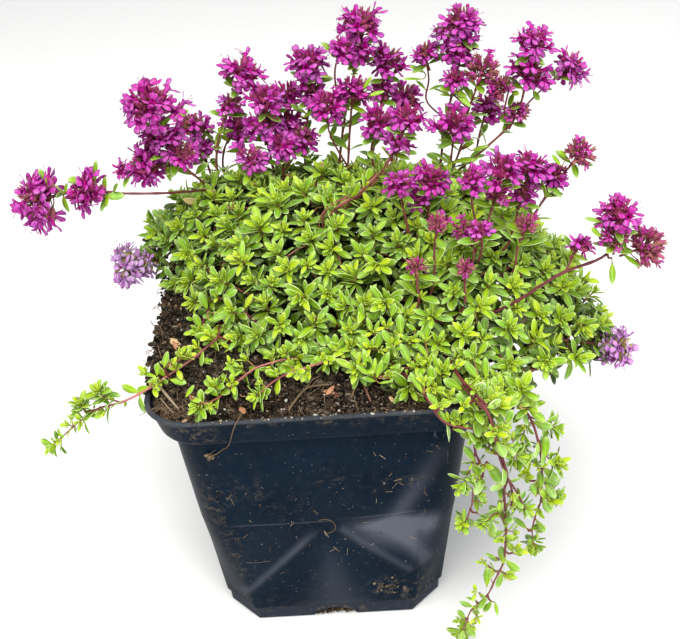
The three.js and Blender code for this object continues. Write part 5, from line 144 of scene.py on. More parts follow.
    "leafy_branch_10": [[25,22,119,0.07,0.15,0.99,28,28.5,114.4,0],[31.5,38.5,110.6,0.16,0.54,0.82,29.4,36.5,106.8,0],[28.2,28.9,115.6,0.1,0.29,0.95,27,30.2,110.4,0],[38.8,44.1,104.1,0.19,0.72,0.67,38.5,43.2,103.3,0],[28.5,49.6,100.9,0.2,0.78,0.6,28.2,48.7,100.2,0],[13.4,30.1,116.3,0,0.27,0.96,13.4,29.8,115.1,0],[29.3,45.7,105.4,0.19,0.7,0.68,26.4,43.7,100.7,0],[33.8,49.3,99.8,0.21,0.79,0.57,28.2,48.7,100.2,0],[37.6,33.1,113,0.25,0.39,0.88,31.3,37.8,109.6,0],[18.7,23.2,117.9,0.07,0.14,0.99,13.4,29.8,115.1,0],[24.2,33.7,114.6,0.12,0.38,0.92,27,30.2,110.4,0],[43.1,41.2,105.6,0.47,0.52,0.72,38.5,43.2,103.3,0],[32.7,23,116.9,0.16,0.16,0.97,28,28.5,114.4,0],[6.3,28.6,117,0,0.24,0.97,13.4,29.8,115.1,0],[26,38.4,112,0.15,0.51,0.85,29.4,36.5,106.8,0],[35.7,40.8,108.3,0.17,0.63,0.76,33.9,40,102.3,0],[24.6,43.4,108.7,0.17,0.63,0.76,25.2,38.6,101.4,0],[20.1,29.5,116.5,0.09,0.26,0.96,16.8,30.7,110.6,0],[23.4,47.3,105.4,0.19,0.71,0.68,26.4,43.7,100.7,0],[13.5,24.4,117.8,0,0.16,0.99,13.4,29.8,115.1,0],[17.9,35,114.9,0.06,0.38,0.92,16.8,30.7,110.6,0],[36.1,27.5,115.2,0.26,0.21,0.94,27,30.2,110.4,0],[31.4,33.1,113.9,0.13,0.41,0.9,27,30.2,110.4,0],[22.5,51.8,100.3,0.21,0.79,0.58,28.2,48.7,100.2,0],[17.2,34.4,110.8,0.04,0.37,0.93,20.4,31.9,106.3,1],[20.3,24.3,113.3,0.07,0.17,0.98,16.8,30.7,110.6,1],[30.4,37.3,107.6,0.15,0.51,0.85,27.2,35,104.4,1],[23.8,31,111.3,0.1,0.31,0.94,25.9,31.8,106.4,1],[25.9,40.8,106.2,0.16,0.57,0.81,25.2,38.6,101.4,1],[10.7,32.8,111.4,0,0.34,0.94,16.8,30.7,110.6,1],[33.5,22.7,112.4,0.2,0.13,0.97,27,30.2,110.4,1],[6.3,28.4,112.7,0,0.24,0.97,16.8,30.7,110.6,1],[26,47.1,100.6,0.19,0.72,0.67,26.4,43.7,100.7,1],[32.5,44.4,101.6,0.19,0.69,0.7,26.4,43.7,100.7,1],[32.9,30.3,110.6,0.11,0.35,0.93,25.9,31.8,106.4,1],[36.2,37.1,106.7,0.15,0.54,0.83,33.9,40,102.3,1],[20.3,51.1,97.8,0.13,0.78,0.62,28.2,48.7,100.2,1],[20.3,43.9,105,0.15,0.61,0.77,25.2,38.6,101.4,1],[14,25.9,113.3,0,0.19,0.98,16.8,30.7,110.6,1],[20.7,38.5,108.5,0.14,0.48,0.87,20.4,31.9,106.3,1],[26.6,25.1,112.7,0.08,0.21,0.97,27,30.2,110.4,1],[32.2,48.8,96.7,0.2,0.78,0.6,28.2,48.7,100.2,1],[17.2,34.4,105.8,0.04,0.37,0.93,22.7,30.9,100.3,2],[20.3,24.3,108.3,0.07,0.17,0.98,22.7,30.9,100.3,2],[28.5,19.5,108.5,0.06,0.12,0.99,22.7,30.9,100.3,2],[30.4,37.3,102.6,0.15,0.51,0.85,29.2,36.7,102.1,2],[23.8,31,106.3,0.1,0.31,0.94,22.7,30.9,100.3,2],[21.7,43.2,100.3,0.17,0.6,0.78,26.4,43.7,100.7,2],[28.4,46.9,95.1,0.19,0.72,0.66,28.2,48.7,100.2,2],[28.7,25.8,107.3,0.09,0.23,0.97,22.7,30.9,100.3,2],[34.6,30.7,105.2,0.12,0.37,0.92,29.2,36.7,102.1,2],[23,37.2,103.8,0.14,0.46,0.88,25.2,38.6,101.4,2],[13.7,26.8,108.1,0,0.21,0.98,20.4,31.9,106.3,2]],
    "leafy_branch_11": [[22.7,-10.3,114.7,-0.17,-0.36,0.92,21.6,-10.3,111,0],[47.2,-14.3,112.1,0.16,-0.46,0.87,42.1,-14.8,105.3,0],[26.3,-13.6,113.4,-0.01,-0.45,0.89,25.5,-9.2,108.1,0],[53.4,-5.1,113.6,0.5,-0.04,0.87,53,-4.7,110.7,0],[47.8,-7.2,115.5,0.12,-0.38,0.92,46.7,-5.3,108,0],[38.5,-13.4,113.6,0.05,-0.44,0.9,37,-8.2,109.4,0],[34.7,-17,111.8,-0.01,-0.5,0.87,35.7,-8,106.3,0],[39.7,-20.9,109.4,0.08,-0.57,0.82,43.3,-20.5,105.5,0],[36.6,0.5,118.6,0.1,-0.14,0.98,37.1,2.3,115.5,0],[42.4,-4.5,117,0.09,-0.32,0.94,38.1,-8.1,112.6,0],[16.5,-5.5,115.7,-0.13,-0.38,0.92,21.6,-10.3,111,0],[51.1,-0.4,115.1,0.45,-0.04,0.89,53,-4.7,110.7,0],[28.3,-5.4,116.9,-0.01,-0.34,0.94,25.5,-9.2,108.1,0],[16.9,-14.9,111.4,-0.25,-0.45,0.86,25.5,-9.2,108.1,0],[44.6,-22.5,107.9,0.12,-0.61,0.79,43.3,-20.5,105.5,0],[58.2,-7.2,110.5,0.56,-0.03,0.83,53,-4.7,110.7,0],[31.3,-10.1,115.2,-0.01,-0.39,0.92,37,-8.2,109.4,0],[37.7,8.9,118.6,0.18,0.01,0.98,37.1,2.3,115.5,0],[30.5,1.2,118.9,-0.01,-0.27,0.96,37.1,2.3,115.5,0],[35.7,-5.3,115.3,0.01,-0.33,0.94,35.9,-1,111.6,0],[34,1.1,112.9,0.04,-0.19,0.98,35.9,-1,111.6,1],[46.9,-14,106.3,0.16,-0.46,0.88,42.1,-14.8,105.3,1],[41,-8.6,109.5,0.07,-0.37,0.93,40.4,-6.1,105.6,1],[42.4,1.3,111.8,0.19,-0.01,0.98,40.4,-6.1,105.6,1],[45.8,-4.5,110.5,0.1,-0.27,0.96,46.7,-5.3,108,1],[26.1,-7.8,110,-0.06,-0.36,0.93,29.6,-8.2,105.5,1],[35.4,-10.4,109,0,-0.39,0.92,35.7,-8,106.3,1],[30,-16.7,105.8,-0.02,-0.49,0.87,34,-7.2,103.5,1],[35.7,-4.7,111.2,0.01,-0.32,0.95,34.8,-4.2,107.7,1],[52.3,-6.1,108.4,0.45,-0.16,0.88,46.7,-5.3,108,1],[37.6,8.8,112.7,0.18,0.01,0.98,35.9,-1,111.6,1],[25,-13.1,107.6,-0.04,-0.44,0.9,29.6,-8.2,105.5,1],[20.8,-4.9,110.2,-0.14,-0.33,0.93,25.5,-9.2,108.1,1],[40.1,-14.7,106.8,0.06,-0.46,0.89,39.1,-9.9,104.7,1],[49.3,0.8,110.2,0.34,-0.01,0.94,46.7,-5.3,108,1],[29.9,-3.1,111.6,-0.01,-0.31,0.95,34.8,-4.2,107.7,1],[34,1.1,107.9,0.04,-0.19,0.98,32,-5.6,100.6,2],[41,-8.6,104.5,0.07,-0.37,0.93,39.1,-9.9,104.7,2],[42.4,1.3,106.8,0.19,-0.01,0.98,40.4,-6.1,105.6,2],[26.1,-7.8,105,-0.06,-0.36,0.93,32,-5.6,100.6,2],[33.2,-13,102.8,-0.01,-0.43,0.9,30.6,-5.8,97,2],[32.9,-6.8,105.4,-0.01,-0.35,0.94,32,-5.6,100.6,2]],
    "leafy_branch_12": [[42.8,13.3,117.3,0.26,0.07,0.96,44.2,20.6,112.6,0],[39.3,21.4,116.8,0.26,0.17,0.95,44.2,20.6,112.6,0],[46.2,31.6,109.1,0.45,0.4,0.8,45.5,30,104.9,0],[54.8,24.1,107,0.62,0.31,0.72,51,24.4,103.2,0],[50.6,39.6,100.2,0.62,0.54,0.57,49.8,39,99.5,0],[58.9,32.8,96.9,0.65,0.53,0.55,58.1,32.1,96.2,0],[44.5,20.9,113.7,0.3,0.22,0.93,44.2,22.5,107.9,0],[43,46.1,100.7,0.25,0.77,0.59,47.6,35.2,98.7,0],[50.6,26.3,109.5,0.52,0.36,0.77,51,24.4,103.2,0],[51.2,31.9,105.9,0.59,0.44,0.68,45.1,28.7,101.8,0],[63,28.9,95.3,0.78,0.35,0.52,58.1,32.1,96.2,0],[55.9,29.6,103,0.62,0.46,0.64,53.4,30.4,96.6,0],[41.9,27.5,113.1,0.35,0.28,0.89,44.2,22.5,107.9,0],[48.2,36.9,104.9,0.53,0.5,0.68,47.6,35.2,98.7,0],[54.8,35.2,99.7,0.65,0.51,0.57,53.4,30.4,96.6,0],[42.6,36.3,109,0.47,0.42,0.78,45.5,30,104.9,0],[49.8,20.7,112.1,0.45,0.25,0.86,44.2,22.5,107.9,0],[60.1,28,99.8,0.71,0.38,0.59,58.1,32.1,96.2,0],[53.4,18.5,105.7,0.61,0.17,0.78,51,24.4,103.2,1],[45.9,26.4,107.5,0.38,0.32,0.87,44.2,24.6,103.3,1],[45.5,35.2,103.6,0.48,0.45,0.75,45.8,31.3,98.5,1],[58.4,33.6,92.6,0.65,0.53,0.54,58.1,32.1,96.2,1],[43.1,42.1,100.6,0.44,0.56,0.7,47.6,35.2,98.7,1],[41.3,31.3,107.8,0.39,0.33,0.86,45.5,30,104.9,1],[45.8,19.7,109.6,0.3,0.22,0.93,44.2,22.5,107.9,1],[39.1,15,112.1,0.2,0.1,0.97,44.2,22.5,107.9,1],[56.9,27.9,99,0.61,0.45,0.65,53.4,30.4,96.6,1],[40.4,24.3,110.3,0.3,0.22,0.93,44.2,22.5,107.9,1],[50.2,29.5,103.9,0.53,0.4,0.74,47.8,25.5,100.8,1],[51.8,35.9,98,0.63,0.49,0.6,53.4,30.4,96.6,1],[41,46.6,96.4,0.2,0.78,0.6,47.6,35.2,98.7,1],[47.7,42.2,96.6,0.57,0.56,0.6,47.6,35.2,98.7,1],[54.2,24.1,103.5,0.6,0.32,0.73,47.8,25.5,100.8,1],[62.5,29.8,91.1,0.75,0.41,0.53,58.1,32.1,96.2,1],[45.9,26.4,102.5,0.38,0.32,0.87,44.4,27.1,98.9,2],[45.5,35.2,98.6,0.48,0.45,0.75,45.8,31.3,98.5,2],[43.1,42.1,95.6,0.44,0.56,0.7,37,23.5,91.2,2],[41.3,31.3,102.8,0.39,0.33,0.86,44.4,27.1,98.9,2],[45.8,19.7,104.6,0.3,0.22,0.93,47.8,25.5,100.8,2],[58.2,27.7,92.8,0.65,0.42,0.63,53.4,30.4,96.6,2],[35.9,43.8,96.2,0.19,0.7,0.69,37,23.5,91.2,2],[55,34.3,90.9,0.64,0.5,0.58,53.4,30.4,96.6,2],[49.6,39.6,92.2,0.6,0.54,0.6,37,23.5,91.2,2],[38.1,24,106,0.28,0.19,0.94,44.2,24.6,103.3,2],[38,37.5,101,0.16,0.56,0.81,45.8,31.3,98.5,2],[39.8,17.6,106.7,0.23,0.13,0.96,44.2,24.6,103.3,2],[51.1,29.1,98.4,0.56,0.4,0.72,48.9,28.8,97.5,2]],
    "leafy_branch_13": [[37.2,-32,100.2,0.03,-0.76,0.64,42,-30,97.1,0],[41.8,-26.7,104.5,0.1,-0.68,0.73,42,-30,97.1,0],[50.9,-21.4,106.5,0.34,-0.57,0.74,49.1,-20.9,94.6,0],[57,-28.9,96,0.42,-0.71,0.57,54.6,-26.6,89.1,0],[54.4,-14.9,109.3,0.35,-0.5,0.79,60.5,-14.7,98.4,0],[49,-30.4,99.8,0.29,-0.71,0.64,45.6,-25.5,95.8,0],[63.8,-23.8,97.4,0.4,-0.69,0.61,60.8,-21.8,90.7,0],[67.9,-28.2,88.2,0.41,-0.76,0.5,65.4,-24.4,90.8,0],[58.1,-24.8,99.7,0.41,-0.66,0.63,53.2,-23.4,94.8,0],[51.2,-25.6,102.8,0.37,-0.64,0.68,52.9,-26.5,96.9,0],[69.5,-23.2,94.1,0.4,-0.71,0.57,65.4,-24.4,90.8,0],[65,-16.9,102.8,0.4,-0.56,0.73,60.5,-14.7,98.4,0],[38.8,-35.9,95.1,0.09,-0.82,0.57,42,-30,97.1,0],[58.5,-32.2,90.1,0.43,-0.75,0.5,55.6,-32.1,87.8,0],[48.9,-36,92.7,0.21,-0.83,0.52,55.6,-32.1,87.8,0],[60.8,-14.6,106.9,0.36,-0.54,0.76,63.9,-13.9,101.6,0],[42.2,-30.9,97.8,0.11,-0.75,0.65,42,-30,97.1,0],[63.1,-8.1,105.5,0.63,-0.06,0.78,63.9,-13.9,101.6,0],[61.9,-27.2,92.1,0.41,-0.72,0.56,60.8,-21.8,90.7,0],[67.9,-7.4,101.2,0.71,-0.01,0.71,60.5,-14.7,98.4,0],[39.3,-38,89,0.1,-0.85,0.52,55.6,-32.1,87.8,0],[57,-19.2,103.3,0.38,-0.58,0.73,56.8,-15.4,95.6,0],[60.7,-12.4,102.1,0.46,-0.39,0.8,60.5,-14.7,98.4,1],[54.6,-11.8,105,0.34,-0.46,0.82,60.5,-14.7,98.4,1],[40.7,-25.6,99.3,0.09,-0.65,0.75,45.6,-25.5,95.8,1],[57.6,-21.8,96.5,0.39,-0.62,0.68,56.5,-19.1,91.6,1],[69.8,-19.5,91.5,0.59,-0.48,0.65,65.4,-24.4,90.8,1],[32.6,-33.5,91.2,-0.03,-0.79,0.61,55.6,-32.1,87.8,1],[53.5,-29.2,91.4,0.41,-0.69,0.59,54.6,-26.6,89.1,1],[51.1,-34.2,86.8,0.4,-0.75,0.53,55.6,-32.1,87.8,1],[60.6,-28.2,87.4,0.42,-0.72,0.55,55.6,-32.1,87.8,1],[45.8,-30.7,93.4,0.11,-0.76,0.64,54.6,-26.6,89.1,1],[48.8,-21.1,101.4,0.25,-0.57,0.78,49.1,-20.9,94.6,1],[54.9,-17.6,101.2,0.37,-0.54,0.76,56.8,-15.4,95.6,1],[33.4,-29.4,96.1,-0.03,-0.72,0.69,41.8,-14.4,92.6,1],[66.8,-24.5,87.7,0.4,-0.72,0.57,65.4,-24.4,90.8,1],[65.4,-17.9,95.7,0.38,-0.62,0.69,60.8,-21.8,90.7,1],[39.6,-31.9,93.1,0.11,-0.76,0.64,54.6,-26.6,89.1,1],[61.5,-23.5,92.4,0.39,-0.67,0.63,60.8,-21.8,90.7,1],[42.5,-19.5,103.8,0.07,-0.55,0.83,41.8,-14.4,92.6,1],[50.6,-26.4,96.3,0.36,-0.65,0.67,49.1,-20.9,94.6,1],[36.9,-36,88.1,0.01,-0.83,0.56,55.6,-32.1,87.8,1],[42.7,-36,86.9,0.13,-0.83,0.55,55.6,-32.1,87.8,1],[60.7,-12.4,97.1,0.46,-0.39,0.8,56.8,-15.4,95.6,2],[54.6,-11.8,100,0.34,-0.46,0.82,56.8,-15.4,95.6,2],[46.9,-14,101.3,0.16,-0.46,0.88,47.1,-15.5,93.2,2],[40.7,-25.6,94.3,0.09,-0.65,0.75,41.8,-14.4,92.6,2],[57.6,-21.8,91.5,0.39,-0.62,0.68,56.5,-19.1,91.6,2],[36.1,-19.1,99.5,0.01,-0.53,0.85,41.8,-14.4,92.6,2],[53.5,-29.2,86.4,0.41,-0.69,0.59,55.6,-32.1,87.8,2],[33.5,-24.2,95.8,-0.02,-0.63,0.78,37,-12.3,91,2],[51.1,-34.2,81.8,0.4,-0.75,0.53,55.6,-32.1,87.8,2],[48.8,-21.1,96.4,0.25,-0.57,0.78,49.1,-20.9,94.6,2],[54.9,-17.6,96.2,0.37,-0.54,0.76,52.5,-16.3,93.6,2],[33.4,-29.4,91.1,-0.03,-0.72,0.69,37,-12.3,91,2],[39.6,-31.9,88.1,0.11,-0.76,0.64,55.6,-32.1,87.8,2],[42.5,-19.5,98.8,0.07,-0.55,0.83,41.8,-14.4,92.6,2],[63,-17.1,92.6,0.37,-0.59,0.72,60.8,-21.8,90.7,2],[48,-26.6,92.2,0.23,-0.66,0.72,54.6,-26.6,89.1,2],[62.9,-22.4,87.7,0.39,-0.67,0.64,60.8,-21.8,90.7,2]],
    "leafy_branch_14": [[62.8,13.6,102.9,0.68,0.25,0.69,58,12.5,100.2,0],[61.5,1.5,106.3,0.64,0.02,0.77,57.4,4.4,102.7,0],[51.1,8.9,112.9,0.47,0.09,0.88,50,9.6,107.6,0],[64.6,22.7,96.6,0.76,0.33,0.56,63.7,22.3,95.9,0],[53.1,16.6,110.7,0.59,0.16,0.79,50,9.6,107.6,0],[45.5,6.3,115.3,0.25,0.03,0.97,50.5,8.8,111.8,0],[56.3,5.4,110.4,0.54,0.1,0.83,57.4,4.4,102.7,0],[59,22.6,103.7,0.7,0.27,0.66,59.3,17.7,95.7,0],[58.2,15,107,0.64,0.2,0.74,58,12.5,100.2,0],[60.4,8.8,106.7,0.62,0.18,0.76,57.4,4.4,102.7,0],[64.2,18.1,99.8,0.73,0.29,0.62,59.3,17.7,95.7,0],[68.3,21.9,92.1,0.78,0.36,0.51,63.7,22.3,95.9,0],[54.4,2.8,107.5,0.53,0.02,0.85,57.4,4.4,102.7,1],[51.4,12.9,108.2,0.52,0.12,0.84,49.8,10.1,103.2,1],[58,19.4,101.6,0.67,0.23,0.71,59.3,17.7,95.7,1],[63,12.7,99,0.68,0.24,0.69,59.3,17.7,95.7,1],[43.9,9.3,111.3,0.25,0.03,0.97,50,9.6,107.6,1],[58.5,6.1,104.4,0.58,0.12,0.81,57.4,4.4,102.7,1],[65,24.5,91,0.77,0.34,0.54,63.7,22.3,95.9,1],[56.4,12.5,104.8,0.6,0.17,0.79,53.9,11.5,99,1],[50.3,6.7,109.5,0.42,0.07,0.91,50,9.6,107.6,1],[61.6,21.7,96.9,0.72,0.29,0.63,59.3,17.7,95.7,1],[54.4,2.8,102.5,0.53,0.02,0.85,53.7,7.4,100.5,2],[53.4,18.5,100.7,0.61,0.17,0.78,54.6,13.7,96.7,2],[47.9,13.5,104.8,0.34,0.09,0.93,49.6,10.2,98.9,2],[33.3,13,108.3,0.15,0.04,0.99,40.8,9,94.9,2],[42.1,8.8,106.8,0.23,0.02,0.97,45,9.6,97.4,2],[55.2,12,100.7,0.58,0.15,0.8,53.9,11.5,99,2],[61.5,20.5,92.5,0.72,0.28,0.64,59.3,17.7,95.7,2],[51,8,104,0.46,0.09,0.88,49.6,10.2,98.9,2],[64.4,24.6,86.8,0.77,0.34,0.55,63.7,22.3,95.9,2],[55.3,24.2,97.5,0.64,0.3,0.71,59.3,17.7,95.7,2],[58.4,16.9,96.9,0.66,0.22,0.72,59.3,17.7,95.7,2],[36,7.2,108,0.16,-0.01,0.99,40.8,9,94.9,2]],
    "leafy_branch_15": [[74.4,-19.4,91.5,0.82,-0.19,0.55,76.7,-11.3,86.8,0],[68.9,-1,100.9,0.75,0.06,0.66,68.5,-0.4,90.5,0],[74.8,-1,91.7,0.83,0.1,0.56,73.8,-1.1,91,0],[77.7,-11.5,87.4,0.84,-0.19,0.51,76.7,-11.3,86.8,0],[72.3,10.5,93.3,0.81,0.2,0.55,71.3,10.2,92.6,0],[71,4.6,96.4,0.79,0.09,0.6,67.1,6.4,91.5,0],[69.3,-13.3,98.4,0.73,-0.19,0.66,70.3,-7.6,87.5,0],[68.3,17.1,95.1,0.76,0.33,0.56,71.3,10.2,92.6,0],[74.4,-7.9,93.7,0.8,-0.03,0.6,70.3,-7.6,87.5,0],[66.7,6.2,101.4,0.74,0.06,0.67,67.1,6.4,91.5,0],[75.2,5.3,89.9,0.85,0.12,0.52,68.5,-0.4,90.5,0],[68.1,11.6,98.3,0.73,0.29,0.62,71.3,10.2,92.6,0],[78.8,-4.8,86.3,0.86,0.12,0.5,76.7,-11.3,86.8,0],[77.3,-20.7,84.8,0.85,-0.19,0.49,76.7,-11.3,86.8,0],[74.4,-16.3,86.7,0.81,-0.19,0.56,76.7,-11.3,86.8,1],[69.4,-12.9,94.1,0.73,-0.19,0.66,70.3,-7.6,87.5,1],[69.9,-5.5,94.6,0.74,0.06,0.66,64,-4.1,89,1],[67.6,2.8,96.4,0.74,0.06,0.67,62.6,2.8,91.2,1],[66.5,18.3,92.6,0.75,0.32,0.58,67.1,6.4,91.5,1],[70.3,12.8,90.7,0.75,0.32,0.57,67.1,6.4,91.5,1],[73.7,-22.3,85.6,0.66,-0.48,0.57,76.7,-11.3,86.8,1],[66.3,-2.6,98.1,0.7,0.04,0.71,63.2,-0.3,90.6,1],[73.9,0.8,88.6,0.82,0.1,0.56,70.3,-7.6,87.5,1],[71.8,6.4,90.7,0.81,0.1,0.58,67.1,6.4,91.5,1],[59.5,-4,104,0.59,0,0.81,57.8,-0.6,91.3,1],[77.9,-13.9,82.1,0.84,-0.19,0.5,76.7,-11.3,86.8,1],[77.9,-8.4,84.2,0.85,-0.07,0.53,76.7,-11.3,86.8,1],[63.3,4.1,100.6,0.68,0.03,0.73,62.6,2.8,91.2,1],[74,-10.4,89.3,0.79,-0.19,0.58,70.3,-7.6,87.5,1],[66.1,-10,98.2,0.67,-0.16,0.72,64,-4.1,89,1],[67.5,9,95.8,0.73,0.18,0.66,67.1,6.4,91.5,1],[74.7,8.2,85.9,0.85,0.12,0.51,67.1,6.4,91.5,1],[77,-1.7,84.3,0.85,0.12,0.52,70.3,-7.6,87.5,1],[74.4,-16.3,81.7,0.81,-0.19,0.56,76.7,-11.3,86.8,2],[69.4,-12.9,89.1,0.73,-0.19,0.66,70.3,-7.6,87.5,2],[69.9,-5.5,89.6,0.74,0.06,0.66,70.3,-7.6,87.5,2],[69.8,-19.5,86.5,0.59,-0.48,0.65,76.7,-11.3,86.8,2],[67.6,2.8,91.4,0.74,0.06,0.67,63.2,-0.3,90.6,2],[66.5,18.3,87.6,0.75,0.32,0.58,67.1,6.4,91.5,2],[63,12.7,94,0.68,0.24,0.69,67.1,6.4,91.5,2],[70.3,12.8,85.7,0.75,0.32,0.57,67.1,6.4,91.5,2],[73.9,0.8,83.6,0.82,0.1,0.56,70.3,-7.6,87.5,2],[63.4,-6.1,95.9,0.64,0.02,0.77,64,-4.1,89,2],[48.6,-5.1,105,0.21,-0.23,0.95,50.9,-0.6,91.5,2],[71.2,6.1,86.5,0.8,0.09,0.59,68.5,-0.4,90.5,2],[61.5,3.3,97.2,0.65,0.02,0.76,62.6,2.8,91.2,2],[77.9,-8.4,79.2,0.85,-0.07,0.53,76.7,-11.3,86.8,2],[58.1,-4.3,99.9,0.57,-0.01,0.82,57.8,-0.6,91.3,2],[74,-10.4,84.3,0.79,-0.19,0.58,70.3,-7.6,87.5,2]],
    "trailing_stem_rim": [],
    "trailing_stem_long": [[43.9,-48.9,90,0.12,-0.23,0.96,41.4,-53.2,88.4,0],[38.5,-49.1,90,-0.06,-0.35,0.94,39.8,-51.1,91.7,0],[41.5,-47.1,90,0.09,-0.25,0.96,39.8,-51.1,91.7,0],[42,-48.6,78.5,-0.08,-0.26,0.96,43.6,-52.4,78.6,0]],
    "trailing_stem_middle": [[37.8,-42.7,90,-0.11,-0.37,0.92,40,-44,88.2,0],[40.1,-44.5,90,0.01,-0.39,0.92,39.9,-45.4,87.4,0],[43,-44.4,90,0.15,-0.38,0.91,39.9,-45.4,87.4,0],[46.1,-42,88.9,0.29,-0.33,0.9,40,-44,88.2,0],[45.1,-38.4,90,0.23,-0.36,0.91,40.3,-39.9,90.8,0],[39.2,-39.6,90,-0.05,-0.36,0.93,40.2,-41.3,89.9,0],[39.2,-48.6,80.6,0.02,-0.46,0.89,38.8,-47.7,79.7,0]],
    "trailing_stem_outer": [[50.8,-42,89.5,0.06,-0.56,0.83,49.4,-38.3,84,0],[52.3,-42.1,84,0.04,-0.54,0.84,51.5,-38.9,81.4,0],[48.2,-42.1,86.2,-0.05,-0.56,0.83,49.4,-38.3,84,0]],
}
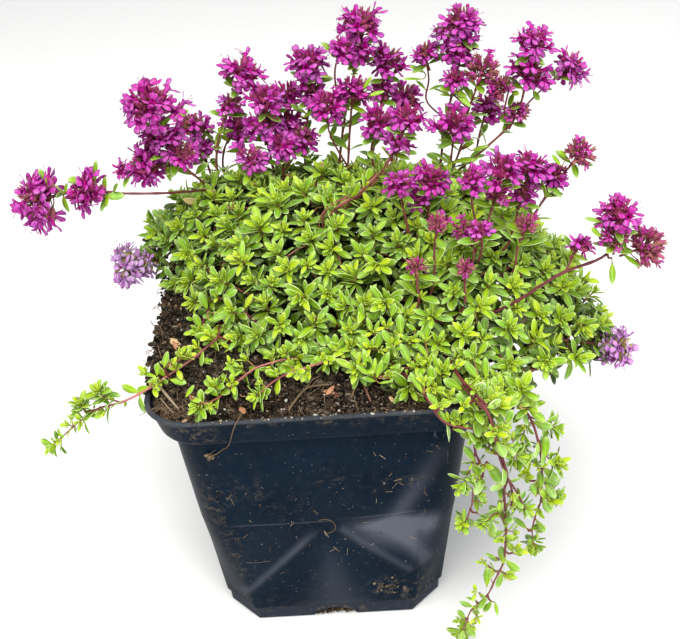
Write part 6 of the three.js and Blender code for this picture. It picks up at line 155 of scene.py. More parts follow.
# single leaves and small shoots: start, centre, leaves (base, tip, normal, width, age), tufts (point, size, age)
LEAVES = {
    "trailing_stem_rim": [[[21.2,-32.5,90.5],[24,-31.7,92.3],[[24,-32.4,92.8,21.8,-30.9,97.1,-0.06,-0.49,0.87,2.4,0.35]],[[23.5,-32.4,93.1,0.5,0.2]]],[[22.8,-36.2,90.8],[25.9,-34.4,91],[[25.8,-35.1,91.3,23,-34.4,93.3,-0.05,-0.59,0.8,1.3,0.7],[26,-35.1,91.5,26.2,-33.8,94.4,-0.07,-0.65,0.76,1.3,0.7],[26.5,-35.1,91.5,27.8,-34.1,93.8,-0.05,-0.66,0.75,1.3,0.7],[26.2,-35.1,91,27.8,-36.4,92.1,-0.22,-0.61,0.77,1.3,0.8],[25.6,-35.1,91.1,23.9,-36.2,92,-0.29,-0.59,0.75,1.2,0.4]],[[25.9,-34.8,92.1,0.75,0.35]]],[[26.2,-42.5,90.4],[28.4,-41.6,91.5],[[28.4,-42,91.9,28.4,-40.2,96.9,-0.03,-0.58,0.81,2.1,0.3],[26.6,-43.1,90.7,23.2,-41.1,95.6,-0.21,-0.49,0.85,1.5,0.35],[28.7,-42.6,91.5,31.6,-43.9,92.5,0,-0.71,0.7,1.3,0.6],[26.4,-42.6,91.4,25.6,-41.1,94.4,-0.08,-0.59,0.8,1.1,0.6],[29.1,-42.7,91.3,31.4,-44.7,91.6,-0.12,-0.75,0.65,1,0.7]],[[28.7,-42.8,91.6,0.75,0.4],[26.5,-41.9,92.4,0.6,0.35]]],[[29,-47.3,88.5],[32.6,-46.6,91.5],[[32.3,-47.3,92,30.7,-47.5,93.8,-0.04,-0.58,0.81,0.9,0.8],[32.5,-47,92.1,33.1,-47,94.2,-0.25,-0.37,0.89,0.8,0.8],[32.3,-47.4,91.6,34,-48.1,92,-0.06,-0.64,0.77,0.9,0.7],[32.1,-47.4,91.9,30.5,-48.7,92.2,0.06,-0.56,0.83,0.8,0.8]],[[32.3,-47.3,92.3,0.6,0.5]]],[[29,-47.3,88.5],[29.4,-49.6,91.5],[[29.5,-50.3,92,26.6,-48.7,95,-0.03,-0.64,0.77,1.6,0.3],[29.8,-50.3,92,28.4,-50.5,93.2,0,-0.59,0.8,1,0.7],[30,-49.9,91.9,30.8,-49.6,93.9,0.04,-0.49,0.87,1,0.6]],[[29.6,-50.4,92.1,0.62,0.4]]],[[32.3,-49.7,86.2],[32.2,-48.5,85],[[31.7,-48.7,85.5,28.1,-46.8,89.7,-0.05,-0.54,0.84,1.3,0.45],[32.3,-49.1,85.2,29.8,-47.8,88.8,0.01,-0.41,0.91,1.2,0.5],[32.9,-49.2,85.5,33.5,-47.6,88.8,0.05,-0.56,0.83,1.9,0.35],[32.1,-48.9,85.5,31.4,-48.1,88.6,-0.09,-0.51,0.86,1,0.7]],[[33,-48.7,86.4,0.65,0.4]]],[[35.1,-50.3,85.3],[35,-48.7,84.7],[[34.8,-49,85,34.1,-47.5,88.2,-0.1,-0.62,0.78,1.4,0.4],[35.4,-49.1,85,36.2,-48.4,88.3,0,-0.68,0.74,1.4,0.5],[35,-49.4,85,36.4,-50.6,85.6,-0.11,-0.57,0.82,1,0.6]],[[34.5,-49.3,85.5,0.65,0.45]]],[[38,-50.3,84.5],[38.2,-49.4,84.2],[[38,-49.8,84.8,36.7,-48.4,88.4,0.04,-0.57,0.82,1.8,0.4],[38.8,-49.8,85.3,38,-47.3,89.3,0,-0.57,0.82,2.6,0.3],[39.4,-49.7,84.7,40.3,-48.4,88.2,0.17,-0.63,0.76,1.6,0.5],[39.1,-50.1,84.4,42,-49.7,86.5,-0.18,-0.58,0.8,1.2,0.7],[38.7,-50.4,84.2,41.6,-51.3,85.3,-0.03,-0.58,0.81,1.4,0.4]],[[39,-49.1,86.3,0.8,0.45]]],[[33.2,-49.9,85.9],[32.8,-50,84.2],[[32.8,-50.3,84.7,35.4,-52.2,85.1,-0.06,-0.69,0.72,0.9,0.3]],[]],[[40.9,-50.1,83.8],[42.8,-47.4,84.6],[[42.8,-48,85.1,42.1,-46.5,88.4,0.06,-0.55,0.84,2.1,0.2],[42.2,-48.2,84.6,40.4,-48,85.8,-0.26,-0.5,0.82,1.2,0.3]],[[44.6,-46.6,87.5,0.6,0.4]]],[[26.7,-43.4,90.3],[26.2,-44.2,91.5],[[26,-44.6,91.8,23.1,-42.7,97,-0.15,-0.63,0.76,1.6,0.35],[26.5,-43.8,93.1,25.6,-42.8,96.5,-0.04,-0.56,0.83,1.3,0.55],[27.1,-44.1,93.1,27.9,-43.2,95.8,-0.17,-0.54,0.83,1.2,0.5]],[[26.5,-43.4,94.2,0.6,0.45]]]],
    "trailing_stem_long": [[[31.4,-29.1,92.8],[28.3,-31,92.6],[[28.3,-31.4,93,25.4,-30,96.6,-0.12,-0.44,0.89,1.5,0.4],[28.6,-31.5,93.2,28.8,-30.7,95.7,-0.17,-0.42,0.89,1.3,0.3],[29.7,-31.4,93.5,29.2,-30.7,95.9,-0.18,-0.64,0.74,1.8,0.25]],[]],[[33.8,-36.4,93.7],[31.3,-37.3,91.5],[[31.2,-38,91.7,29.3,-35.4,96.9,-0.27,-0.58,0.77,1.6,0.4],[31.7,-37.6,91.9,33.2,-36.6,96.5,0.03,-0.67,0.75,1.6,0.55],[31.2,-38,92,29.8,-37.5,94.3,0.01,-0.31,0.95,1.3,0.8],[31.8,-37.9,92.1,33.6,-37.2,94.9,-0.11,-0.51,0.85,1.3,0.7],[31.2,-38.2,91.6,33.2,-39,92.8,-0.06,-0.54,0.84,1,0.6]],[[31.5,-37.4,93.1,0.85,0.35]]],[[36.4,-43.8,93],[36,-43.6,91.5],[[36,-44,91.8,31.2,-43.3,94.8,-0.04,-0.62,0.78,2.6,0.25]],[]],[[38.5,-49,93.4],[35.2,-50.2,91.5],[[35.4,-50.4,91.9,33.8,-50,95.3,-0.28,-0.57,0.77,1.5,0.3],[35.4,-50.3,92.1,34.5,-48.9,95.4,0.01,-0.53,0.85,1.2,0.4],[35.1,-50.8,92,36.6,-51.5,92.4,0.13,-0.46,0.88,1,0.6]],[[35.3,-50.9,92.3,0.62,0.4]]],[[42.1,-53.4,85.6],[42.8,-54,85.8],[[43.3,-54.8,85.7,44.3,-53.8,88.9,-0.12,-0.52,0.85,2.3,0.3],[42.1,-54.6,86.1,41.1,-56.6,84.8,0.05,-0.7,0.71,1.2,0.35],[41.8,-54.4,86.5,41.4,-53.8,88.6,0,-0.56,0.83,1.2,0.6]],[[42.5,-54.8,86.3,0.75,0.5]]],[[41.8,-53.3,86.7],[45.4,-53.9,88.7],[[45.1,-54.6,89,46.6,-53.3,92.1,-0.14,-0.54,0.83,2.5,0.05]],[]],[[44.3,-52.1,75.9],[45.1,-52.7,77.2],[[45,-53.3,77.7,43.5,-51.1,80.6,-0.22,-0.48,0.85,1.8,0.3],[46,-53.5,77.3,48.4,-52.8,80.3,-0.08,-0.49,0.87,1.7,0.3]],[[45.6,-51.4,80.4,0.6,0.4]]],[[44.3,-52.1,75.9],[44.5,-52.7,77.1],[[44.6,-53.4,77.6,43.4,-51.7,80.9,-0.09,-0.62,0.78,1.9,0.25],[45.3,-53.1,78,45.8,-54.8,78.5,-0.12,-0.55,0.82,1,0.5]],[[45.3,-51.9,79.8,0.6,0.5],[43.4,-49.8,81.9,0.85,0.5]]],[[48.7,-49.9,74.6],[48.2,-50.5,74.7],[[47.7,-51.2,75,48,-50.5,77.8,-0.19,-0.49,0.85,1.4,0.3],[47.4,-51.7,74.4,46.2,-51.1,75.9,-0.08,-0.59,0.8,1.3,0.3],[48.4,-48.6,77.9,49.8,-50.4,78,-0.24,-0.62,0.75,1.1,0.2]],[[48,-48.4,78.6,0.6,0.4]]],[[49.1,-49.7,74],[49.2,-50.3,70.6],[[49.6,-50.6,71.4,53,-49.9,74.9,-0.02,-0.46,0.89,2,0.3],[48.7,-50.7,71,48,-49.3,73.3,-0.14,-0.55,0.82,1.4,0.3],[49.2,-50.7,71.5,49.9,-49.8,73.9,-0.04,-0.54,0.84,1.1,0.6]],[[49.5,-50.7,71.7,0.55,0.5]]],[[46.7,-49.9,49.7],[46.7,-50.5,50.3],[[46.5,-51,50.9,47.2,-48.1,54.9,-0.04,-0.35,0.93,2.5,0.15]],[]],[[46.8,-49.8,46.4],[47,-50.4,46.7],[[46.7,-51.1,46.7,49.3,-51.9,48.5,-0.25,-0.46,0.85,1.6,0.3],[44.6,-51.1,46.3,43.4,-51.2,48.5,-0.12,-0.28,0.95,1.2,0.1]],[[48.6,-51.1,47.8,0.5,0.4]]],[[46.7,-50.2,42.1],[48.9,-50.8,41.7],[[48.9,-51.2,42.1,47,-49.3,45,-0.05,-0.52,0.85,1.4,0.35],[49.4,-51.3,42.1,51.3,-52,44.2,-0.05,-0.58,0.81,1.4,0.6],[49.6,-51.5,41.7,51.1,-52.7,42.9,-0.16,-0.59,0.79,1.1,0.6]],[[49.4,-51.1,42.9,0.85,0.55]]],[[46,-50.8,60.7],[44.7,-51.4,61.3],[[44.7,-51.9,61.7,45.2,-50.1,64.7,-0.18,-0.7,0.69,1.6,0.25],[44.1,-53.8,59.7,44.5,-52.8,62,-0.01,-0.53,0.84,1.1,0.6]],[]],[[50.7,-49.5,57.3],[50.2,-50.1,56.5],[[48.6,-49.1,58,50.7,-52.1,57.4,-0.1,-0.5,0.86,1.3,0.5],[49.4,-49.6,57.8,50.5,-50.5,59.4,0.02,-0.62,0.78,0.9,0.4]],[]],[[46.3,-50.8,37.8],[46.4,-51.4,38.2],[[46.3,-52,38.7,45.9,-49,42.5,-0.09,-0.43,0.9,2.3,0.1]],[]],[[46.5,-50.5,39.9],[44.2,-51.1,40.7],[[44.2,-51.8,41.3,41.3,-51.5,42.9,0,-0.43,0.9,0.8,0.3]],[]],[[45.4,-50.4,34.5],[42.2,-51,37.7],[[41.4,-55.5,34.2,42,-52.2,38.4,-0.21,-0.51,0.83,2.1,0.15],[42.3,-51.7,37.9,40.4,-51.5,40,-0.06,-0.55,0.83,0.8,0.5]],[[40.8,-51.1,38.8,0.5,0.5]]],[[45.7,-50.6,35.6],[45.8,-51.2,35.6],[[46.1,-52,35.8,44.1,-55.5,33.9,0.1,-0.42,0.9,1.8,0.1],[46.6,-52.1,35.6,49,-52.8,36.9,-0.15,-0.49,0.86,0.9,0.7],[46.7,-52.5,35.3,48.6,-54.5,36.1,-0.09,-0.56,0.82,0.9,0.7]],[[47.5,-52.9,35.6,0.55,0.6]]],[[41.9,-50,24.1],[40.2,-50.6,26.9],[[40.1,-51.3,27.4,41.5,-53.1,27.6,-0.16,-0.46,0.87,0.8,0.3]],[[39.1,-51.1,27.7,0.5,0.5]]],[[40.3,-50.4,22.6],[39.3,-51,24.3],[[39.4,-51.6,24.9,36.4,-51.3,26.3,0.01,-0.49,0.87,0.8,0.05]],[]],[[42.6,-49.9,24.9],[43.5,-50.5,23.2],[[43.6,-50.9,23.7,41.2,-53.4,22.3,-0.38,-0.36,0.85,2,0.12],[44.4,-51.1,23.8,44.7,-55,22.6,0.06,-0.29,0.96,1.1,0.5]],[]],[[39.5,-50.6,21.8],[39.5,-51.2,21.2],[[39.8,-51.6,21.7,38.4,-51.5,22.8,-0.14,-0.47,0.87,0.8,0.4],[39.6,-51.9,21.8,39.6,-53.8,21.8,-0.03,-0.41,0.91,0.8,0.4]],[[39.5,-51.6,22.2,0.5,0.4],[39.3,-53.5,20.5,0.6,0.6]]],[[37.2,-50.8,17.1],[36.4,-51.4,18.3],[[36.3,-52,18.8,34.2,-51.5,21.2,-0.09,-0.52,0.85,1.9,0.05]],[]],[[35.7,-48.4,9],[35.7,-49,9.7],[[36.4,-48.9,10.6,34.8,-50.3,11.3,-0.13,-0.39,0.91,0.9,0.2],[36,-49.3,10.6,35.3,-50.9,9.6,0.13,-0.39,0.91,0.9,0.5],[37.3,-48.8,11,38.5,-49.1,11.9,-0.08,-0.49,0.87,0.8,0]],[[35.6,-49.6,10.4,0.4,0.4]]]],
    "trailing_stem_middle": [[[40.3,-39.9,90.8],[40.5,-39.9,91.5],[[40.4,-40.6,92,36.7,-38,96.2,-0.09,-0.63,0.77,2.1,0.3],[39.5,-37.3,96,36.8,-36.3,98,-0.09,-0.41,0.91,2.2,0.3],[42,-40.6,91.9,41.8,-38.8,97.3,-0.3,-0.49,0.82,2.1,0.35],[40.8,-40.7,91.5,36.7,-41.3,91.8,0.04,-0.65,0.76,1.2,0.4],[42.3,-40.8,91.5,44.6,-42.1,92.6,0,-0.55,0.84,0.9,0.6],[41.2,-41.1,91.5,41.3,-42.1,91,0.07,-0.51,0.86,1.3,0.9]],[[41.4,-41.1,91.8,0.85,0.5]]],[[39.6,-34.5,91.2],[37.4,-35.1,91.5],[[37.4,-35.4,91.7,34.3,-34.9,93.5,-0.16,-0.51,0.85,1.9,0.35],[37.3,-35.7,91.7,35.5,-36.3,92,-0.06,-0.62,0.78,1.3,0.2]],[]],[[38.2,-48.1,72.4],[38.5,-48.7,72.9],[[38.4,-49.1,73.1,35.9,-47.9,76.9,-0.2,-0.41,0.89,2,0.2]],[]],[[39.7,-48.2,71.7],[38.8,-48.8,72],[[38.8,-49.2,72.3,35.9,-47.1,76.1,0,-0.41,0.91,2,0.25]],[]],[[40,-48.5,66.6],[39.8,-49.1,67.2],[[40,-49.3,67.9,38.1,-48.3,70.6,-0.28,-0.52,0.81,1.8,0.4],[38.5,-49.8,67.4,36,-50,68,-0.01,-0.51,0.86,1.1,0.6],[40.5,-49.6,67.3,40.6,-51.3,66.7,-0.19,-0.42,0.89,1.1,0.1]],[[39.1,-49.5,68.1,0.6,0.4]]],[[40.1,-48.3,70.6],[41.6,-48.9,72.4],[[41.7,-49.6,72.7,44.4,-54.5,70,-0.14,-0.7,0.7,3,0.1]],[]],[[37.7,-47.3,55.1],[39.5,-47.9,54.1],[[39.5,-48.3,54.6,39.2,-46.3,58.9,-0.04,-0.42,0.9,1.4,0.35],[40.1,-48.7,54,42.2,-50.7,54.9,0.08,-0.66,0.74,1.4,0.25]],[]],[[36.4,-47.7,50.9],[35.8,-48.3,51.2],[[35.9,-48.6,51.8,36.2,-47.1,55.2,0.01,-0.39,0.92,1.2,0.45],[35.5,-49,51.7,33.7,-47.9,53,-0.17,-0.46,0.87,1.2,0.7],[35.7,-49.1,51.2,33.5,-50.2,51,0.24,-0.52,0.82,1.1,0.7],[36.1,-49.1,51.1,36.5,-51.7,50.3,-0.13,-0.34,0.93,1.4,0.45]],[[35.3,-49.1,51.7,0.55,0.6]]]],
    "leafy_branch_13": [[[43.2,-28.5,96.6],[40.6,-34.4,94.9],[[40.5,-34.9,95.3,43.2,-34.3,99,-0.04,-0.45,0.89,1.8,0.5]],[]]],
    "trailing_stem_outer": [[[48.2,-34.1,89.2],[49.2,-34.7,89.8],[[49.2,-35.1,90,48,-33,93.9,-0.05,-0.51,0.86,2,0.25],[49.9,-35.4,90.6,51.3,-34.1,93.7,-0.13,-0.7,0.7,1.9,0.25],[46.7,-32.7,93.5,44.5,-31.6,95.8,-0.15,-0.63,0.76,1.7,0.2],[46.5,-32.8,93.1,44,-34.1,93.5,0.14,-0.46,0.88,1.5,0.3]],[[49.3,-35.6,90.3,0.6,0.3]]],[[49,-36.9,85.8],[49.7,-37.5,86.9],[[49.8,-38.6,86.7,49.5,-37.3,90.2,-0.04,-0.63,0.78,1.7,0.3],[48.8,-37.9,87.3,46.4,-36.8,89.3,-0.17,-0.61,0.77,1.5,0.4]],[[49.9,-38.8,86.9,0.7,0.5]]],[[57.5,-40.7,58],[52.8,-41.3,59],[[52.7,-41.7,59.6,55.1,-42.6,60.8,-0.19,-0.58,0.79,1.4,0.8],[52.3,-41.6,59.9,50.9,-41.6,60.8,-0.16,-0.5,0.85,1.3,0.7],[52.9,-41.7,59.9,54,-41.5,61.7,-0.24,-0.44,0.87,1.2,0.8],[52.7,-42,59.3,53.7,-43.4,59.4,-0.01,-0.64,0.77,1.2,0.6]],[[52.7,-41.5,60.3,0.85,0.55]]],[[56.9,-42.1,65.7],[57.2,-42.7,66.9],[[57.3,-43.4,67.5,57.9,-40.7,72.7,-0.02,-0.59,0.81,2.5,0.25]],[]],[[57.2,-41.3,62.4],[56,-41.9,63.3],[[56.2,-42.1,63.8,54.5,-42.4,65,-0.06,-0.61,0.79,1.1,0.5],[55.7,-42,64,55.2,-41.7,66.6,0.02,-0.31,0.95,1.1,0.4]],[[55.9,-42.5,64.2,0.6,0.4]]],[[61,-42,64.2],[60.2,-42.6,63.4],[[60.1,-43,64,59.9,-42.3,66.8,-0.1,-0.54,0.84,1.3,0.5],[60.8,-42.8,64,62.9,-43.7,66.2,-0.05,-0.59,0.81,1.3,0.6],[60.7,-43.4,63.8,61,-45.1,64.3,0.09,-0.46,0.88,1.3,0.5]],[[60.7,-42.8,64.9,0.85,0.5]]],[[57.4,-41.1,55.7],[57.4,-41.7,55.8],[[57.3,-42.1,56,56.9,-40.3,60.7,0,-0.52,0.85,2.1,0.15],[55.7,-43.4,54.4,54.6,-41.9,57.6,-0.01,-0.47,0.88,1.9,0.3]],[]],[[57.3,-41.4,51.3],[58.7,-42,51.3],[[60.2,-41.8,53.1,63.1,-43.1,54.1,-0.19,-0.43,0.88,0.9,0],[59,-42.7,51.9,60,-44.8,50.7,-0.08,-0.52,0.85,1.3,0.5],[59.1,-42.5,51.9,61.2,-43.8,52.4,-0.28,-0.58,0.76,1.3,0.6]],[[59.3,-42.6,52.3,0.95,0.5]]],[[55.8,-39.8,38.9],[54.4,-40.4,39.9],[[54.3,-40.9,40.4,50.7,-38.6,42.7,-0.01,-0.47,0.88,1.7,0.2],[55.1,-41.1,40.4,58.5,-41.3,42.1,-0.21,-0.51,0.83,1.9,0.05]],[]],[[56.6,-39.6,33.2],[55.8,-40.2,34],[[56.5,-41.3,34.3,58.5,-43.6,34.4,-0.21,-0.49,0.85,1.5,0.05],[55.9,-40.5,34.9,57.2,-40,36.9,0,-0.49,0.87,1.2,0.2]],[[55.1,-41.3,34.2,0.65,0.5]]]],
    "leafy_branch_08": [[[11.8,-30.7,91.1],[14.7,-35.8,90.9],[[14.2,-36.4,91.5,12,-33.5,98.3,-0.14,-0.49,0.86,2.4,0.3],[13.8,-36.2,91.7,9.9,-36,95.2,0.12,-0.41,0.9,1.6,0.35],[14.6,-35.8,91.7,14.8,-35.2,96.3,-0.05,-0.69,0.72,1.3,0.75],[15.4,-35.9,91.5,18.5,-33.8,97.3,-0.21,-0.55,0.81,2.3,0.3],[17.6,-36,91.5,20.9,-35.9,94.8,-0.08,-0.62,0.78,1.9,0.3],[18.9,-36.6,90.9,21.8,-36.3,94,0.02,-0.51,0.86,1.1,0.35],[15.3,-37.2,90.1,19,-38,91.3,0.03,-0.59,0.81,0.7,0.4],[14.8,-37,90.6,11.5,-37.8,92.7,0.02,-0.48,0.88,1.4,0.1],[14.9,-36.6,91.2,16.5,-35.6,96.1,-0.01,-0.62,0.78,1.6,0.4],[18.4,-36.8,91.1,18.3,-37.4,93.9,0,-0.51,0.86,1.1,0.8]],[[18.3,-36.3,92.1,0.6,0.4]]],[[11.8,-30.7,91.1],[14.1,-31.1,96.5],[[13.5,-31.7,96.8,10.9,-31.5,100.6,-0.09,-0.53,0.84,1.6,0.3],[15.3,-31.9,96.7,16.7,-30.8,101.5,0.08,-0.49,0.87,2.3,0.12],[13.9,-31.6,96.9,12.1,-30.5,100.9,0.16,-0.63,0.76,1.4,0.4],[14.2,-31.8,97,14.4,-31.3,99.6,-0.16,-0.46,0.87,1.2,0.4],[13.1,-31.9,96.2,10.6,-32.4,99.3,0.1,-0.51,0.85,1.1,0.5]],[[13.9,-31.7,97.4,0.8,0.4],[16.3,-32.2,96.8,0.5,0.4]]],[[19.8,-28.6,97.2],[19.6,-31.7,97.6],[[19.2,-32.4,97.9,17.3,-30.9,102.2,0.06,-0.46,0.88,2,0.3],[19.9,-32.3,98,21,-32.6,101.3,-0.05,-0.43,0.9,1.4,0.35],[19.3,-32.6,97.1,17.8,-33.4,99.7,0.11,-0.49,0.86,1,0.4],[19.9,-32.8,97.3,21.4,-34.6,98.7,-0.1,-0.67,0.73,1,0.4]],[[19.6,-32.5,98.3,0.7,0.5]]],[[19.8,-28.6,97.2],[21.9,-30.4,99.8],[[21.8,-30.9,100.1,21.7,-29.1,105.2,0.02,-0.67,0.74,2.3,0.25]],[]],[[11.8,-30.7,91.1],[23.7,-34.6,93.9],[[23.7,-35.1,94.2,21.4,-33.2,99.3,0,-0.56,0.83,2.2,0.25]],[]],[[19.8,-28.6,97.2],[23.9,-31.4,98.4],[[23.7,-32.2,98.7,21.8,-32.6,101.4,0.11,-0.53,0.84,1.1,0.4],[24.1,-31.9,98.5,25.9,-32.5,101.5,0.11,-0.7,0.71,1.1,0.4],[24.2,-32.3,98.3,25.4,-34.8,98.7,-0.05,-0.59,0.81,1.1,0.3],[25.7,-30.7,101,23.3,-31.2,103.6,0,-0.67,0.75,1.3,0.2]],[[23.8,-32.2,99,0.7,0.5]]],[[11.8,-30.7,91.1],[28.2,-34.1,95],[[28.2,-34.7,95.4,25.3,-33.2,99.3,-0.14,-0.56,0.81,1.5,0.35],[27.7,-31.9,98.9,28.9,-31,102.9,-0.02,-0.56,0.83,1.6,0.3],[27.6,-32.1,99.3,26,-31.8,101.7,0.01,-0.67,0.75,1.2,0.4]],[[27.7,-32.7,98.8,0.6,0.35]]],[[11.8,-30.7,91.1],[25.4,-35.3,93.2],[[25.2,-35.8,93.6,22.5,-37,95.3,0.05,-0.5,0.86,1.1,0.75],[25.6,-36,93.7,25.8,-35.6,96.7,-0.16,-0.58,0.8,1.1,0.7],[25.9,-35.7,93.5,27.5,-36.4,95.7,-0.08,-0.5,0.86,1.1,0.7],[25.6,-36.1,93.3,27.1,-38.1,93.7,-0.18,-0.64,0.75,1.1,0.8],[25.4,-36.1,93.1,25,-38.4,92.9,0.05,-0.56,0.83,1.1,0.6]],[[25.4,-35.9,94.1,0.9,0.5]]],[[11.8,-30.7,91.1],[4.9,-27.6,93.7],[[4.6,-28.1,94.3,2.7,-27,98.7,0.18,-0.76,0.62,1.7,0.35],[4.8,-27.8,94.4,5.1,-26.5,98.6,-0.02,-0.64,0.77,2,0.35],[5.3,-27.9,94.3,7.6,-27.3,98.3,0.04,-0.69,0.72,1.7,0.3],[5.8,-28.1,94,9.1,-28.1,96.9,0,-0.51,0.86,1.7,0.4],[5.7,-28.2,93.9,9,-30,94.1,0.15,-0.69,0.71,1.7,0.25],[4.4,-28.4,93.9,0.9,-29.2,96.3,0.01,-0.81,0.59,1.6,0.1],[4.2,-28.7,93.5,0.7,-30.7,93.8,-0.03,-0.72,0.7,1.4,0.35]],[[5,-28.1,94.7,0.7,0.45]]],[[11.3,-25,94.2],[8.8,-26,98.5],[[8.6,-26.6,99.2,6.6,-26.3,102.5,0.19,-0.59,0.78,1.2,0.4],[9,-26.5,99.3,9.1,-25.6,103.1,0.18,-0.61,0.77,1.1,0.45],[9.4,-26.5,99.1,11.1,-26.1,102.1,-0.26,-0.57,0.78,1,0.4],[8.4,-26.8,98.9,5.9,-27.2,100.2,-0.36,-0.43,0.83,0.9,0.35],[9.4,-26.5,98.6,11.1,-28.3,100.4,-0.08,-0.62,0.78,0.9,0.4],[8.6,-26.5,98.5,6.6,-28,99.1,0.02,-0.55,0.84,0.9,0.3]],[[8.8,-26.5,99.5,0.75,0.4]]],[[17.7,-26.3,96.9],[14.8,-28.5,99.4],[[14.6,-28.9,99.7,13.4,-28.5,104.3,-0.12,-0.7,0.7,1.5,0.4],[15.1,-28.9,99.7,16.3,-29.1,103.5,0.03,-0.67,0.75,1.1,0.5],[13.6,-28.8,99.8,10.8,-29.9,101.5,0.09,-0.61,0.79,1,0.3],[15.3,-29.3,99.7,16.6,-30.2,101.1,-0.05,-0.61,0.79,1.1,0.5]],[[14.9,-29.1,100.2,0.7,0.45]]],[[18.8,-27.5,97.1],[18.3,-28.7,101],[[18.1,-29.1,101.2,16.7,-28.9,105,-0.07,-0.45,0.89,1.3,0.4],[18.4,-29.3,101.4,19.5,-28.9,104.3,-0.09,-0.7,0.71,1.1,0.35],[18.5,-29.2,101.5,19.9,-30.5,103.7,0.1,-0.56,0.82,0.8,0.6],[19.5,-27.9,103.7,20.6,-27.4,107.5,0,-0.32,0.95,1.8,0.3]],[[18.2,-29.3,101.9,0.65,0.4]]],[[11.6,-23.6,98.6],[11.8,-24.8,101.2],[[11.8,-25.2,101.5,12,-24.9,106.3,-0.28,-0.56,0.78,2,0.3],[15.6,-25.4,101.4,13.4,-25.5,103.8,0.1,-0.37,0.92,1.7,0.2]],[]],[[5.6,-20,96.7],[5.7,-23.5,99.6],[[5.8,-23.9,99.8,3.4,-23.8,103.3,0.07,-0.63,0.78,1.5,0.2]],[]],[[28.6,-26.3,100.2],[28.9,-27.5,102.9],[[29,-28.2,103.3,24.2,-29.5,104.8,-0.17,-0.36,0.92,1.3,0.3],[29.1,-28.5,102.4,26.5,-29.5,103.8,0.35,-0.67,0.65,0.9,0.3]],[]]],
    "leafy_branch_02": [[[-29.9,-1.2,96],[-28.8,-10.8,97.6],[[-28.8,-11,98.2,-29.9,-10.6,103.3,0.28,-0.54,0.8,2.5,0.2],[-26.9,-11.7,97.3,-22.4,-12,99.7,0.01,-0.56,0.83,2.7,0.2],[-28.9,-12.7,96.1,-25.5,-13.8,96.9,0.23,-0.58,0.78,2,0.25]],[]],[[-29.9,-1.2,96],[-30.9,-13.1,92.9],[[-30.8,-13.1,93.6,-32.4,-12.4,97.9,0.13,-0.81,0.58,2,0.35],[-31.1,-13.5,93,-33.6,-15.3,94.6,0.11,-0.66,0.75,1.5,0.5],[-29.7,-13.6,92.7,-27.3,-15.1,92.7,0.24,-0.61,0.75,1.5,0.3],[-32.5,-12.2,95.9,-34,-13.9,97.8,0.11,-0.72,0.68,1.2,0.3]],[[-30.8,-13.9,93.4,0.6,0.4]]],[[-29.9,-1.2,96],[-24.6,-10.4,101],[[-24.4,-11,101.6,-20.5,-11.1,104.1,0.08,-0.56,0.83,2.7,0.2],[-25.7,-10.8,101.9,-27.2,-11.8,104.9,0.08,-0.75,0.66,1.9,0.2]],[[-25.7,-11,102.3,0.6,0.3]]]],
    "leafy_branch_04": [[[-14.9,-17.6,96.3],[-26.7,-16.3,92.5],[[-26.2,-16.4,93.4,-24.2,-16.7,96.2,0.05,-0.48,0.88,1,0.4],[-26.9,-16.9,92.8,-30.1,-19.3,92.6,0.15,-0.5,0.85,1.5,0.25],[-26.1,-17.1,92.5,-24.7,-19.5,91.8,0.15,-0.44,0.89,1.5,0.3],[-26.2,-16.6,93,-23.9,-19.2,93,0.18,-0.53,0.83,1,0.4],[-27.3,-16.7,93.1,-29.1,-18.5,94.5,-0.01,-0.56,0.83,1.2,0.2]],[[-26.5,-17,93.2,0.6,0.3]]],[[-14.9,-17.6,96.3],[-20.6,-19.3,94.1],[[-20.6,-19.8,94.3,-24.1,-21.3,96.3,0.09,-0.61,0.79,1.5,1]],[]],[[-14.5,-16.6,96.4],[-18.8,-15.1,100],[[-18.4,-15.5,100.8,-16,-15.2,104.9,0.04,-0.67,0.74,1.7,1],[-16,-14.4,102.3,-13.8,-15,103.1,-0.01,-0.46,0.89,1.4,1]],[]]],
    "runner_left_long": [[[-26,-18.4,94.5],[-19.4,-18.9,92.6],[[-19.3,-19.6,93,-18.6,-18.3,95.7,-0.15,-0.5,0.85,1.7,0.35],[-18.7,-20.1,91.5,-15.1,-20.8,91.9,0.01,-0.54,0.84,1.9,0.3],[-18.3,-18.8,93.5,-15.3,-19.7,93.2,0.14,-0.69,0.71,1,0.3]],[[-22.8,-20.8,92.2,0.6,0.3]]],[[-31.5,-22.1,91.3],[-30.9,-22.6,90.5],[[-31,-23.2,90.8,-27.2,-23.9,90.1,0.05,-0.49,0.87,2.2,0.45]],[]],[[-38.9,-27.6,89],[-38.8,-28.1,88.8],[[-38.5,-28.9,88.9,-34,-30.1,88.2,0.12,-0.56,0.82,2.2,0.4]],[]],[[-38.9,-27.6,89],[-39.5,-28.1,92.3],[[-39.4,-28.9,92.6,-38.3,-26.6,96.3,0.02,-0.55,0.83,1.7,0.3]],[[-35.6,-26.8,94.8,0.7,0.35],[-33.6,-26.6,94.5,0.7,0.3],[-37.3,-28.2,93.3,0.5,0.4]]],[[-40.4,-29.2,88.9],[-41.2,-29.7,90.7],[[-41.3,-30.2,91.1,-40.6,-29.4,94.7,0.21,-0.58,0.78,1.4,0.4],[-41.3,-30.2,90.9,-45.2,-31,93.6,0.03,-0.39,0.92,1.4,0.5],[-40.7,-30.2,90.7,-43.6,-32.1,90.9,-0.09,-0.59,0.8,1.2,0.4]],[[-43.7,-30.2,92.4,0.7,0.4]]]],
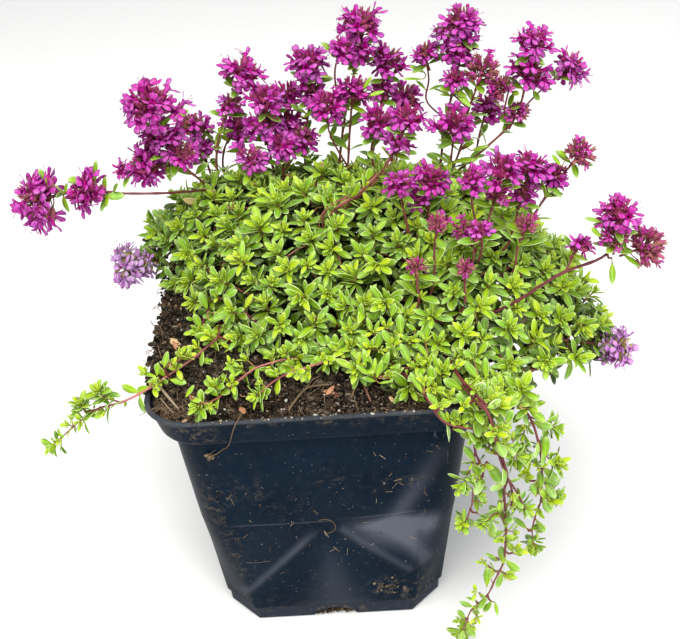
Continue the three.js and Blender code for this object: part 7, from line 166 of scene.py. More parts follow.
    "runner_left_short": [[[-29.3,-40.1,88.7],[-32,-40.6,92.3],[[-32.8,-41.4,92.3,-30.4,-40.3,95.1,0.21,-0.56,0.8,1.2,0.4],[-31.3,-41.7,91.5,-28.8,-42.3,91.7,-0.03,-0.65,0.76,1.3,0.5],[-29.3,-41.7,91.6,-29.2,-41.4,93.8,0.02,-0.54,0.84,1,0.5]],[[-27.2,-42.5,90.3,0.55,0.4]]],[[-20.5,-33.5,90.2],[-21.8,-34,94.8],[[-20.5,-35.7,93.7,-22.5,-34.2,97.2,-0.03,-0.67,0.74,1.4,0.4],[-21.1,-33.8,95.7,-23.2,-35.8,96.2,0.19,-0.44,0.88,1,0.5],[-21.2,-35.9,93.6,-18.8,-35.1,95.1,0.17,-0.35,0.92,0.9,0.4]],[[-21.4,-34,96.4,0.55,0.45]]]],
    "flower_stem_far_left": [[[-55.4,4.2,127.1],[-54.7,3.7,127.3],[[-53.9,2.6,126.6,-48.5,2.5,126.9,0.16,-0.76,0.64,2.4,0.3],[-56.2,4.1,129.8,-54.8,5.2,136.2,0.07,-0.56,0.83,1.6,0.25]],[]],[[-58.9,3.7,127.8],[-58.9,3.2,128.7],[[-58.6,3.5,130.9,-62.3,2.3,132.6,0.1,-0.64,0.76,2.2,0.5]],[]],[[-67.7,2.5,127.3],[-67.7,2,129.9],[[-67.8,2,132,-69.2,2.3,135.9,0.08,-0.53,0.85,1.6,0.25]],[]]],
    "flower_stem_left_back": [[[-33.1,44,126.6],[-38,43.5,127.7],[[-38.4,43.7,129.8,-34.3,44.1,132.3,0.19,-0.7,0.68,1.8,0.5]],[]],[[-32.1,44,121.6],[-30.7,43.5,122.8],[[-31.2,44.1,126.1,-27.9,42.5,122.7,0.03,-0.59,0.81,1.2,0.35],[-32.9,41.7,120.5,-29.4,39.8,118.6,-0.06,-0.54,0.84,1.2,0.3]],[]]],
    "flower_stem_13": [[[34.9,36,142.2],[34.3,35.5,142.2],[[34,35.3,142.9,29.8,35.3,145.4,-0.12,-0.73,0.67,1.4,0.5],[33.6,34.7,141.3,27.4,33.5,142.2,-0.25,-0.53,0.81,1,0.5]],[]]],
    "flower_stem_14": [[[42.1,28.6,137.9],[42.4,28.1,138.4],[[41.8,27.8,139.5,45.6,24.5,136.8,-0.07,-0.67,0.74,2,0.55]],[]],[[43.6,29.6,122.5],[44.9,29.1,122.7],[[44.6,28.9,123.5,37,29.3,125.3,0.15,-0.7,0.7,1.3,0.5],[46.2,27.9,121.7,50.9,27.1,123.6,0.15,-0.63,0.76,1.3,0.5]],[]]],
    "flower_stem_16": [[[51.2,40,125.6],[53.7,39.5,125.3],[[54.2,38.9,125.8,59.1,37.5,128.4,-0.24,-0.75,0.61,1.5,0.4]],[]]],
    "flower_stem_15": [[[45,29.9,116],[43.9,29.4,117],[[43.8,29.1,117.5,48.6,28.4,119.1,-0.05,-0.61,0.79,1.9,0.5]],[]],[[64.1,29,136.9],[63.5,28.4,138.2],[[63.2,28.2,138.9,64.4,25.3,136.8,-0.14,-0.6,0.78,1.7,0.5]],[]]],
    "flower_stem_20": [[[65.4,-10.1,133.6],[64.1,-10.6,134.5],[[63.7,-11.3,134.9,61.5,-10.3,137.8,-0.01,-0.75,0.66,1.2,0.4],[65.2,-10.6,136.9,63.2,-10.3,138.6,-0.05,-0.82,0.56,1.3,0.5]],[]]],
    "flower_stem_right": [[[73.9,-27.6,124.2],[71,-28.1,125.6],[[70.9,-27.7,127.5,66.9,-26.8,128.7,-0.22,-0.57,0.79,1.2,0.4],[70.6,-29.3,124.4,68,-29,126.9,-0.03,-0.72,0.7,1.5,0.35]],[]],[[73,-27.3,118.2],[74.1,-27.8,117.4],[[74,-28.8,116.8,73.6,-32.8,113,-0.01,-0.44,0.9,1.8,0.3]],[]]],
    "flower_stem_10": [[[13.3,27.9,140.4],[16.8,27.4,141.5],[[16,27.1,142.3,18.9,27.3,146,-0.18,-0.74,0.64,1.4,0.5],[17.5,26.2,140.8,21.9,25.8,142.4,-0.04,-0.66,0.75,1.4,0.5]],[]]],
    "flower_stem_08": [[[11,34.5,130.9],[11,34,131.3],[[10.7,33.6,132.1,7.8,34.3,135.6,-0.04,-0.64,0.77,1.4,0.5],[11.8,32.7,130.6,15.3,33.3,133.2,0.03,-0.58,0.81,1.4,0.55]],[]]],
    "flower_stem_12": [[[27.9,42.8,128.9],[26.6,42.3,129.2],[[26,42.1,130.6,29.5,41.2,132.6,-0.08,-0.74,0.67,1.5,0.55],[24.6,40.3,126.5,27.4,38.4,124.6,-0.04,-0.81,0.59,1.5,0.5]],[]]],
    "flower_stem_07": [[[0.4,36.1,131],[-1.8,35.6,132.3],[[-1.7,35.4,133.3,-4.1,34.7,136.2,0,-0.78,0.62,1.3,0.5],[-1,34.7,131.8,2.3,34.4,134.1,0.13,-0.67,0.73,1.3,0.5]],[]]],
}
STRANDS = {"trailing_stem_long":[[[35.7,-43.7,93],[37.1,-48.1,93.3],[39.8,-52.3,92]],[[36.6,-44.6,94],[38,-49,94.5],[40.9,-52.3,92.9]],[[43.2,-53.6,80.7],[44.4,-53,75.6],[46.4,-52.8,69.4]],[[44.1,-53.2,79],[45.5,-53.1,73.6],[45.7,-51.8,61.7]],[[46.3,-53,70.2],[47.7,-52,64.5],[47.7,-51.4,58.5]],[[46.3,-53,70.2],[49,-51.9,64],[51.3,-51.4,57.8]]],"trailing_stem_middle":[[[36.2,-37.2,90.3],[39.6,-42.5,90.6],[42.8,-44.8,88.7]]]}
WORLD, KEY, FILL = 0.41, 20.0, 6.0

# ------------------------------------------------------------------ numbers
rng = np.random.default_rng(4)


def unit(v):
    v = np.asarray(v, float)
    return v / max(np.linalg.norm(v), 1e-9)


def perp(v, hint=(0.31, 0.17, 0.93)):
    a = np.cross(v, hint)
    if np.linalg.norm(a) < 1e-3:
        a = np.cross(v, (1, 0, 0))
    return unit(a)


def turn(v, axis, a):
    axis = unit(axis)
    v = np.asarray(v, float)
    return v * math.cos(a) + np.cross(axis, v) * math.sin(a) + axis * np.dot(axis, v) * (1 - math.cos(a))


def resample(pts, n):
    P = np.asarray(pts, float)
    if len(P) == 2:
        t = np.linspace(0, 1, n)[:, None]
        return P[0] + (P[1] - P[0]) * t
    Q = np.vstack([2 * P[0] - P[1], P, 2 * P[-1] - P[-2]])
    out = []
    T = np.linspace(0, 1, 10, endpoint=False)[:, None]
    for i in range(1, len(Q) - 2):
        p0, p1, p2, p3 = Q[i - 1:i + 3]
        out.append(0.5 * (2 * p1 + (-p0 + p2) * T + (2 * p0 - 5 * p1 + 4 * p2 - p3) * T ** 2 + (-p0 + 3 * p1 - 3 * p2 + p3) * T ** 3))
    out = np.vstack(out + [P[-1:]])
    L = np.concatenate([[0], np.cumsum(np.linalg.norm(np.diff(out, axis=0), axis=1))])
    s = np.linspace(0, L[-1], n)
    return np.stack([np.interp(s, L, out[:, k]) for k in range(3)], 1)


def length(P):
    P = np.asarray(P, float)
    return float(np.linalg.norm(np.diff(P, axis=0), axis=1).sum())


def soil_top(x, y):
    e = np.minimum(41.5 - np.abs(x), 41.5 - np.abs(y))
    lift = 5.2 * np.clip((y + 36) / 26, 0, 1)
    mound = 3.2 * np.clip(e / 16, 0, 1)
    wob = 0.8 * np.sin(x * 0.17 + 1.3) * np.cos(y * 0.14 - 0.4) + 0.3 * np.sin(x * 0.27 + y * 0.2)
    front = -1.2 * np.clip((-y - 34) / 8, 0, 1)
    return 84.6 + lift + mound + wob * np.clip(e / 6, 0.15, 1) + front


_lat = np.random.default_rng(99).uniform(-1, 1, (64, 64, 64))


def noise3(p, scale, seed=0):
    """smooth lattice noise of an (n, 3) array, about -1 to 1"""
    q = np.asarray(p, float) / scale + seed * 17.31 + 1000
    i = np.floor(q).astype(int)
    f = q - i
    f = f * f * (3 - 2 * f)
    i &= 63
    j = (i + 1) & 63
    def g(a, b, c):
        return _lat[a, b, c]
    x0, y0, z0, x1, y1, z1 = i[:, 0], i[:, 1], i[:, 2], j[:, 0], j[:, 1], j[:, 2]
    fx, fy, fz = f[:, 0], f[:, 1], f[:, 2]
    c00 = g(x0, y0, z0) * (1 - fx) + g(x1, y0, z0) * fx
    c10 = g(x0, y1, z0) * (1 - fx) + g(x1, y1, z0) * fx
    c01 = g(x0, y0, z1) * (1 - fx) + g(x1, y0, z1) * fx
    c11 = g(x0, y1, z1) * (1 - fx) + g(x1, y1, z1) * fx
    return (c00 * (1 - fy) + c10 * fy) * (1 - fz) + (c01 * (1 - fy) + c11 * fy) * fz


# ------------------------------------------------------------------ mesh gathering
class Shape:
    """A small mesh with faces of three or four corners, a leaf-space UV and a place in its own atlas cell."""

    def __init__(self, verts, faces, uv, cell):
        self.v = np.asarray(verts, float)
        self.f = [tuple(x) for x in faces]
        self.loops = np.array([i for f in self.f for i in f], int)
        self.tot = np.array([len(f) for f in self.f], int)
        self.uv = np.asarray(uv, float)        # per loop
        self.cell = np.asarray(cell, float)    # per loop


class Part:
    def __init__(self, name, mats):
        self.name, self.mats = name, mats
        self.v, self.loops, self.tot, self.uv, self.cell, self.mat, self.tint, self.ids = [], [], [], [], [], [], [], []
        self.n = 0
        self.cells = 0

    def add(self, shape, verts, mat, tint=(0.5, 0.5, 0.0, 0.0), cell=None):
        """verts replaces the shape's own, tint is four numbers or one row per vertex"""
        self.v.append(verts)
        self.loops.append(shape.loops + self.n)
        self.tot.append(shape.tot)
        self.uv.append(shape.uv)
        if cell is None:
            cell = self.cells
            self.cells += 1
        self.cell.append(shape.cell)
        self.ids.append(np.full(len(shape.loops), cell))
        self.mat.append(np.full(len(shape.tot), mat))
        t = np.asarray(tint, float)
        self.tint.append(np.tile(t, (len(verts), 1)) if t.ndim == 1 else t)
        self.n += len(verts)

    def build(self, node=None, smooth=True, sharp=None):
        V = np.vstack(self.v) * 0.001
        loops = np.concatenate(self.loops)
        tot = np.concatenate(self.tot)
        me = bpy.data.meshes.new(self.name)
        me.vertices.add(len(V))
        me.vertices.foreach_set("co", V.ravel())
        me.loops.add(len(loops))
        me.loops.foreach_set("vertex_index", loops)
        me.polygons.add(len(tot))
        me.polygons.foreach_set("loop_start", np.concatenate([[0], np.cumsum(tot)[:-1]]))
        me.polygons.foreach_set("loop_total", tot)
        me.polygons.foreach_set("material_index", np.concatenate(self.mat))
        me.polygons.foreach_set("use_smooth", np.full(len(tot), smooth))
        for mt in self.mats:
            me.materials.append(mt)
        ids = np.concatenate(self.ids)
        cell = np.vstack(self.cell)
        n = max(self.cells, 1)
        cols = max(1, math.ceil(math.sqrt(n)))
        rows = math.ceil(n / cols)
        pad = 0.04
        bx = (ids % cols + pad + cell[:, 0] * (1 - 2 * pad)) / cols
        by = (ids // cols + pad + cell[:, 1] * (1 - 2 * pad)) / rows
        bake = me.uv_layers.new(name="OFBake")
        bake.data.foreach_set("uv", np.stack([bx, by], 1).astype(np.float32).ravel())
        leaf = me.uv_layers.new(name="Leaf")
        leaf.data.foreach_set("uv", np.vstack(self.uv).astype(np.float32).ravel())
        col = me.color_attributes.new(name="tint", type="FLOAT_COLOR", domain="POINT")
        col.data.foreach_set("color", np.vstack(self.tint).astype(np.float32).ravel())
        me.validate()
        me.update()
        ob = bpy.data.objects.new(self.name, me)
        bpy.context.scene.collection.objects.link(ob)
        if node:
            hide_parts(*([node] if isinstance(node, str) else node))
        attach(ob, "root")
        return ob


def grid_shape(rows, cols, close=False, rect=(0, 0, 1, 1)):
    """A rows by cols sheet; close joins the last column to the first."""
    f, uv, cell = [], [], []
    for i in range(rows - 1):
        for j in range(cols if close else cols - 1):
            k = (j + 1) % cols
            f.append((i * cols + j, i * cols + k, (i + 1) * cols + k, (i + 1) * cols + j))
            n = cols if close else cols - 1
            for (a, b) in ((i, j), (i, j + 1), (i + 1, j + 1), (i + 1, j)):
                u, v = b / n, a / (rows - 1)
                uv.append((u, v))
                cell.append((rect[0] + u * (rect[2] - rect[0]), rect[1] + v * (rect[3] - rect[1])))
    return f, uv, cell


# ------------------------------------------------------------------ leaf
LEAF_S = np.array([0.0, 0.1, 0.24, 0.42, 0.6, 0.77, 0.9])
LEAF_T = np.array([-1, -0.55, 0, 0.55, 1])


def leaf_shape():
    nr, nc = len(LEAF_S), len(LEAF_T)
    top = lambda i, j: i * nc + j
    tip = nr * nc
    bot0 = tip + 1
    def bot(i, j):
        if i == 0 or j in (0, nc - 1):
            return top(i, j)
        return bot0 + (i - 1) * (nc - 2) + (j - 1)
    f, uv, cell = [], [], []
    def push(idx, par, side):
        f.append(tuple(idx))
        for s, t in par:
            uv.append((0.5 + 0.5 * t, s))
            u = 0.02 + 0.44 * (0.5 + 0.5 * t) + (0.52 if side else 0)
            cell.append((u, 0.02 + 0.96 * s))
    for i in range(nr - 1):
        for j in range(nc - 1):
            q = ((i, j), (i, j + 1), (i + 1, j + 1), (i + 1, j))
            par = [(LEAF_S[a], LEAF_T[b]) for a, b in q]
            push([top(a, b) for a, b in q], par, 0)
            q = q[::-1]
            push([bot(a, b) for a, b in q], par[::-1], 1)
    for j in range(nc - 1):
        mid = (LEAF_T[j] + LEAF_T[j + 1]) / 2
        par = [(LEAF_S[-1], LEAF_T[j]), (LEAF_S[-1], LEAF_T[j + 1]), (1.0, mid)]
        push([top(nr - 1, j), top(nr - 1, j + 1), tip], par, 0)
        push([tip, bot(nr - 1, j + 1), bot(nr - 1, j)], par[::-1], 1)
    n = bot0 + (nr - 1) * (nc - 2)
    return Shape(np.zeros((n, 3)), f, uv, cell)


LEAF = leaf_shape()
PROFILES = {
    "oval": np.array([0.15, 0.26, 0.60, 0.92, 1.0, 0.88, 0.57]),
    "spoon": np.array([0.13, 0.20, 0.44, 0.78, 1.0, 0.97, 0.66]),
    "narrow": np.array([0.2, 0.42, 0.76, 0.98, 0.95, 0.72, 0.4]),
    "lance": np.array([0.15, 0.30, 0.68, 0.97, 0.98, 0.78, 0.46]),
}


def leaf_verts(L, W, prof="oval", fold=0.28, curl=0.5, twist=0.0, cup=0.0, thick=0.22, wave=0.0):
    nr, nc = len(LEAF_S), len(LEAF_T)
    w = PROFILES[prof] * W / 2
    S, T = np.meshgrid(LEAF_S, LEAF_T, indexing="ij")
    Wd = np.repeat(w[:, None], nc, 1)
    x = T * Wd
    lift = fold * np.abs(x) - 0.10 * W * (np.abs(T) ** 3) * (Wd / (W / 2))     # folded along the midrib, edges rolled under
    lift += wave * np.sin(S * 9 + T * 2)
    th = thick * (1 - T ** 2) * np.minimum(1, S * 8) * (0.4 + 0.6 * np.sin(np.clip(S, 0.05, 1) * math.pi) ** 0.4)
    groove = -0.10 * (T == 0) * (S > 0.05) * (1 - S * 0.7)
    def bend(xx, ss, zz):
        a = curl * ss
        yy = L * (np.sin(a) / curl if abs(curl) > 1e-3 else ss)
        h = -L * ((1 - np.cos(a)) / curl if abs(curl) > 1e-3 else 0 * ss)
        tw = twist * ss
        return np.stack([xx * np.cos(tw) - zz * np.sin(tw), yy + zz * np.sin(a) * 0.5, h + zz * np.cos(a) + xx * np.sin(tw)], -1)
    topv = bend(x, S, lift + groove + th * 0.3)
    tipv = bend(np.zeros(1), np.ones(1), np.zeros(1))
    botv = bend(x[1:, 1:-1], S[1:, 1:-1], (lift - th * 0.9)[1:, 1:-1])
    return np.vstack([topv.reshape(-1, 3), tipv, botv.reshape(-1, 3)])


def place(v, at, along, normal):
    """leaf space (x across, y along, z up) into the world"""
    y = unit(along)
    z = unit(np.asarray(normal, float) - y * np.dot(normal, y))
    x = np.cross(y, z)
    return np.asarray(at, float) + v[:, :1] * x + v[:, 1:2] * y + v[:, 2:3] * z


def add_leaf(part, at, along, normal, L, W, tint, mat=0, prof=None, **kw):
    prof = prof or ("oval" if rng.random() < 0.45 else ("lance" if rng.random() < 0.7 else "spoon"))
    v = leaf_verts(L, W, prof, **kw)
    part.add(LEAF, place(v, at, along, normal), mat, tint)


# ------------------------------------------------------------------ stems
_tubes = {}


def tube_shape(rows, sides, cap):
    key = (rows, sides, cap)
    if key in _tubes:
        return _tubes[key]
    f, uv, cell = grid_shape(rows, sides, True, (0.0, 0.0, 1.0, 0.86 if cap else 1.0))
    n = rows * sides
    if cap:
        for j in range(sides):
            k = (j + 1) % sides
            f.append(((rows - 1) * sides + j, (rows - 1) * sides + k, n))
            uv += [(j / sides, 1), ((j + 1) / sides, 1), ((j + 0.5) / sides, 1)]
            cell += [(j / sides, 0.88), ((j + 1) / sides, 0.88), ((j + 0.5) / sides, 1.0)]
        n += 1
    _tubes[key] = Shape(np.zeros((n, 3)), f, uv, cell)
    return _tubes[key]


def add_tube(part, pts, r, mat=1, tint=(0.5, 0.5, 0, 0), sides=6, step=2.2, cap=True, knots=None):
    """a stem along pts with radius r, a number or one per point, in cells of about 18 mm"""
    P0 = np.asarray(pts, float)
    n = max(3, int(length(P0) / step) + 2)
    P = resample(P0, n)
    rr = np.interp(np.linspace(0, 1, n), np.linspace(0, 1, np.size(r)) if np.size(r) > 1 else [0, 1], r if np.size(r) > 1 else [r, r])
    if knots is not None:
        d = length(P) * np.linspace(0, 1, n)
        for k in knots:
            rr = rr * (1 + 0.35 * np.exp(-((d - k) / 0.9) ** 2))
    T = np.gradient(P, axis=0)
    T /= np.linalg.norm(T, axis=1)[:, None] + 1e-9
    a = perp(T[0])
    frames = []
    for t in T:
        a = unit(a - t * np.dot(a, t))
        frames.append((a, np.cross(t, a)))
    ang = np.linspace(0, 2 * math.pi, sides, endpoint=False)
    rings = np.array([P[i] + rr[i] * (np.cos(ang)[:, None] * frames[i][0] + np.sin(ang)[:, None] * frames[i][1]) for i in range(n)])
    tint = np.asarray(tint, float)
    per = max(2, int(18 / max(step, 0.3)))
    i = 0
    while i < n - 1:
        j = min(n - 1, i + per)
        if n - 1 - j < 2:
            j = n - 1
        last = j == n - 1
        rows = rings[i:j + 1].reshape(-1, 3)
        if last and cap:
            rows = np.vstack([rows, P[-1] + T[-1] * rr[-1] * 0.8])
        tt = tint
        if tint.ndim == 2:
            s = np.linspace(0, 1, n)[i:j + 1]
            c = np.stack([np.interp(s, np.linspace(0, 1, len(tint)), tint[:, k]) for k in range(4)], 1)
            tt = np.repeat(c, sides, 0)
            if last and cap:
                tt = np.vstack([tt, tt[-1:]])
        part.add(tube_shape(j - i + 1, sides, last and cap), rows, mat, tt)
        i = j
    return P


# ------------------------------------------------------------------ flowers
def merge(*items):
    """items are (verts, faces, uv, cell): one Shape"""
    v, f, uv, cell, n = [], [], [], [], 0
    for a, b, c, d in items:
        v.append(np.asarray(a, float))
        f += [tuple(i + n for i in q) for q in b]
        uv += list(c)
        cell += list(d)
        n += len(a)
    return Shape(np.vstack(v), f, uv, cell)


def calyx_shape(seed, closed=False):
    """ribbed two-lipped calyx along +Y, about 3.3 long, five pointed teeth"""
    r = np.random.default_rng(seed)
    cols, ys = 10, np.array([0.0, 0.3, 1.0, 1.8, 2.2])
    rad = np.array([0.2, 0.42, 0.58, 0.56, 0.62])
    if closed:
        rad = np.array([0.2, 0.42, 0.58, 0.52, 0.36])
    ang = np.arange(cols) / cols * 2 * math.pi
    V = []
    for i, y in enumerate(ys):
        rib = 1 + 0.07 * np.cos(ang * 5)
        V.append(np.stack([np.cos(ang) * rad[i] * rib, np.full(cols, y), np.sin(ang) * rad[i] * rib], 1))
    teeth = []
    for k in range(cols):
        if k % 2 == 0:
            up_ = math.sin(ang[k])
            Lt = (0.8 if up_ > 0 else 1.25) * r.uniform(0.85, 1.2)
            out = (0.18 if not closed else -0.12) + 0.12 * r.normal()
            R = rad[-1] + out * (2.4 if up_ > 0 else 1.2)
            teeth.append((math.cos(ang[k]) * R, ys[-1] + Lt, math.sin(ang[k]) * R))
        else:
            teeth.append((math.cos(ang[k]) * rad[-1] * 1.02, ys[-1] + 0.1, math.sin(ang[k]) * rad[-1] * 1.02))
    V.append(np.array(teeth))
    outer = np.vstack(V)
    rows = len(ys) + 1
    f, uv, cell = grid_shape(rows, cols, True, (0, 0, 0.48, 0.48))
    # inside wall, so that the mouth has a rim
    inner = np.vstack([V[-1] * [0.97, 1, 0.97], V[-2] * [0.82, 1, 0.82], V[2] * [0.6, 1, 0.6]])
    f2, uv2, cell2 = grid_shape(3, cols, True, (0.5, 0, 0.74, 0.3))
    return merge((outer, f, uv, cell), (inner, f2, uv2, cell2))


def lobe(L, W0, W1, at, along, normal, curve, notch, cellrect, rows=5, cols=5, cup=0.25, thick=0.09):
    """a rounded petal lobe as a thin closed sheet"""
    s = np.linspace(0, 1, rows)
    t = np.linspace(-1, 1, cols)
    S, T = np.meshgrid(s, t, indexing="ij")
    w = W0 + (W1 - W0) * np.sin(np.clip(S * 1.25, 0, 1) * math.pi / 2) ** 1.2
    roundoff = np.sqrt(np.clip(1 - np.clip((S - 0.62) / 0.46, 0, 1) ** 2.2, 0.02, 1))
    w = w * roundoff
    x = T * w / 2
    y = S * L - 0.10 * L * (T ** 2) * (S > 0.9)
    if notch:
        y = y - notch * np.exp(-(T / 0.28) ** 2) * np.clip((S - 0.55) / 0.45, 0, 1)
    z = cup * x ** 2 / (W1 / 2) - curve * (S ** 2) * L * 0.5
    top = np.stack([x, y, z + thick * 0.5 * (1 - T ** 2)], -1).reshape(-1, 3)
    bot = np.stack([x, y, z - thick * 0.5 * (1 - T ** 2) - 0.01], -1).reshape(-1, 3)
    ax = unit(along)
    nz = unit(np.asarray(normal, float) - ax * np.dot(normal, ax))
    ac = np.cross(ax, nz)
    M = np.stack([ac, ax, nz])
    a0, b0, a1, b1 = cellrect
    mid = (a0 + a1) / 2
    f, uv, cell = grid_shape(rows, cols, False, (a0, b0, mid - 0.004, b1))
    f2, uv2, cell2 = grid_shape(rows, cols, False, (mid + 0.004, b0, a1, b1))
    f2 = [tuple(i for i in q[::-1]) for q in f2]
    flip = lambda c: [c[k * 4 + 3 - i] for k in range(len(c) // 4) for i in range(4)]
    n = rows * cols
    # the two faces share their outline
    edge = [j for j in range(cols)] + [i * cols + c for i in range(1, rows) for c in (0, cols - 1)] + [(rows - 1) * cols + j for j in range(1, cols - 1)]
    remap = {}
    keep = []
    for k in range(n):
        if k in edge:
            remap[k] = k
        else:
            remap[k] = n + len(keep)
            keep.append(k)
    f2 = [tuple(remap[i] for i in q) for q in f2]
    v = np.vstack([top, bot[keep]])
    v = np.asarray(at, float) + v @ M
    return v, f + f2, uv + flip(uv2), cell + flip(cell2)


def corolla_shape(seed, young=0.0):
    """two-lipped corolla along +Y with rounded finger-like lobes, about 6 long"""
    r = np.random.default_rng(seed)
    cols = 8
    ang = np.arange(cols) / cols * 2 * math.pi
    ys = np.array([0.8, 2.4, 3.5, 4.1])
    rad = np.array([0.28, 0.38, 0.56, 0.82])
    bend = np.array([0, 0.02, 0.08, 0.12])
    V = [np.stack([np.cos(ang) * rad[i], np.full(cols, ys[i]), np.sin(ang) * rad[i] * 0.92 + bend[i]], 1) for i in range(4)]
    outer = np.vstack(V)
    f, uv, cell = grid_shape(4, cols, True, (0.5, 0.32, 0.98, 0.41))
    uv = [(u, v * 0.35) for u, v in uv]
    inner = np.vstack([V[3] * [0.98, 1, 0.98], V[2] * [0.85, 1, 0.85], V[1] * [0.7, 1, 0.7]])
    f2, uv2, cell2 = grid_shape(3, cols, True, (0.76, 0.0, 0.98, 0.3))
    uv2 = [(u, 0.35 - v * 0.35) for u, v in uv2]
    items = [(outer, f, uv, cell), (inner, f2, uv2, cell2)]
    mouth = 4.05
    spread = r.uniform(0.7, 1.4)
    tw = r.normal(0, 0.12, 4)
    # upper lip, notched, hooded or turned back
    items.append(lobe(2.0 * r.uniform(0.85, 1.15), 1.1, 1.85, (0, mouth - 0.12, 0.6), (tw[0], 0.9, 0.55 * spread), (0, -0.55, 0.85), r.uniform(-0.3, 0.7), 0.35, (0.0, 0.52, 0.48, 0.74), cup=r.uniform(-0.35, 0.1)))
    # lower lip of three lobes
    for k, (dx, L, W) in enumerate(((0, 2.4, 1.8), (-1, 2.2, 1.6), (1, 2.2, 1.6))):
        sp = r.uniform(0.8, 1.35)
        along = (dx * 0.85 * sp + tw[k + 1], 0.8, -0.75 * sp if dx == 0 else -0.25 * sp)
        nrm = (dx * -0.5, 0.7, 0.8)
        at = (dx * 0.5, mouth - 0.12, -0.48 if dx == 0 else -0.22)
        rect = ((0.52, 0.52, 0.98, 0.74), (0.0, 0.77, 0.48, 0.99), (0.52, 0.77, 0.98, 0.99))[k]
        items.append(lobe(L * r.uniform(0.85, 1.15), 0.78, W * r.uniform(0.88, 1.12), at, along, nrm, r.uniform(-0.2, 0.9), 0.0, rect, cup=r.uniform(-0.38, -0.05)))
    for it in items[2:]:
        uvs = it[2]
        for i in range(len(uvs)):
            uvs[i] = (uvs[i][0], 0.35 + 0.65 * uvs[i][1])
    return merge(*items)


def bud_shape(seed):
    """closed corolla bud showing from a calyx"""
    rows, cols = 6, 8
    ang = np.arange(cols) / cols * 2 * math.pi
    rad = np.array([0.3, 0.42, 0.64, 0.74, 0.55, 0.06])
    ys = np.array([1.2, 2.0, 2.7, 3.3, 3.8, 4.0])
    V = np.vstack([np.stack([np.cos(ang) * rad[i], np.full(cols, ys[i]), np.sin(ang) * rad[i]], 1) for i in range(rows)])
    f, uv, cell = grid_shape(rows, cols, True, (0.5, 0.32, 0.98, 0.98))
    return merge((V, f, uv, cell))


def stamen_shape(seed):
    r = np.random.default_rng(seed)
    items = []
    for k in range(2):
        a = r.uniform(0, 2 * math.pi)
        p0 = np.array([0.25 * math.cos(a), 3.8, 0.25 * math.sin(a)])
        p1 = p0 + [0.4 * math.cos(a), 1.4, 0.4 * math.sin(a)]
        p2 = p1 + [0.5 * math.cos(a) + 0.2 * r.normal(), r.uniform(0.5, 1.3), 0.5 * math.sin(a)]
        P = resample([p0, p1, p2], 5)
        ang = np.arange(3) / 3 * 2 * math.pi
        ring = [p + 0.05 * np.stack([np.cos(ang), 0 * ang, np.sin(ang)], 1) for p in P]
        c0 = 0.5 + 0.24 * k
        f, uv, cell = grid_shape(5, 3, True, (c0, 0.43, c0 + 0.2, 0.47))
        uv = [(u, 0.6) for u, v in uv]
        items.append((np.vstack(ring), f, uv, cell))
        e = P[-1]
        h = 0.17
        o = np.array([[h, 0, 0], [0, h, 0], [-h, 0, 0], [0, -h, 0], [0, 0, h], [0, 0, -h]]) * [1, 0.8, 1] + e
        ff = [(0, 1, 4), (1, 2, 4), (2, 3, 4), (3, 0, 4), (1, 0, 5), (2, 1, 5), (3, 2, 5), (0, 3, 5)]
        uvf, cf = [], []
        for i, q in enumerate(ff):
            x0 = 0.5 + 0.24 * k + 0.026 * i
            uvf += [(0, 0.2)] * 3
            cf += [(x0, 0.48), (x0 + 0.022, 0.48), (x0 + 0.011, 0.51)]
        items.append((o, ff, uvf, cf))
    return merge(*items)


CALYX = [calyx_shape(s) for s in range(5)]
CALYX_SHUT = [calyx_shape(s + 20, True) for s in range(3)]
COROLLA = [corolla_shape(s) for s in range(8)]
BUD = [bud_shape(0)]
STAMEN = [stamen_shape(s) for s in range(5)]


def put(part, shape, at, along, normal, scale, mat, tint, cell=None):
    y = unit(along)
    z = np.asarray(normal, float) - y * np.dot(normal, y)
    z = unit(z) if np.linalg.norm(z) > 1e-3 else perp(y)
    x = np.cross(y, z)
    M = np.stack([x, y, z])
    part.add(shape, np.asarray(at, float) + (shape.v * scale) @ M, mat, tint, cell)


# ------------------------------------------------------------------ materials
def new_mat(name, base=(0.5, 0.5, 0.5), rough=0.5, **sock):
    mt = bpy.data.materials.new(name)
    mt.use_nodes = True
    nt = mt.node_tree
    bs = nt.nodes["Principled BSDF"]
    bs.inputs["Base Color"].default_value = (*base, 1)
    bs.inputs["Roughness"].default_value = rough
    for k, v in sock.items():
        bs.inputs[k.replace("_", " ")].default_value = v
    mt.diffuse_color = (*base, 1)
    return mt, nt, bs


def node(nt, kind, **props):
    n = nt.nodes.new(kind)
    ins = props.pop("ins", {})
    for k, v in props.items():
        setattr(n, k, v)
    for k, v in ins.items():
        n.inputs[k].default_value = v
    return n


def math_(nt, op, a, b=None, clamp=False):
    n = node(nt, "ShaderNodeMath", operation=op, use_clamp=clamp)
    for i, s in enumerate((a, b)):
        if s is None:
            continue
        if isinstance(s, (int, float)):
            n.inputs[i].default_value = s
        else:
            nt.links.new(s, n.inputs[i])
    return n.outputs[0]


def ramp(nt, fac, stops, interp="LINEAR"):
    n = node(nt, "ShaderNodeValToRGB")
    cr = n.color_ramp
    cr.interpolation = interp
    while len(cr.elements) < len(stops):
        cr.elements.new(0.5)
    for e, (p, c) in zip(cr.elements, stops):
        e.position = p
        e.color = (*c, 1) if len(c) == 3 else c
    nt.links.new(fac, n.inputs[0])
    return n.outputs[0]


def mix(nt, fac, a, b, mode="MIX"):
    n = node(nt, "ShaderNodeMix", data_type="RGBA", blend_type=mode)
    for i, s in ((0, fac), (6, a), (7, b)):
        if isinstance(s, (int, float)):
            n.inputs[i].default_value = s
        elif isinstance(s, tuple):
            n.inputs[i].default_value = (*s, 1)
        else:
            nt.links.new(s, n.inputs[i])
    return n.outputs[2]


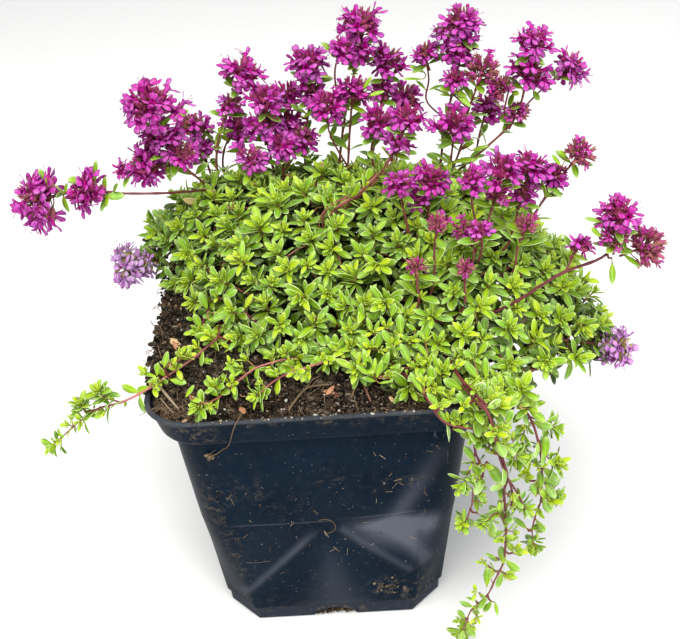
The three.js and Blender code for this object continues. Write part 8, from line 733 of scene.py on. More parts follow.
def sep(nt, col):
    n = node(nt, "ShaderNodeSeparateColor")
    nt.links.new(col, n.inputs[0])
    return n.outputs[0], n.outputs[1], n.outputs[2]


def coords(nt):
    return node(nt, "ShaderNodeTexCoord").outputs["Object"]


def noise(nt, vec, scale, detail=3.0, rough=0.55, out=0):
    n = node(nt, "ShaderNodeTexNoise", ins={"Scale": scale, "Detail": detail, "Roughness": rough})
    nt.links.new(vec, n.inputs["Vector"])
    return n.outputs[out]


def bump(nt, bs, height, strength, distance):
    n = node(nt, "ShaderNodeBump", ins={"Strength": strength, "Distance": distance})
    nt.links.new(height, n.inputs["Height"])
    nt.links.new(n.outputs[0], bs.inputs["Normal"])
    return n


def tint_of(nt):
    a = node(nt, "ShaderNodeAttribute", attribute_name="tint")
    r, g, b = sep(nt, a.outputs["Color"])
    return r, g, b, a.outputs["Alpha"]


def uv_of(nt):
    n = node(nt, "ShaderNodeUVMap", uv_map="Leaf")
    s = node(nt, "ShaderNodeSeparateXYZ")
    nt.links.new(n.outputs[0], s.inputs[0])
    return s.outputs[0], s.outputs[1]


def leaf_material():
    mt, nt, bs = new_mat("thyme_leaf", (0.22, 0.36, 0.03), 0.36)
    age, rnd, dry, dark = tint_of(nt)
    u, v = uv_of(nt)
    co = coords(nt)
    base = ramp(nt, age, [(0.0, (0.058, 0.160, 0.001)), (0.3, (0.165, 0.335, 0.002)), (0.6, (0.32, 0.510, 0.004)), (0.8, (0.49, 0.645, 0.005)), (1.0, (0.61, 0.72, 0.009))])
    cool = mix(nt, math_(nt, "MULTIPLY", math_(nt, "SUBTRACT", rnd, 0.5), 1.1, True), base, (0.21, 0.44, 0.085))
    warm = mix(nt, math_(nt, "MULTIPLY", math_(nt, "SUBTRACT", 0.35, rnd), 1.2, True), cool, (0.42, 0.52, 0.012))
    # painted light: leaves whose random value passes 1 (those of the trailing stems) are turned paler and whiter, as if
    # lit from the front; this also whitens their margins below
    front_lit_pale = math_(nt, "MULTIPLY", math_(nt, "SUBTRACT", rnd, 1.0), 1.6, True)
    warm = mix(nt, math_(nt, "MULTIPLY", front_lit_pale, 0.80), warm, (0.40, 0.56, 0.15))
    n1 = noise(nt, co, 620.0, 3.0)
    base = mix(nt, math_(nt, "MULTIPLY", n1, 0.22), warm, (0.34, 0.55, 0.05))
    # distance from the midrib, 0 to 1 at the edge
    t = math_(nt, "ABSOLUTE", math_(nt, "MULTIPLY", math_(nt, "SUBTRACT", u, 0.5), 2.0))
    # painted highlight on the margins and tip: a paler margin brightened into the glint of the rolled edges, fainter on
    # younger leaves
    edge = ramp(nt, t, [(0.72, (0, 0, 0)), (0.92, (1, 1, 1))])
    tipness = math_(nt, "POWER", v, 9.0)
    rim_highlight = math_(nt, "MAXIMUM", edge, tipness, True)
    # darker green between the rib and the margin
    mid = math_(nt, "MULTIPLY", math_(nt, "MULTIPLY", t, math_(nt, "SUBTRACT", 1.0, t, True)), 2.2, True)
    base = mix(nt, math_(nt, "MULTIPLY", mid, 0.70), base, (0.045, 0.155, 0.002))
    rim_highlight_amount = math_(nt, "ADD", math_(nt, "SUBTRACT", 0.88, math_(nt, "MULTIPLY", age, 0.42)), math_(nt, "MULTIPLY", front_lit_pale, 0.3), True)
    base = mix(nt, math_(nt, "MULTIPLY", rim_highlight, rim_highlight_amount), base, mix(nt, front_lit_pale, (0.66, 0.77, 0.35), (0.72, 0.82, 0.52)))
    # paler midrib: partly its own colour, partly a painted highlight
    rib = math_(nt, "MULTIPLY", math_(nt, "POWER", math_(nt, "SUBTRACT", 1.0, t, True), 16.0), math_(nt, "SUBTRACT", 1.15, v, True))
    base = mix(nt, math_(nt, "MULTIPLY", rib, 0.55), base, (0.50, 0.70, 0.18))
    # yellower towards the base of the leaf
    foot = math_(nt, "POWER", math_(nt, "SUBTRACT", 1.0, v, True), 3.0)
    base = mix(nt, math_(nt, "MULTIPLY", foot, 0.45), base, (0.50, 0.60, 0.010))
    base = mix(nt, dry, base, ramp(nt, rnd, [(0.0, (0.16, 0.06, 0.03)), (0.5, (0.36, 0.17, 0.09)), (1.0, (0.60, 0.44, 0.24))]))
    # painted shade: the tint's last channel darkens leaves deep in the cushion and low on the shoots
    base = mix(nt, dark, base, (0.008, 0.020, 0.0004))
    nt.links.new(base, bs.inputs["Base Color"])
    nt.links.new(ramp(nt, n1, [(0.3, (0.15,) * 3), (0.7, (0.29,) * 3)]), bs.inputs["Roughness"])
    veins = node(nt, "ShaderNodeTexWave", wave_type="BANDS", bands_direction="Y", ins={"Scale": 2.6, "Distortion": 2.0, "Detail": 1.0})
    cv = node(nt, "ShaderNodeCombineXYZ")
    nt.links.new(u, cv.inputs[0])
    nt.links.new(math_(nt, "SUBTRACT", v, math_(nt, "MULTIPLY", t, 0.35)), cv.inputs[1])
    nt.links.new(cv.outputs[0], veins.inputs["Vector"])
    h = math_(nt, "ADD", math_(nt, "MULTIPLY", veins.outputs[1], 0.4), math_(nt, "MULTIPLY", noise(nt, co, 1700.0, 2.0), 0.8))
    bump(nt, bs, h, 0.35, 0.00014)
    bs.inputs["Subsurface Weight"].default_value = 0.12
    bs.inputs["Subsurface Radius"].default_value = (0.7, 1.0, 0.2)
    bs.inputs["Subsurface Scale"].default_value = 0.0005
    bs.inputs["Specular IOR Level"].default_value = 0.21
    return mt


def stem_material():
    mt, nt, bs = new_mat("thyme_stem", (0.16, 0.04, 0.03), 0.5)
    red, rnd, dry, dark = tint_of(nt)
    co = coords(nt)
    base = ramp(nt, red, [(0.0, (0.26, 0.30, 0.04)), (0.35, (0.32, 0.16, 0.06)), (0.7, (0.21, 0.048, 0.042)), (1.0, (0.105, 0.010, 0.022))])
    n1 = noise(nt, co, 700.0, 3.0)
    base = mix(nt, math_(nt, "MULTIPLY", n1, 0.26), base, (0.26, 0.11, 0.07))
    base = mix(nt, math_(nt, "MULTIPLY", math_(nt, "SUBTRACT", rnd, 0.85, True), 6.0, True), base, (0.46, 0.17, 0.15))
    base = mix(nt, dry, base, (0.26, 0.16, 0.08))
    # painted shade: the tint's last channel darkens stems towards their feet deep in the cushion; the dead twigs on the
    # compost are darkened by it too
    base = mix(nt, dark, base, (0.015, 0.011, 0.006))
    nt.links.new(base, bs.inputs["Base Color"])
    bs.inputs["Specular IOR Level"].default_value = 0.3
    bump(nt, bs, noise(nt, co, 2600.0, 2.0), 0.5, 0.0001)
    return mt


def petal_material():
    mt, nt, bs = new_mat("thyme_petal", (0.50, 0.008, 0.40), 0.5)
    light, hue, pale, dark = tint_of(nt)
    u, v = uv_of(nt)
    co = coords(nt)
    base = ramp(nt, v, [(0.0, (0.27, 0.003, 0.12)), (0.30, (0.39, 0.006, 0.22)), (0.42, (0.44, 0.014, 0.31)), (0.72, (0.42, 0.036, 0.33)), (1.0, (0.41, 0.075, 0.35))])
    base = mix(nt, math_(nt, "MULTIPLY", hue, 0.6), base, (0.42, 0.008, 0.22))
    violet = math_(nt, "MULTIPLY", math_(nt, "SUBTRACT", light, 0.45), 1.2, True)
    base = mix(nt, violet, base, (0.43, 0.13, 0.47))
    # painted highlight: paler patches towards the middle of each lobe
    n1 = noise(nt, co, 750.0, 3.0)
    lobe_highlight = math_(nt, "MULTIPLY", ramp(nt, n1, [(0.46, (0, 0, 0)), (0.70, (1, 1, 1))]), ramp(nt, v, [(0.40, (0, 0, 0)), (0.65, (1, 1, 1))]))
    base = mix(nt, math_(nt, "MULTIPLY", lobe_highlight, 0.42), base, (0.48, 0.27, 0.46))
    sp = ramp(nt, noise(nt, co, 2100.0, 1.0), [(0.56, (0, 0, 0)), (0.64, (1, 1, 1))])
    throat = math_(nt, "MULTIPLY", sp, ramp(nt, v, [(0.34, (0, 0, 0)), (0.42, (1, 1, 1)), (0.55, (0.5,) * 3), (0.7, (0, 0, 0))]))
    base = mix(nt, math_(nt, "MULTIPLY", throat, 0.6), base, (0.85, 0.45, 0.82))
    base = mix(nt, math_(nt, "SUBTRACT", light, 1.0, True), base, (0.60, 0.39, 0.64))
    base = mix(nt, pale, base, (0.56, 0.17, 0.31))
    base = mix(nt, dark, base, (0.14, 0.002, 0.050))
    nt.links.new(base, bs.inputs["Base Color"])
    bs.inputs["Specular IOR Level"].default_value = 0.12
    bs.inputs["Subsurface Weight"].default_value = 0.28
    bs.inputs["Subsurface Radius"].default_value = (1.0, 0.1, 0.8)
    bs.inputs["Subsurface Scale"].default_value = 0.0005
    bump(nt, bs, noise(nt, co, 1500.0, 3.0), 0.4, 0.00014)
    return mt


def calyx_material():
    mt, nt, bs = new_mat("thyme_calyx", (0.12, 0.006, 0.025), 0.55)
    green, rnd, pale, dark = tint_of(nt)
    u, v = uv_of(nt)
    co = coords(nt)
    base = ramp(nt, v, [(0.0, (0.24, 0.034, 0.050)), (0.4, (0.28, 0.008, 0.105)), (1.0, (0.41, 0.010, 0.195))])
    base = mix(nt, green, base, (0.25, 0.19, 0.05))
    rib = ramp(nt, node_wave(nt, u, 10.0), [(0.3, (0, 0, 0)), (0.8, (1, 1, 1))])
    base = mix(nt, math_(nt, "MULTIPLY", rib, 0.34), base, (0.42, 0.06, 0.19))
    base = mix(nt, math_(nt, "MULTIPLY", noise(nt, co, 1100.0, 3.0), 0.18), base, (0.09, 0.001, 0.030))
    base = mix(nt, math_(nt, "MULTIPLY", math_(nt, "GREATER_THAN", rnd, 0.8), 0.35), base, (0.52, 0.13, 0.24))
    base = mix(nt, pale, base, (0.44, 0.44, 0.11))
    nt.links.new(base, bs.inputs["Base Color"])
    bs.inputs["Specular IOR Level"].default_value = 0.15
    bump(nt, bs, math_(nt, "ADD", rib, noise(nt, co, 2400.0, 2.0)), 0.5, 0.00012)
    return mt


def node_wave(nt, x, n):
    return math_(nt, "ADD", math_(nt, "MULTIPLY", math_(nt, "SINE", math_(nt, "MULTIPLY", x, n * 2 * math.pi)), 0.5), 0.5)


def soil_material():
    mt, nt, bs = new_mat("compost", (0.035, 0.022, 0.014), 0.9)
    kind, rnd, white, wet = tint_of(nt)
    co = coords(nt)
    n1 = noise(nt, co, 420.0, 6.0, 0.65)
    n2 = noise(nt, co, 1500.0, 4.0, 0.7)
    base = ramp(nt, n1, [(0.37, (0.0018, 0.0014, 0.0010)), (0.50, (0.0085, 0.0062, 0.0044)), (0.60, (0.040, 0.030, 0.020)), (0.72, (0.15, 0.120, 0.084))])
    base = mix(nt, ramp(nt, n2, [(0.55, (0, 0, 0)), (0.65, (0.80,) * 3)]), base, (0.175, 0.142, 0.104))
    fib = ramp(nt, rnd, [(0.0, (0.030, 0.020, 0.013)), (0.4, (0.085, 0.057, 0.035)), (0.75, (0.24, 0.170, 0.105)), (1.0, (0.50, 0.41, 0.29))])
    base = mix(nt, kind, base, mix(nt, math_(nt, "MULTIPLY", n2, 0.5), fib, (0.08, 0.04, 0.02)))
    base = mix(nt, white, base, mix(nt, n2, (0.66, 0.64, 0.60), (0.40, 0.38, 0.34)))
    nt.links.new(base, bs.inputs["Base Color"])
    bs.inputs["Roughness"].default_value = 0.8
    bs.inputs["Specular IOR Level"].default_value = 0.05
    bump(nt, bs, math_(nt, "ADD", n1, math_(nt, "MULTIPLY", n2, 0.5)), 1.0, 0.0008)
    return mt


def pot_material():
    mt, nt, bs = new_mat("pot_plastic", (0.011, 0.016, 0.023), 0.42)
    wear, dirt, painted_sheen, lip_highlight = tint_of(nt)
    co = coords(nt)
    n1 = noise(nt, co, 60.0, 4.0)
    base = ramp(nt, n1, [(0.3, (0.0006, 0.0050, 0.0125)), (0.7, (0.0018, 0.0085, 0.0185))])
    # dusty film
    film = noise(nt, co, 25.0, 5.0, 0.6)
    base = mix(nt, math_(nt, "MULTIPLY", ramp(nt, film, [(0.45, (0, 0, 0)), (0.75, (1, 1, 1))]), 0.16), base, (0.009, 0.019, 0.031))
    # painted reflection: the sheen channel lightens the front wall where the star's facets, ribs and crease catch the
    # light, and round the foot
    base = mix(nt, math_(nt, "MULTIPLY", painted_sheen, 0.9), base, (0.088, 0.096, 0.124))
    # specks: splashed compost dust, small and large
    def specks(scale, lo, hi, seed, dens):
        mp = node(nt, "ShaderNodeMapping")
        mp.inputs["Location"].default_value = (seed, seed * 0.7, seed * 1.3)
        nt.links.new(co, mp.inputs[0])
        vo = node(nt, "ShaderNodeTexVoronoi", ins={"Scale": scale, "Randomness": 1.0})
        nt.links.new(mp.outputs[0], vo.inputs["Vector"])
        d = ramp(nt, vo.outputs["Distance"], [(lo, (1, 1, 1)), (hi, (0, 0, 0))])
        r, g, b = sep(nt, vo.outputs["Color"])
        keep = math_(nt, "GREATER_THAN", r, dens)
        return math_(nt, "MULTIPLY", d, keep)
    patch = ramp(nt, noise(nt, co, 48.0, 3.0), [(0.42, (0, 0, 0)), (0.62, (1, 1, 1))])
    s1 = math_(nt, "MULTIPLY", specks(420.0, 0.05, 0.16, 3.1, 0.78), math_(nt, "ADD", math_(nt, "MULTIPLY", patch, 0.8), 0.12, True))
    s2 = specks(1000.0, 0.10, 0.24, 7.7, 0.90)
    base = mix(nt, math_(nt, "MULTIPLY", s1, 0.60), base, (0.23, 0.20, 0.16))
    base = mix(nt, math_(nt, "MULTIPLY", s2, 0.40), base, (0.19, 0.20, 0.21))
    # smeared dirt
    dn = noise(nt, co, 420.0, 5.0, 0.75)
    dd = math_(nt, "MULTIPLY", dirt, ramp(nt, dn, [(0.50, (0, 0, 0)), (0.64, (1, 1, 1))]))
    base = mix(nt, math_(nt, "MULTIPLY", dd, 0.75), base, ramp(nt, noise(nt, co, 900.0, 2.0), [(0.3, (0.040, 0.030, 0.022)), (0.6, (0.145, 0.115, 0.082)), (0.8, (0.32, 0.265, 0.195))]))
    # scratches
    mp = node(nt, "ShaderNodeMapping")
    mp.inputs["Scale"].default_value = (1.0, 1.0, 0.06)
    mp.inputs["Rotation"].default_value = (0.0, 0.22, 0.0)
    nt.links.new(co, mp.inputs[0])
    sc = noise(nt, mp.outputs[0], 900.0, 2.0)
    scr = ramp(nt, sc, [(0.66, (0, 0, 0)), (0.70, (1, 1, 1))])
    base = mix(nt, math_(nt, "MULTIPLY", scr, math_(nt, "ADD", math_(nt, "MULTIPLY", wear, 0.36), 0.03)), base, (0.105, 0.115, 0.13))
    # painted highlight along the lip, mottled by noise
    base = mix(nt, math_(nt, "MULTIPLY", lip_highlight, math_(nt, "ADD", 0.20, math_(nt, "MULTIPLY", n1, 0.6)), True), base, (0.10, 0.105, 0.115))
    nt.links.new(base, bs.inputs["Base Color"])
    rg = math_(nt, "ADD", math_(nt, "MULTIPLY", film, 0.22), 0.27)
    rg = math_(nt, "ADD", rg, math_(nt, "MULTIPLY", dd, 0.4), True)
    nt.links.new(rg, bs.inputs["Roughness"])
    h = math_(nt, "ADD", math_(nt, "MULTIPLY", noise(nt, co, 1300.0, 3.0), 0.25), math_(nt, "MULTIPLY", math_(nt, "ADD", dd, s1), 0.9))
    bump(nt, bs, h, 0.35, 0.0003)
    bs.inputs["Specular IOR Level"].default_value = 0.03
    return mt


M_LEAF, M_STEM, M_PETAL, M_CALYX, M_SOIL, M_POT = leaf_material(), stem_material(), petal_material(), calyx_material(), soil_material(), pot_material()
PLANT_MATS = [M_LEAF, M_STEM, M_PETAL, M_CALYX]


# ------------------------------------------------------------------ plant pieces
def rosette(part, p, n, size=1.0, layer=0, young=0.0, shade=0.0, pairs=5, spin=None, wide=1.0):
    """pairs of leaves crossed at right angles round a shoot tip"""
    p, n = np.asarray(p, float), unit(n)
    a = perp(n)
    spin = rng.uniform(0, math.pi) if spin is None else spin
    spec = [(5.6, 1.85, 82, -3.1, 0.06), (5.7, 1.90, 68, -2.1, 0.20), (5.5, 1.80, 54, -1.2, 0.38), (4.7, 1.55, 41, -0.5, 0.62), (3.6, 1.2, 28, 0.0, 0.84), (2.4, 0.9, 16, 0.3, 0.97), (1.4, 0.6, 8, 0.5, 1.0)]
    if layer:
        spec = [(5.8, 2.1, 82, -2.6, 0.0), (5.4, 2.0, 62, -1.2, 0.2), (4.4, 1.7, 44, -0.4, 0.4), (3.0, 1.2, 26, 0.1, 0.6)]
    if layer == 2:
        spec = spec[:3]
    start = max(0, len(spec) - 1 - pairs) if pairs < 4 else 0
    for k, (L, W, el, off, age) in enumerate(spec):
        if k < start:
            continue
        for s in (0, 1):
            if k == 0 and rng.random() < 0.10:
                continue
            ph = spin + k * math.pi / 2 + s * math.pi + rng.normal(0, 0.20)
            e = math.radians(el + rng.normal(0, 8))
            side = turn(a, n, ph)
            along = side * math.sin(e) + n * math.cos(e)
            nrm = n * math.sin(e) - side * math.cos(e)
            nrm = nrm + np.cross(along, nrm) * rng.normal(0, 0.22)
            at = p + n * off * size + side * 0.22
            sz = size * rng.uniform(0.86, 1.14)
            # shade is painted shade, darkening the whole rosette
            tint = (np.clip(age + young + rng.normal(0, 0.10), 0, 1), rng.random(), 0.0 if rng.random() > 0.008 else 0.8, shade)
            add_leaf(part, at, along, nrm, L * sz, W * sz * wide * rng.uniform(0.9, 1.15), tint, prof="oval" if wide > 1.1 and rng.random() < 0.7 else None, fold=rng.uniform(0.22, 0.60) + 0.12 * (k > 2), curl=rng.uniform(0.05, 0.75) if k < 4 else rng.uniform(-0.25, 0.15), twist=rng.normal(0, 0.25), wave=0.03)
            if layer or k > 3 or pairs < 4:
                continue
            # small leaves in the axils
            for q in (-1, 1):
                if rng.random() > 0.62:
                    continue
                ph2 = ph + q * rng.uniform(0.45, 0.85)
                side2 = turn(a, n, ph2)
                e2 = math.radians(el - rng.uniform(10, 30))
                al2 = side2 * math.sin(e2) + n * math.cos(e2)
                nr2 = n * math.sin(e2) - side2 * math.cos(e2)
                k2 = size * rng.uniform(0.48, 0.72)
                add_leaf(part, at + side2 * 0.3 + n * 0.2, al2, nr2, L * k2, W * k2 * 1.05 * wide, (np.clip(age + 0.22 + young + rng.normal(0, 0.12), 0, 1), rng.random(), 0.0, shade), fold=rng.uniform(0.25, 0.6), curl=rng.uniform(-0.1, 0.5), twist=rng.normal(0, 0.3), wave=0.03)


def leaf_pair(part, at, axis, ph, L, W, el, age, shade=0.0, chance=1.0, dry=0.0, light=(0, -0.25, 0.8), pull=0.9, cool=0.0):
    a = perp(axis)
    for s in (0, 1):
        if rng.random() > chance:
            continue
        side = turn(a, axis, ph + s * math.pi + rng.normal(0, 0.2))
        e = math.radians(el + rng.normal(0, 9))
        along = side * math.sin(e) + np.asarray(axis) * math.cos(e)
        nrm = np.asarray(axis) * math.sin(e) - side * math.cos(e)
        # leaves turn their faces to the light
        nrm = nrm + np.array(light) * pull
        k = rng.uniform(0.85, 1.15)
        # cool above 1 lets the leaf's random value pass 1, which the leaf material turns into painted light (a paler,
        # whiter leaf)
        add_leaf(part, np.asarray(at) + side * 0.25, along, nrm, L * k, W * k, (np.clip(age + rng.normal(0, 0.1), 0, 1), rng.uniform(min(cool, 1.0) * 0.9, max(1.0, cool)), dry, shade), fold=rng.uniform(0.15, 0.45), curl=rng.uniform(0.1, 0.7), twist=rng.normal(0, 0.25), wave=0.03)


def shoot(part, st, p, n, layer, red=0.5):
    st, p, n = np.asarray(st, float), np.asarray(p, float), unit(n)
    base = p - n * 2.6
    mid = st + (base - st) * 0.55 + n * -1.2 + rng.normal(0, 0.5, 3)
    pts = resample([st, mid, base, p], 10)
    # the stem darkens towards its foot with painted shade (last tint column)
    add_tube(part, pts, [0.33, 0.28, 0.24], 1, np.array([[red, rng.random(), 0, 0.5], [red * 0.7, rng.random(), 0, 0.2], [0.15, rng.random(), 0, 0]]), sides=5, step=2.4, cap=False)
    return pts


def flower(part, at, along, normal, scale, state, kind, palette):
    """one flower: calyx, and an open corolla, a bud, or nothing in it"""
    green, light, hue, pale = palette
    cal = CALYX[rng.integers(len(CALYX))] if state == "open" or rng.random() < 0.4 else CALYX_SHUT[rng.integers(len(CALYX_SHUT))]
    cell = part.cells
    part.cells += 1
    gt = (np.clip(green + rng.normal(0, 0.12), 0, 1), rng.random(), {"p": rng.uniform(0.4, 0.95), "b": rng.uniform(0.0, 0.28), "o": 0.0}[kind], 0)
    put(part, cal, at, along, normal, scale, 3, gt, cell)
    if state == "open":
        put(part, COROLLA[rng.integers(len(COROLLA))], at, along, normal, scale, 2, (np.clip(light + rng.normal(0, 0.22), 0, 2.0 if kind == "p" else 1.0), np.clip(hue + rng.normal(0, 0.3), 0, 1), pale, 0), cell)
        if rng.random() < 0.45:
            put(part, STAMEN[rng.integers(len(STAMEN))], at, along, normal, scale, 2, (0.35, 0.6, pale, 0.25), cell)
    elif state == "bud":
        put(part, BUD[0], at, along, normal, scale * rng.uniform(0.8, 1.0), 2, (0.05, 1.0, pale * 0.6, rng.uniform(0.15, 0.65)), cell)


FLOWER_REACH = {"open": 5.7, "bud": 3.9, "bare": 3.2}


def head(part, pos, d, R, L, kind, bracts=True):
    """a round head: a dense core of calyces, and open flowers that reach the ellipsoid of radius R"""
    pos, d = np.asarray(pos, float), unit(d)
    a = perp(d)
    A = R * 0.92
    lo = -A * 0.75
    big = float(np.clip(0.50 + R * 0.072, 0.66, 1.06))
    palette = (0.10 + 0.45 * rng.random() ** 2, 0.12 + 0.46 * rng.random(), 0.10 + 0.5 * rng.random(), 0.0)
    if kind == "p":
        palette = (0.8, 1.7 if d[0] < 0 else 1.45, 0.0, 0.0)
    if kind == "b":
        palette = (0.12, 0.10, 0.80, 0.5)
    add_tube(part, [pos + d * (lo - 2.5), pos + d * (lo * 0.4), pos + d * A * 0.2], [0.34, 0.32, 0.24], 1, (0.85, 0.6 * rng.random(), 0, 0.1), sides=5, step=2.5)
    rot0 = rng.uniform(0, 6.28)

    axes = [unit(rng.normal(0, 1, 3)) for _ in range(3)]

    def lumpy(u):
        """how far the head bulges that way"""
        return 0.90 + 0.26 * max(np.dot(u, q) for q in axes) ** 3 - 0.10 * abs(np.dot(u, axes[0]))

    def ray_(i, n, lo_s, hi_s, jit):
        s = (i + 0.5) / n
        ph = rot0 + i * 2.39996 + rng.normal(0, jit)
        el = math.asin(max(-0.99, min(0.99, lo_s + (hi_s - lo_s) * s))) + rng.normal(0, 0.08)
        return turn(a, d, ph), el, s

    def stalk(at, size):
        h = float(np.clip(np.dot(at - pos, d) - 1.0, lo - 1.0, A * 0.2))
        root = pos + d * h
        add_tube(part, [root, root + (at - root) * 0.55 - d * 0.2, at], 0.15 * size + 0.03, 1, (0.9, 0.6 * rng.random(), 0, 0.15), sides=4, step=2.4, cap=False)

    if kind == "b":
        n = int(16 + R * R * 1.5)
        sc = float(np.clip(0.42 + R * 0.052, 0.5, 0.82))
        for i in range(n):
            side, el, s = ray_(i, n, -0.62, 0.98, 0.2)
            q_ = rng.random()
            state = "bud" if q_ < 0.24 else ("bare" if q_ < 0.91 else "open")
            r_ = rng.uniform(0.66, 0.92) * (1.15 if state == "open" else 1.0)
            tip = pos + (side * math.cos(el) * R + d * math.sin(el) * A) * r_
            reach = FLOWER_REACH[state] * sc * (0.75 if state == "open" else 1.0)
            along = unit(unit(tip - pos) + d * 0.25 + rng.normal(0, 0.12, 3))
            at = tip - along * reach
            if rng.random() < 0.5:
                stalk(at, sc)
            flower(part, at, along, d * math.cos(el) - side * math.sin(el) + rng.normal(0, 0.3, 3), sc * {"bud": 0.95, "bare": 1.1, "open": 0.9}[state], state, kind, (palette[0], palette[1], palette[2], rng.uniform(0.0, 0.25)))
    else:
        # the core: calyces and buds, which also crown the head
        n = int(15 + R * R * 0.78) if kind == "o" else int(6 + R * R * 0.34)
        sc = 0.68 * big
        for i in range(n):
            side, el, s = ray_(i, n, -0.40, 0.99, 0.3)
            u = unit(side * math.cos(el) * R + d * math.sin(el) * A)
            r_ = (rng.uniform(0.62, 0.84) if s > 0.62 else rng.uniform(0.54, 0.78)) * lumpy(u)
            tip = pos + (side * math.cos(el) * R + d * math.sin(el) * A) * r_
            state = "bud" if rng.random() < 0.24 else "bare"
            along = unit(unit(tip - pos) + d * 0.45 + rng.normal(0, 0.16, 3))
            at = tip - along * FLOWER_REACH[state] * sc
            if i % 2 == 0:
                stalk(at, sc)
            flower(part, at, along, d * math.cos(el) - side * math.sin(el) + rng.normal(0, 0.3, 3), sc, state, kind, palette)
        # open flowers, most of them round the sides
        n = int((4 + (R / 7.0) ** 2 * 14) * (1.0 if kind == "o" else 1.35))
        for i in range(n):
            side, el, s = ray_(i, n, -0.60, 0.90, 0.26)
            if s > 0.68 and rng.random() < (s - 0.68) * 2.0:
                continue
            u = unit(side * math.cos(el) * R + d * math.sin(el) * A)
            r_ = rng.uniform(0.84, 1.13) * lumpy(u)
            tip = pos + (side * math.cos(el) * R + d * math.sin(el) * A) * r_
            sz = big * rng.uniform(1.0, 1.26)
            along = unit(unit(tip - pos) + d * 0.22 + np.array([0, 0, 0.10]) + rng.normal(0, 0.20, 3))
            at = tip - along * FLOWER_REACH["open"] * sz * 0.98
            stalk(at, sz)
            flower(part, at, along, d * math.cos(el) - side * math.sin(el) + rng.normal(0, 0.25, 3), sz, "open", kind, palette)
    if bracts:
        for k in range(4 if R > 5 else 3):
            ph = rot0 + k * 2.2 + rng.normal(0, 0.3)
            side = turn(a, d, ph)
            at = pos + d * (lo - 0.6 - 0.8 * (k % 2))
            along = side * 0.9 + d * rng.uniform(-0.1, 0.6)
            add_leaf(part, at, along, d * 0.5 + np.array([0, -0.55, 0.6]), rng.uniform(4.6, 6.8), rng.uniform(1.7, 2.4), (rng.uniform(0.05, 0.50), rng.random(), 0, 0.08), prof="lance", fold=0.3, curl=rng.uniform(0, 0.6))


STEM_LOOK = {"flower_stem_leaning": (0.36, 0.26, 0.62, 0.95), "flower_stem_right": (0.44, 0.32, 1.0, 0.5), "flower_stem_far_left": (0.32, 0.27, 1.0, 0.4)}


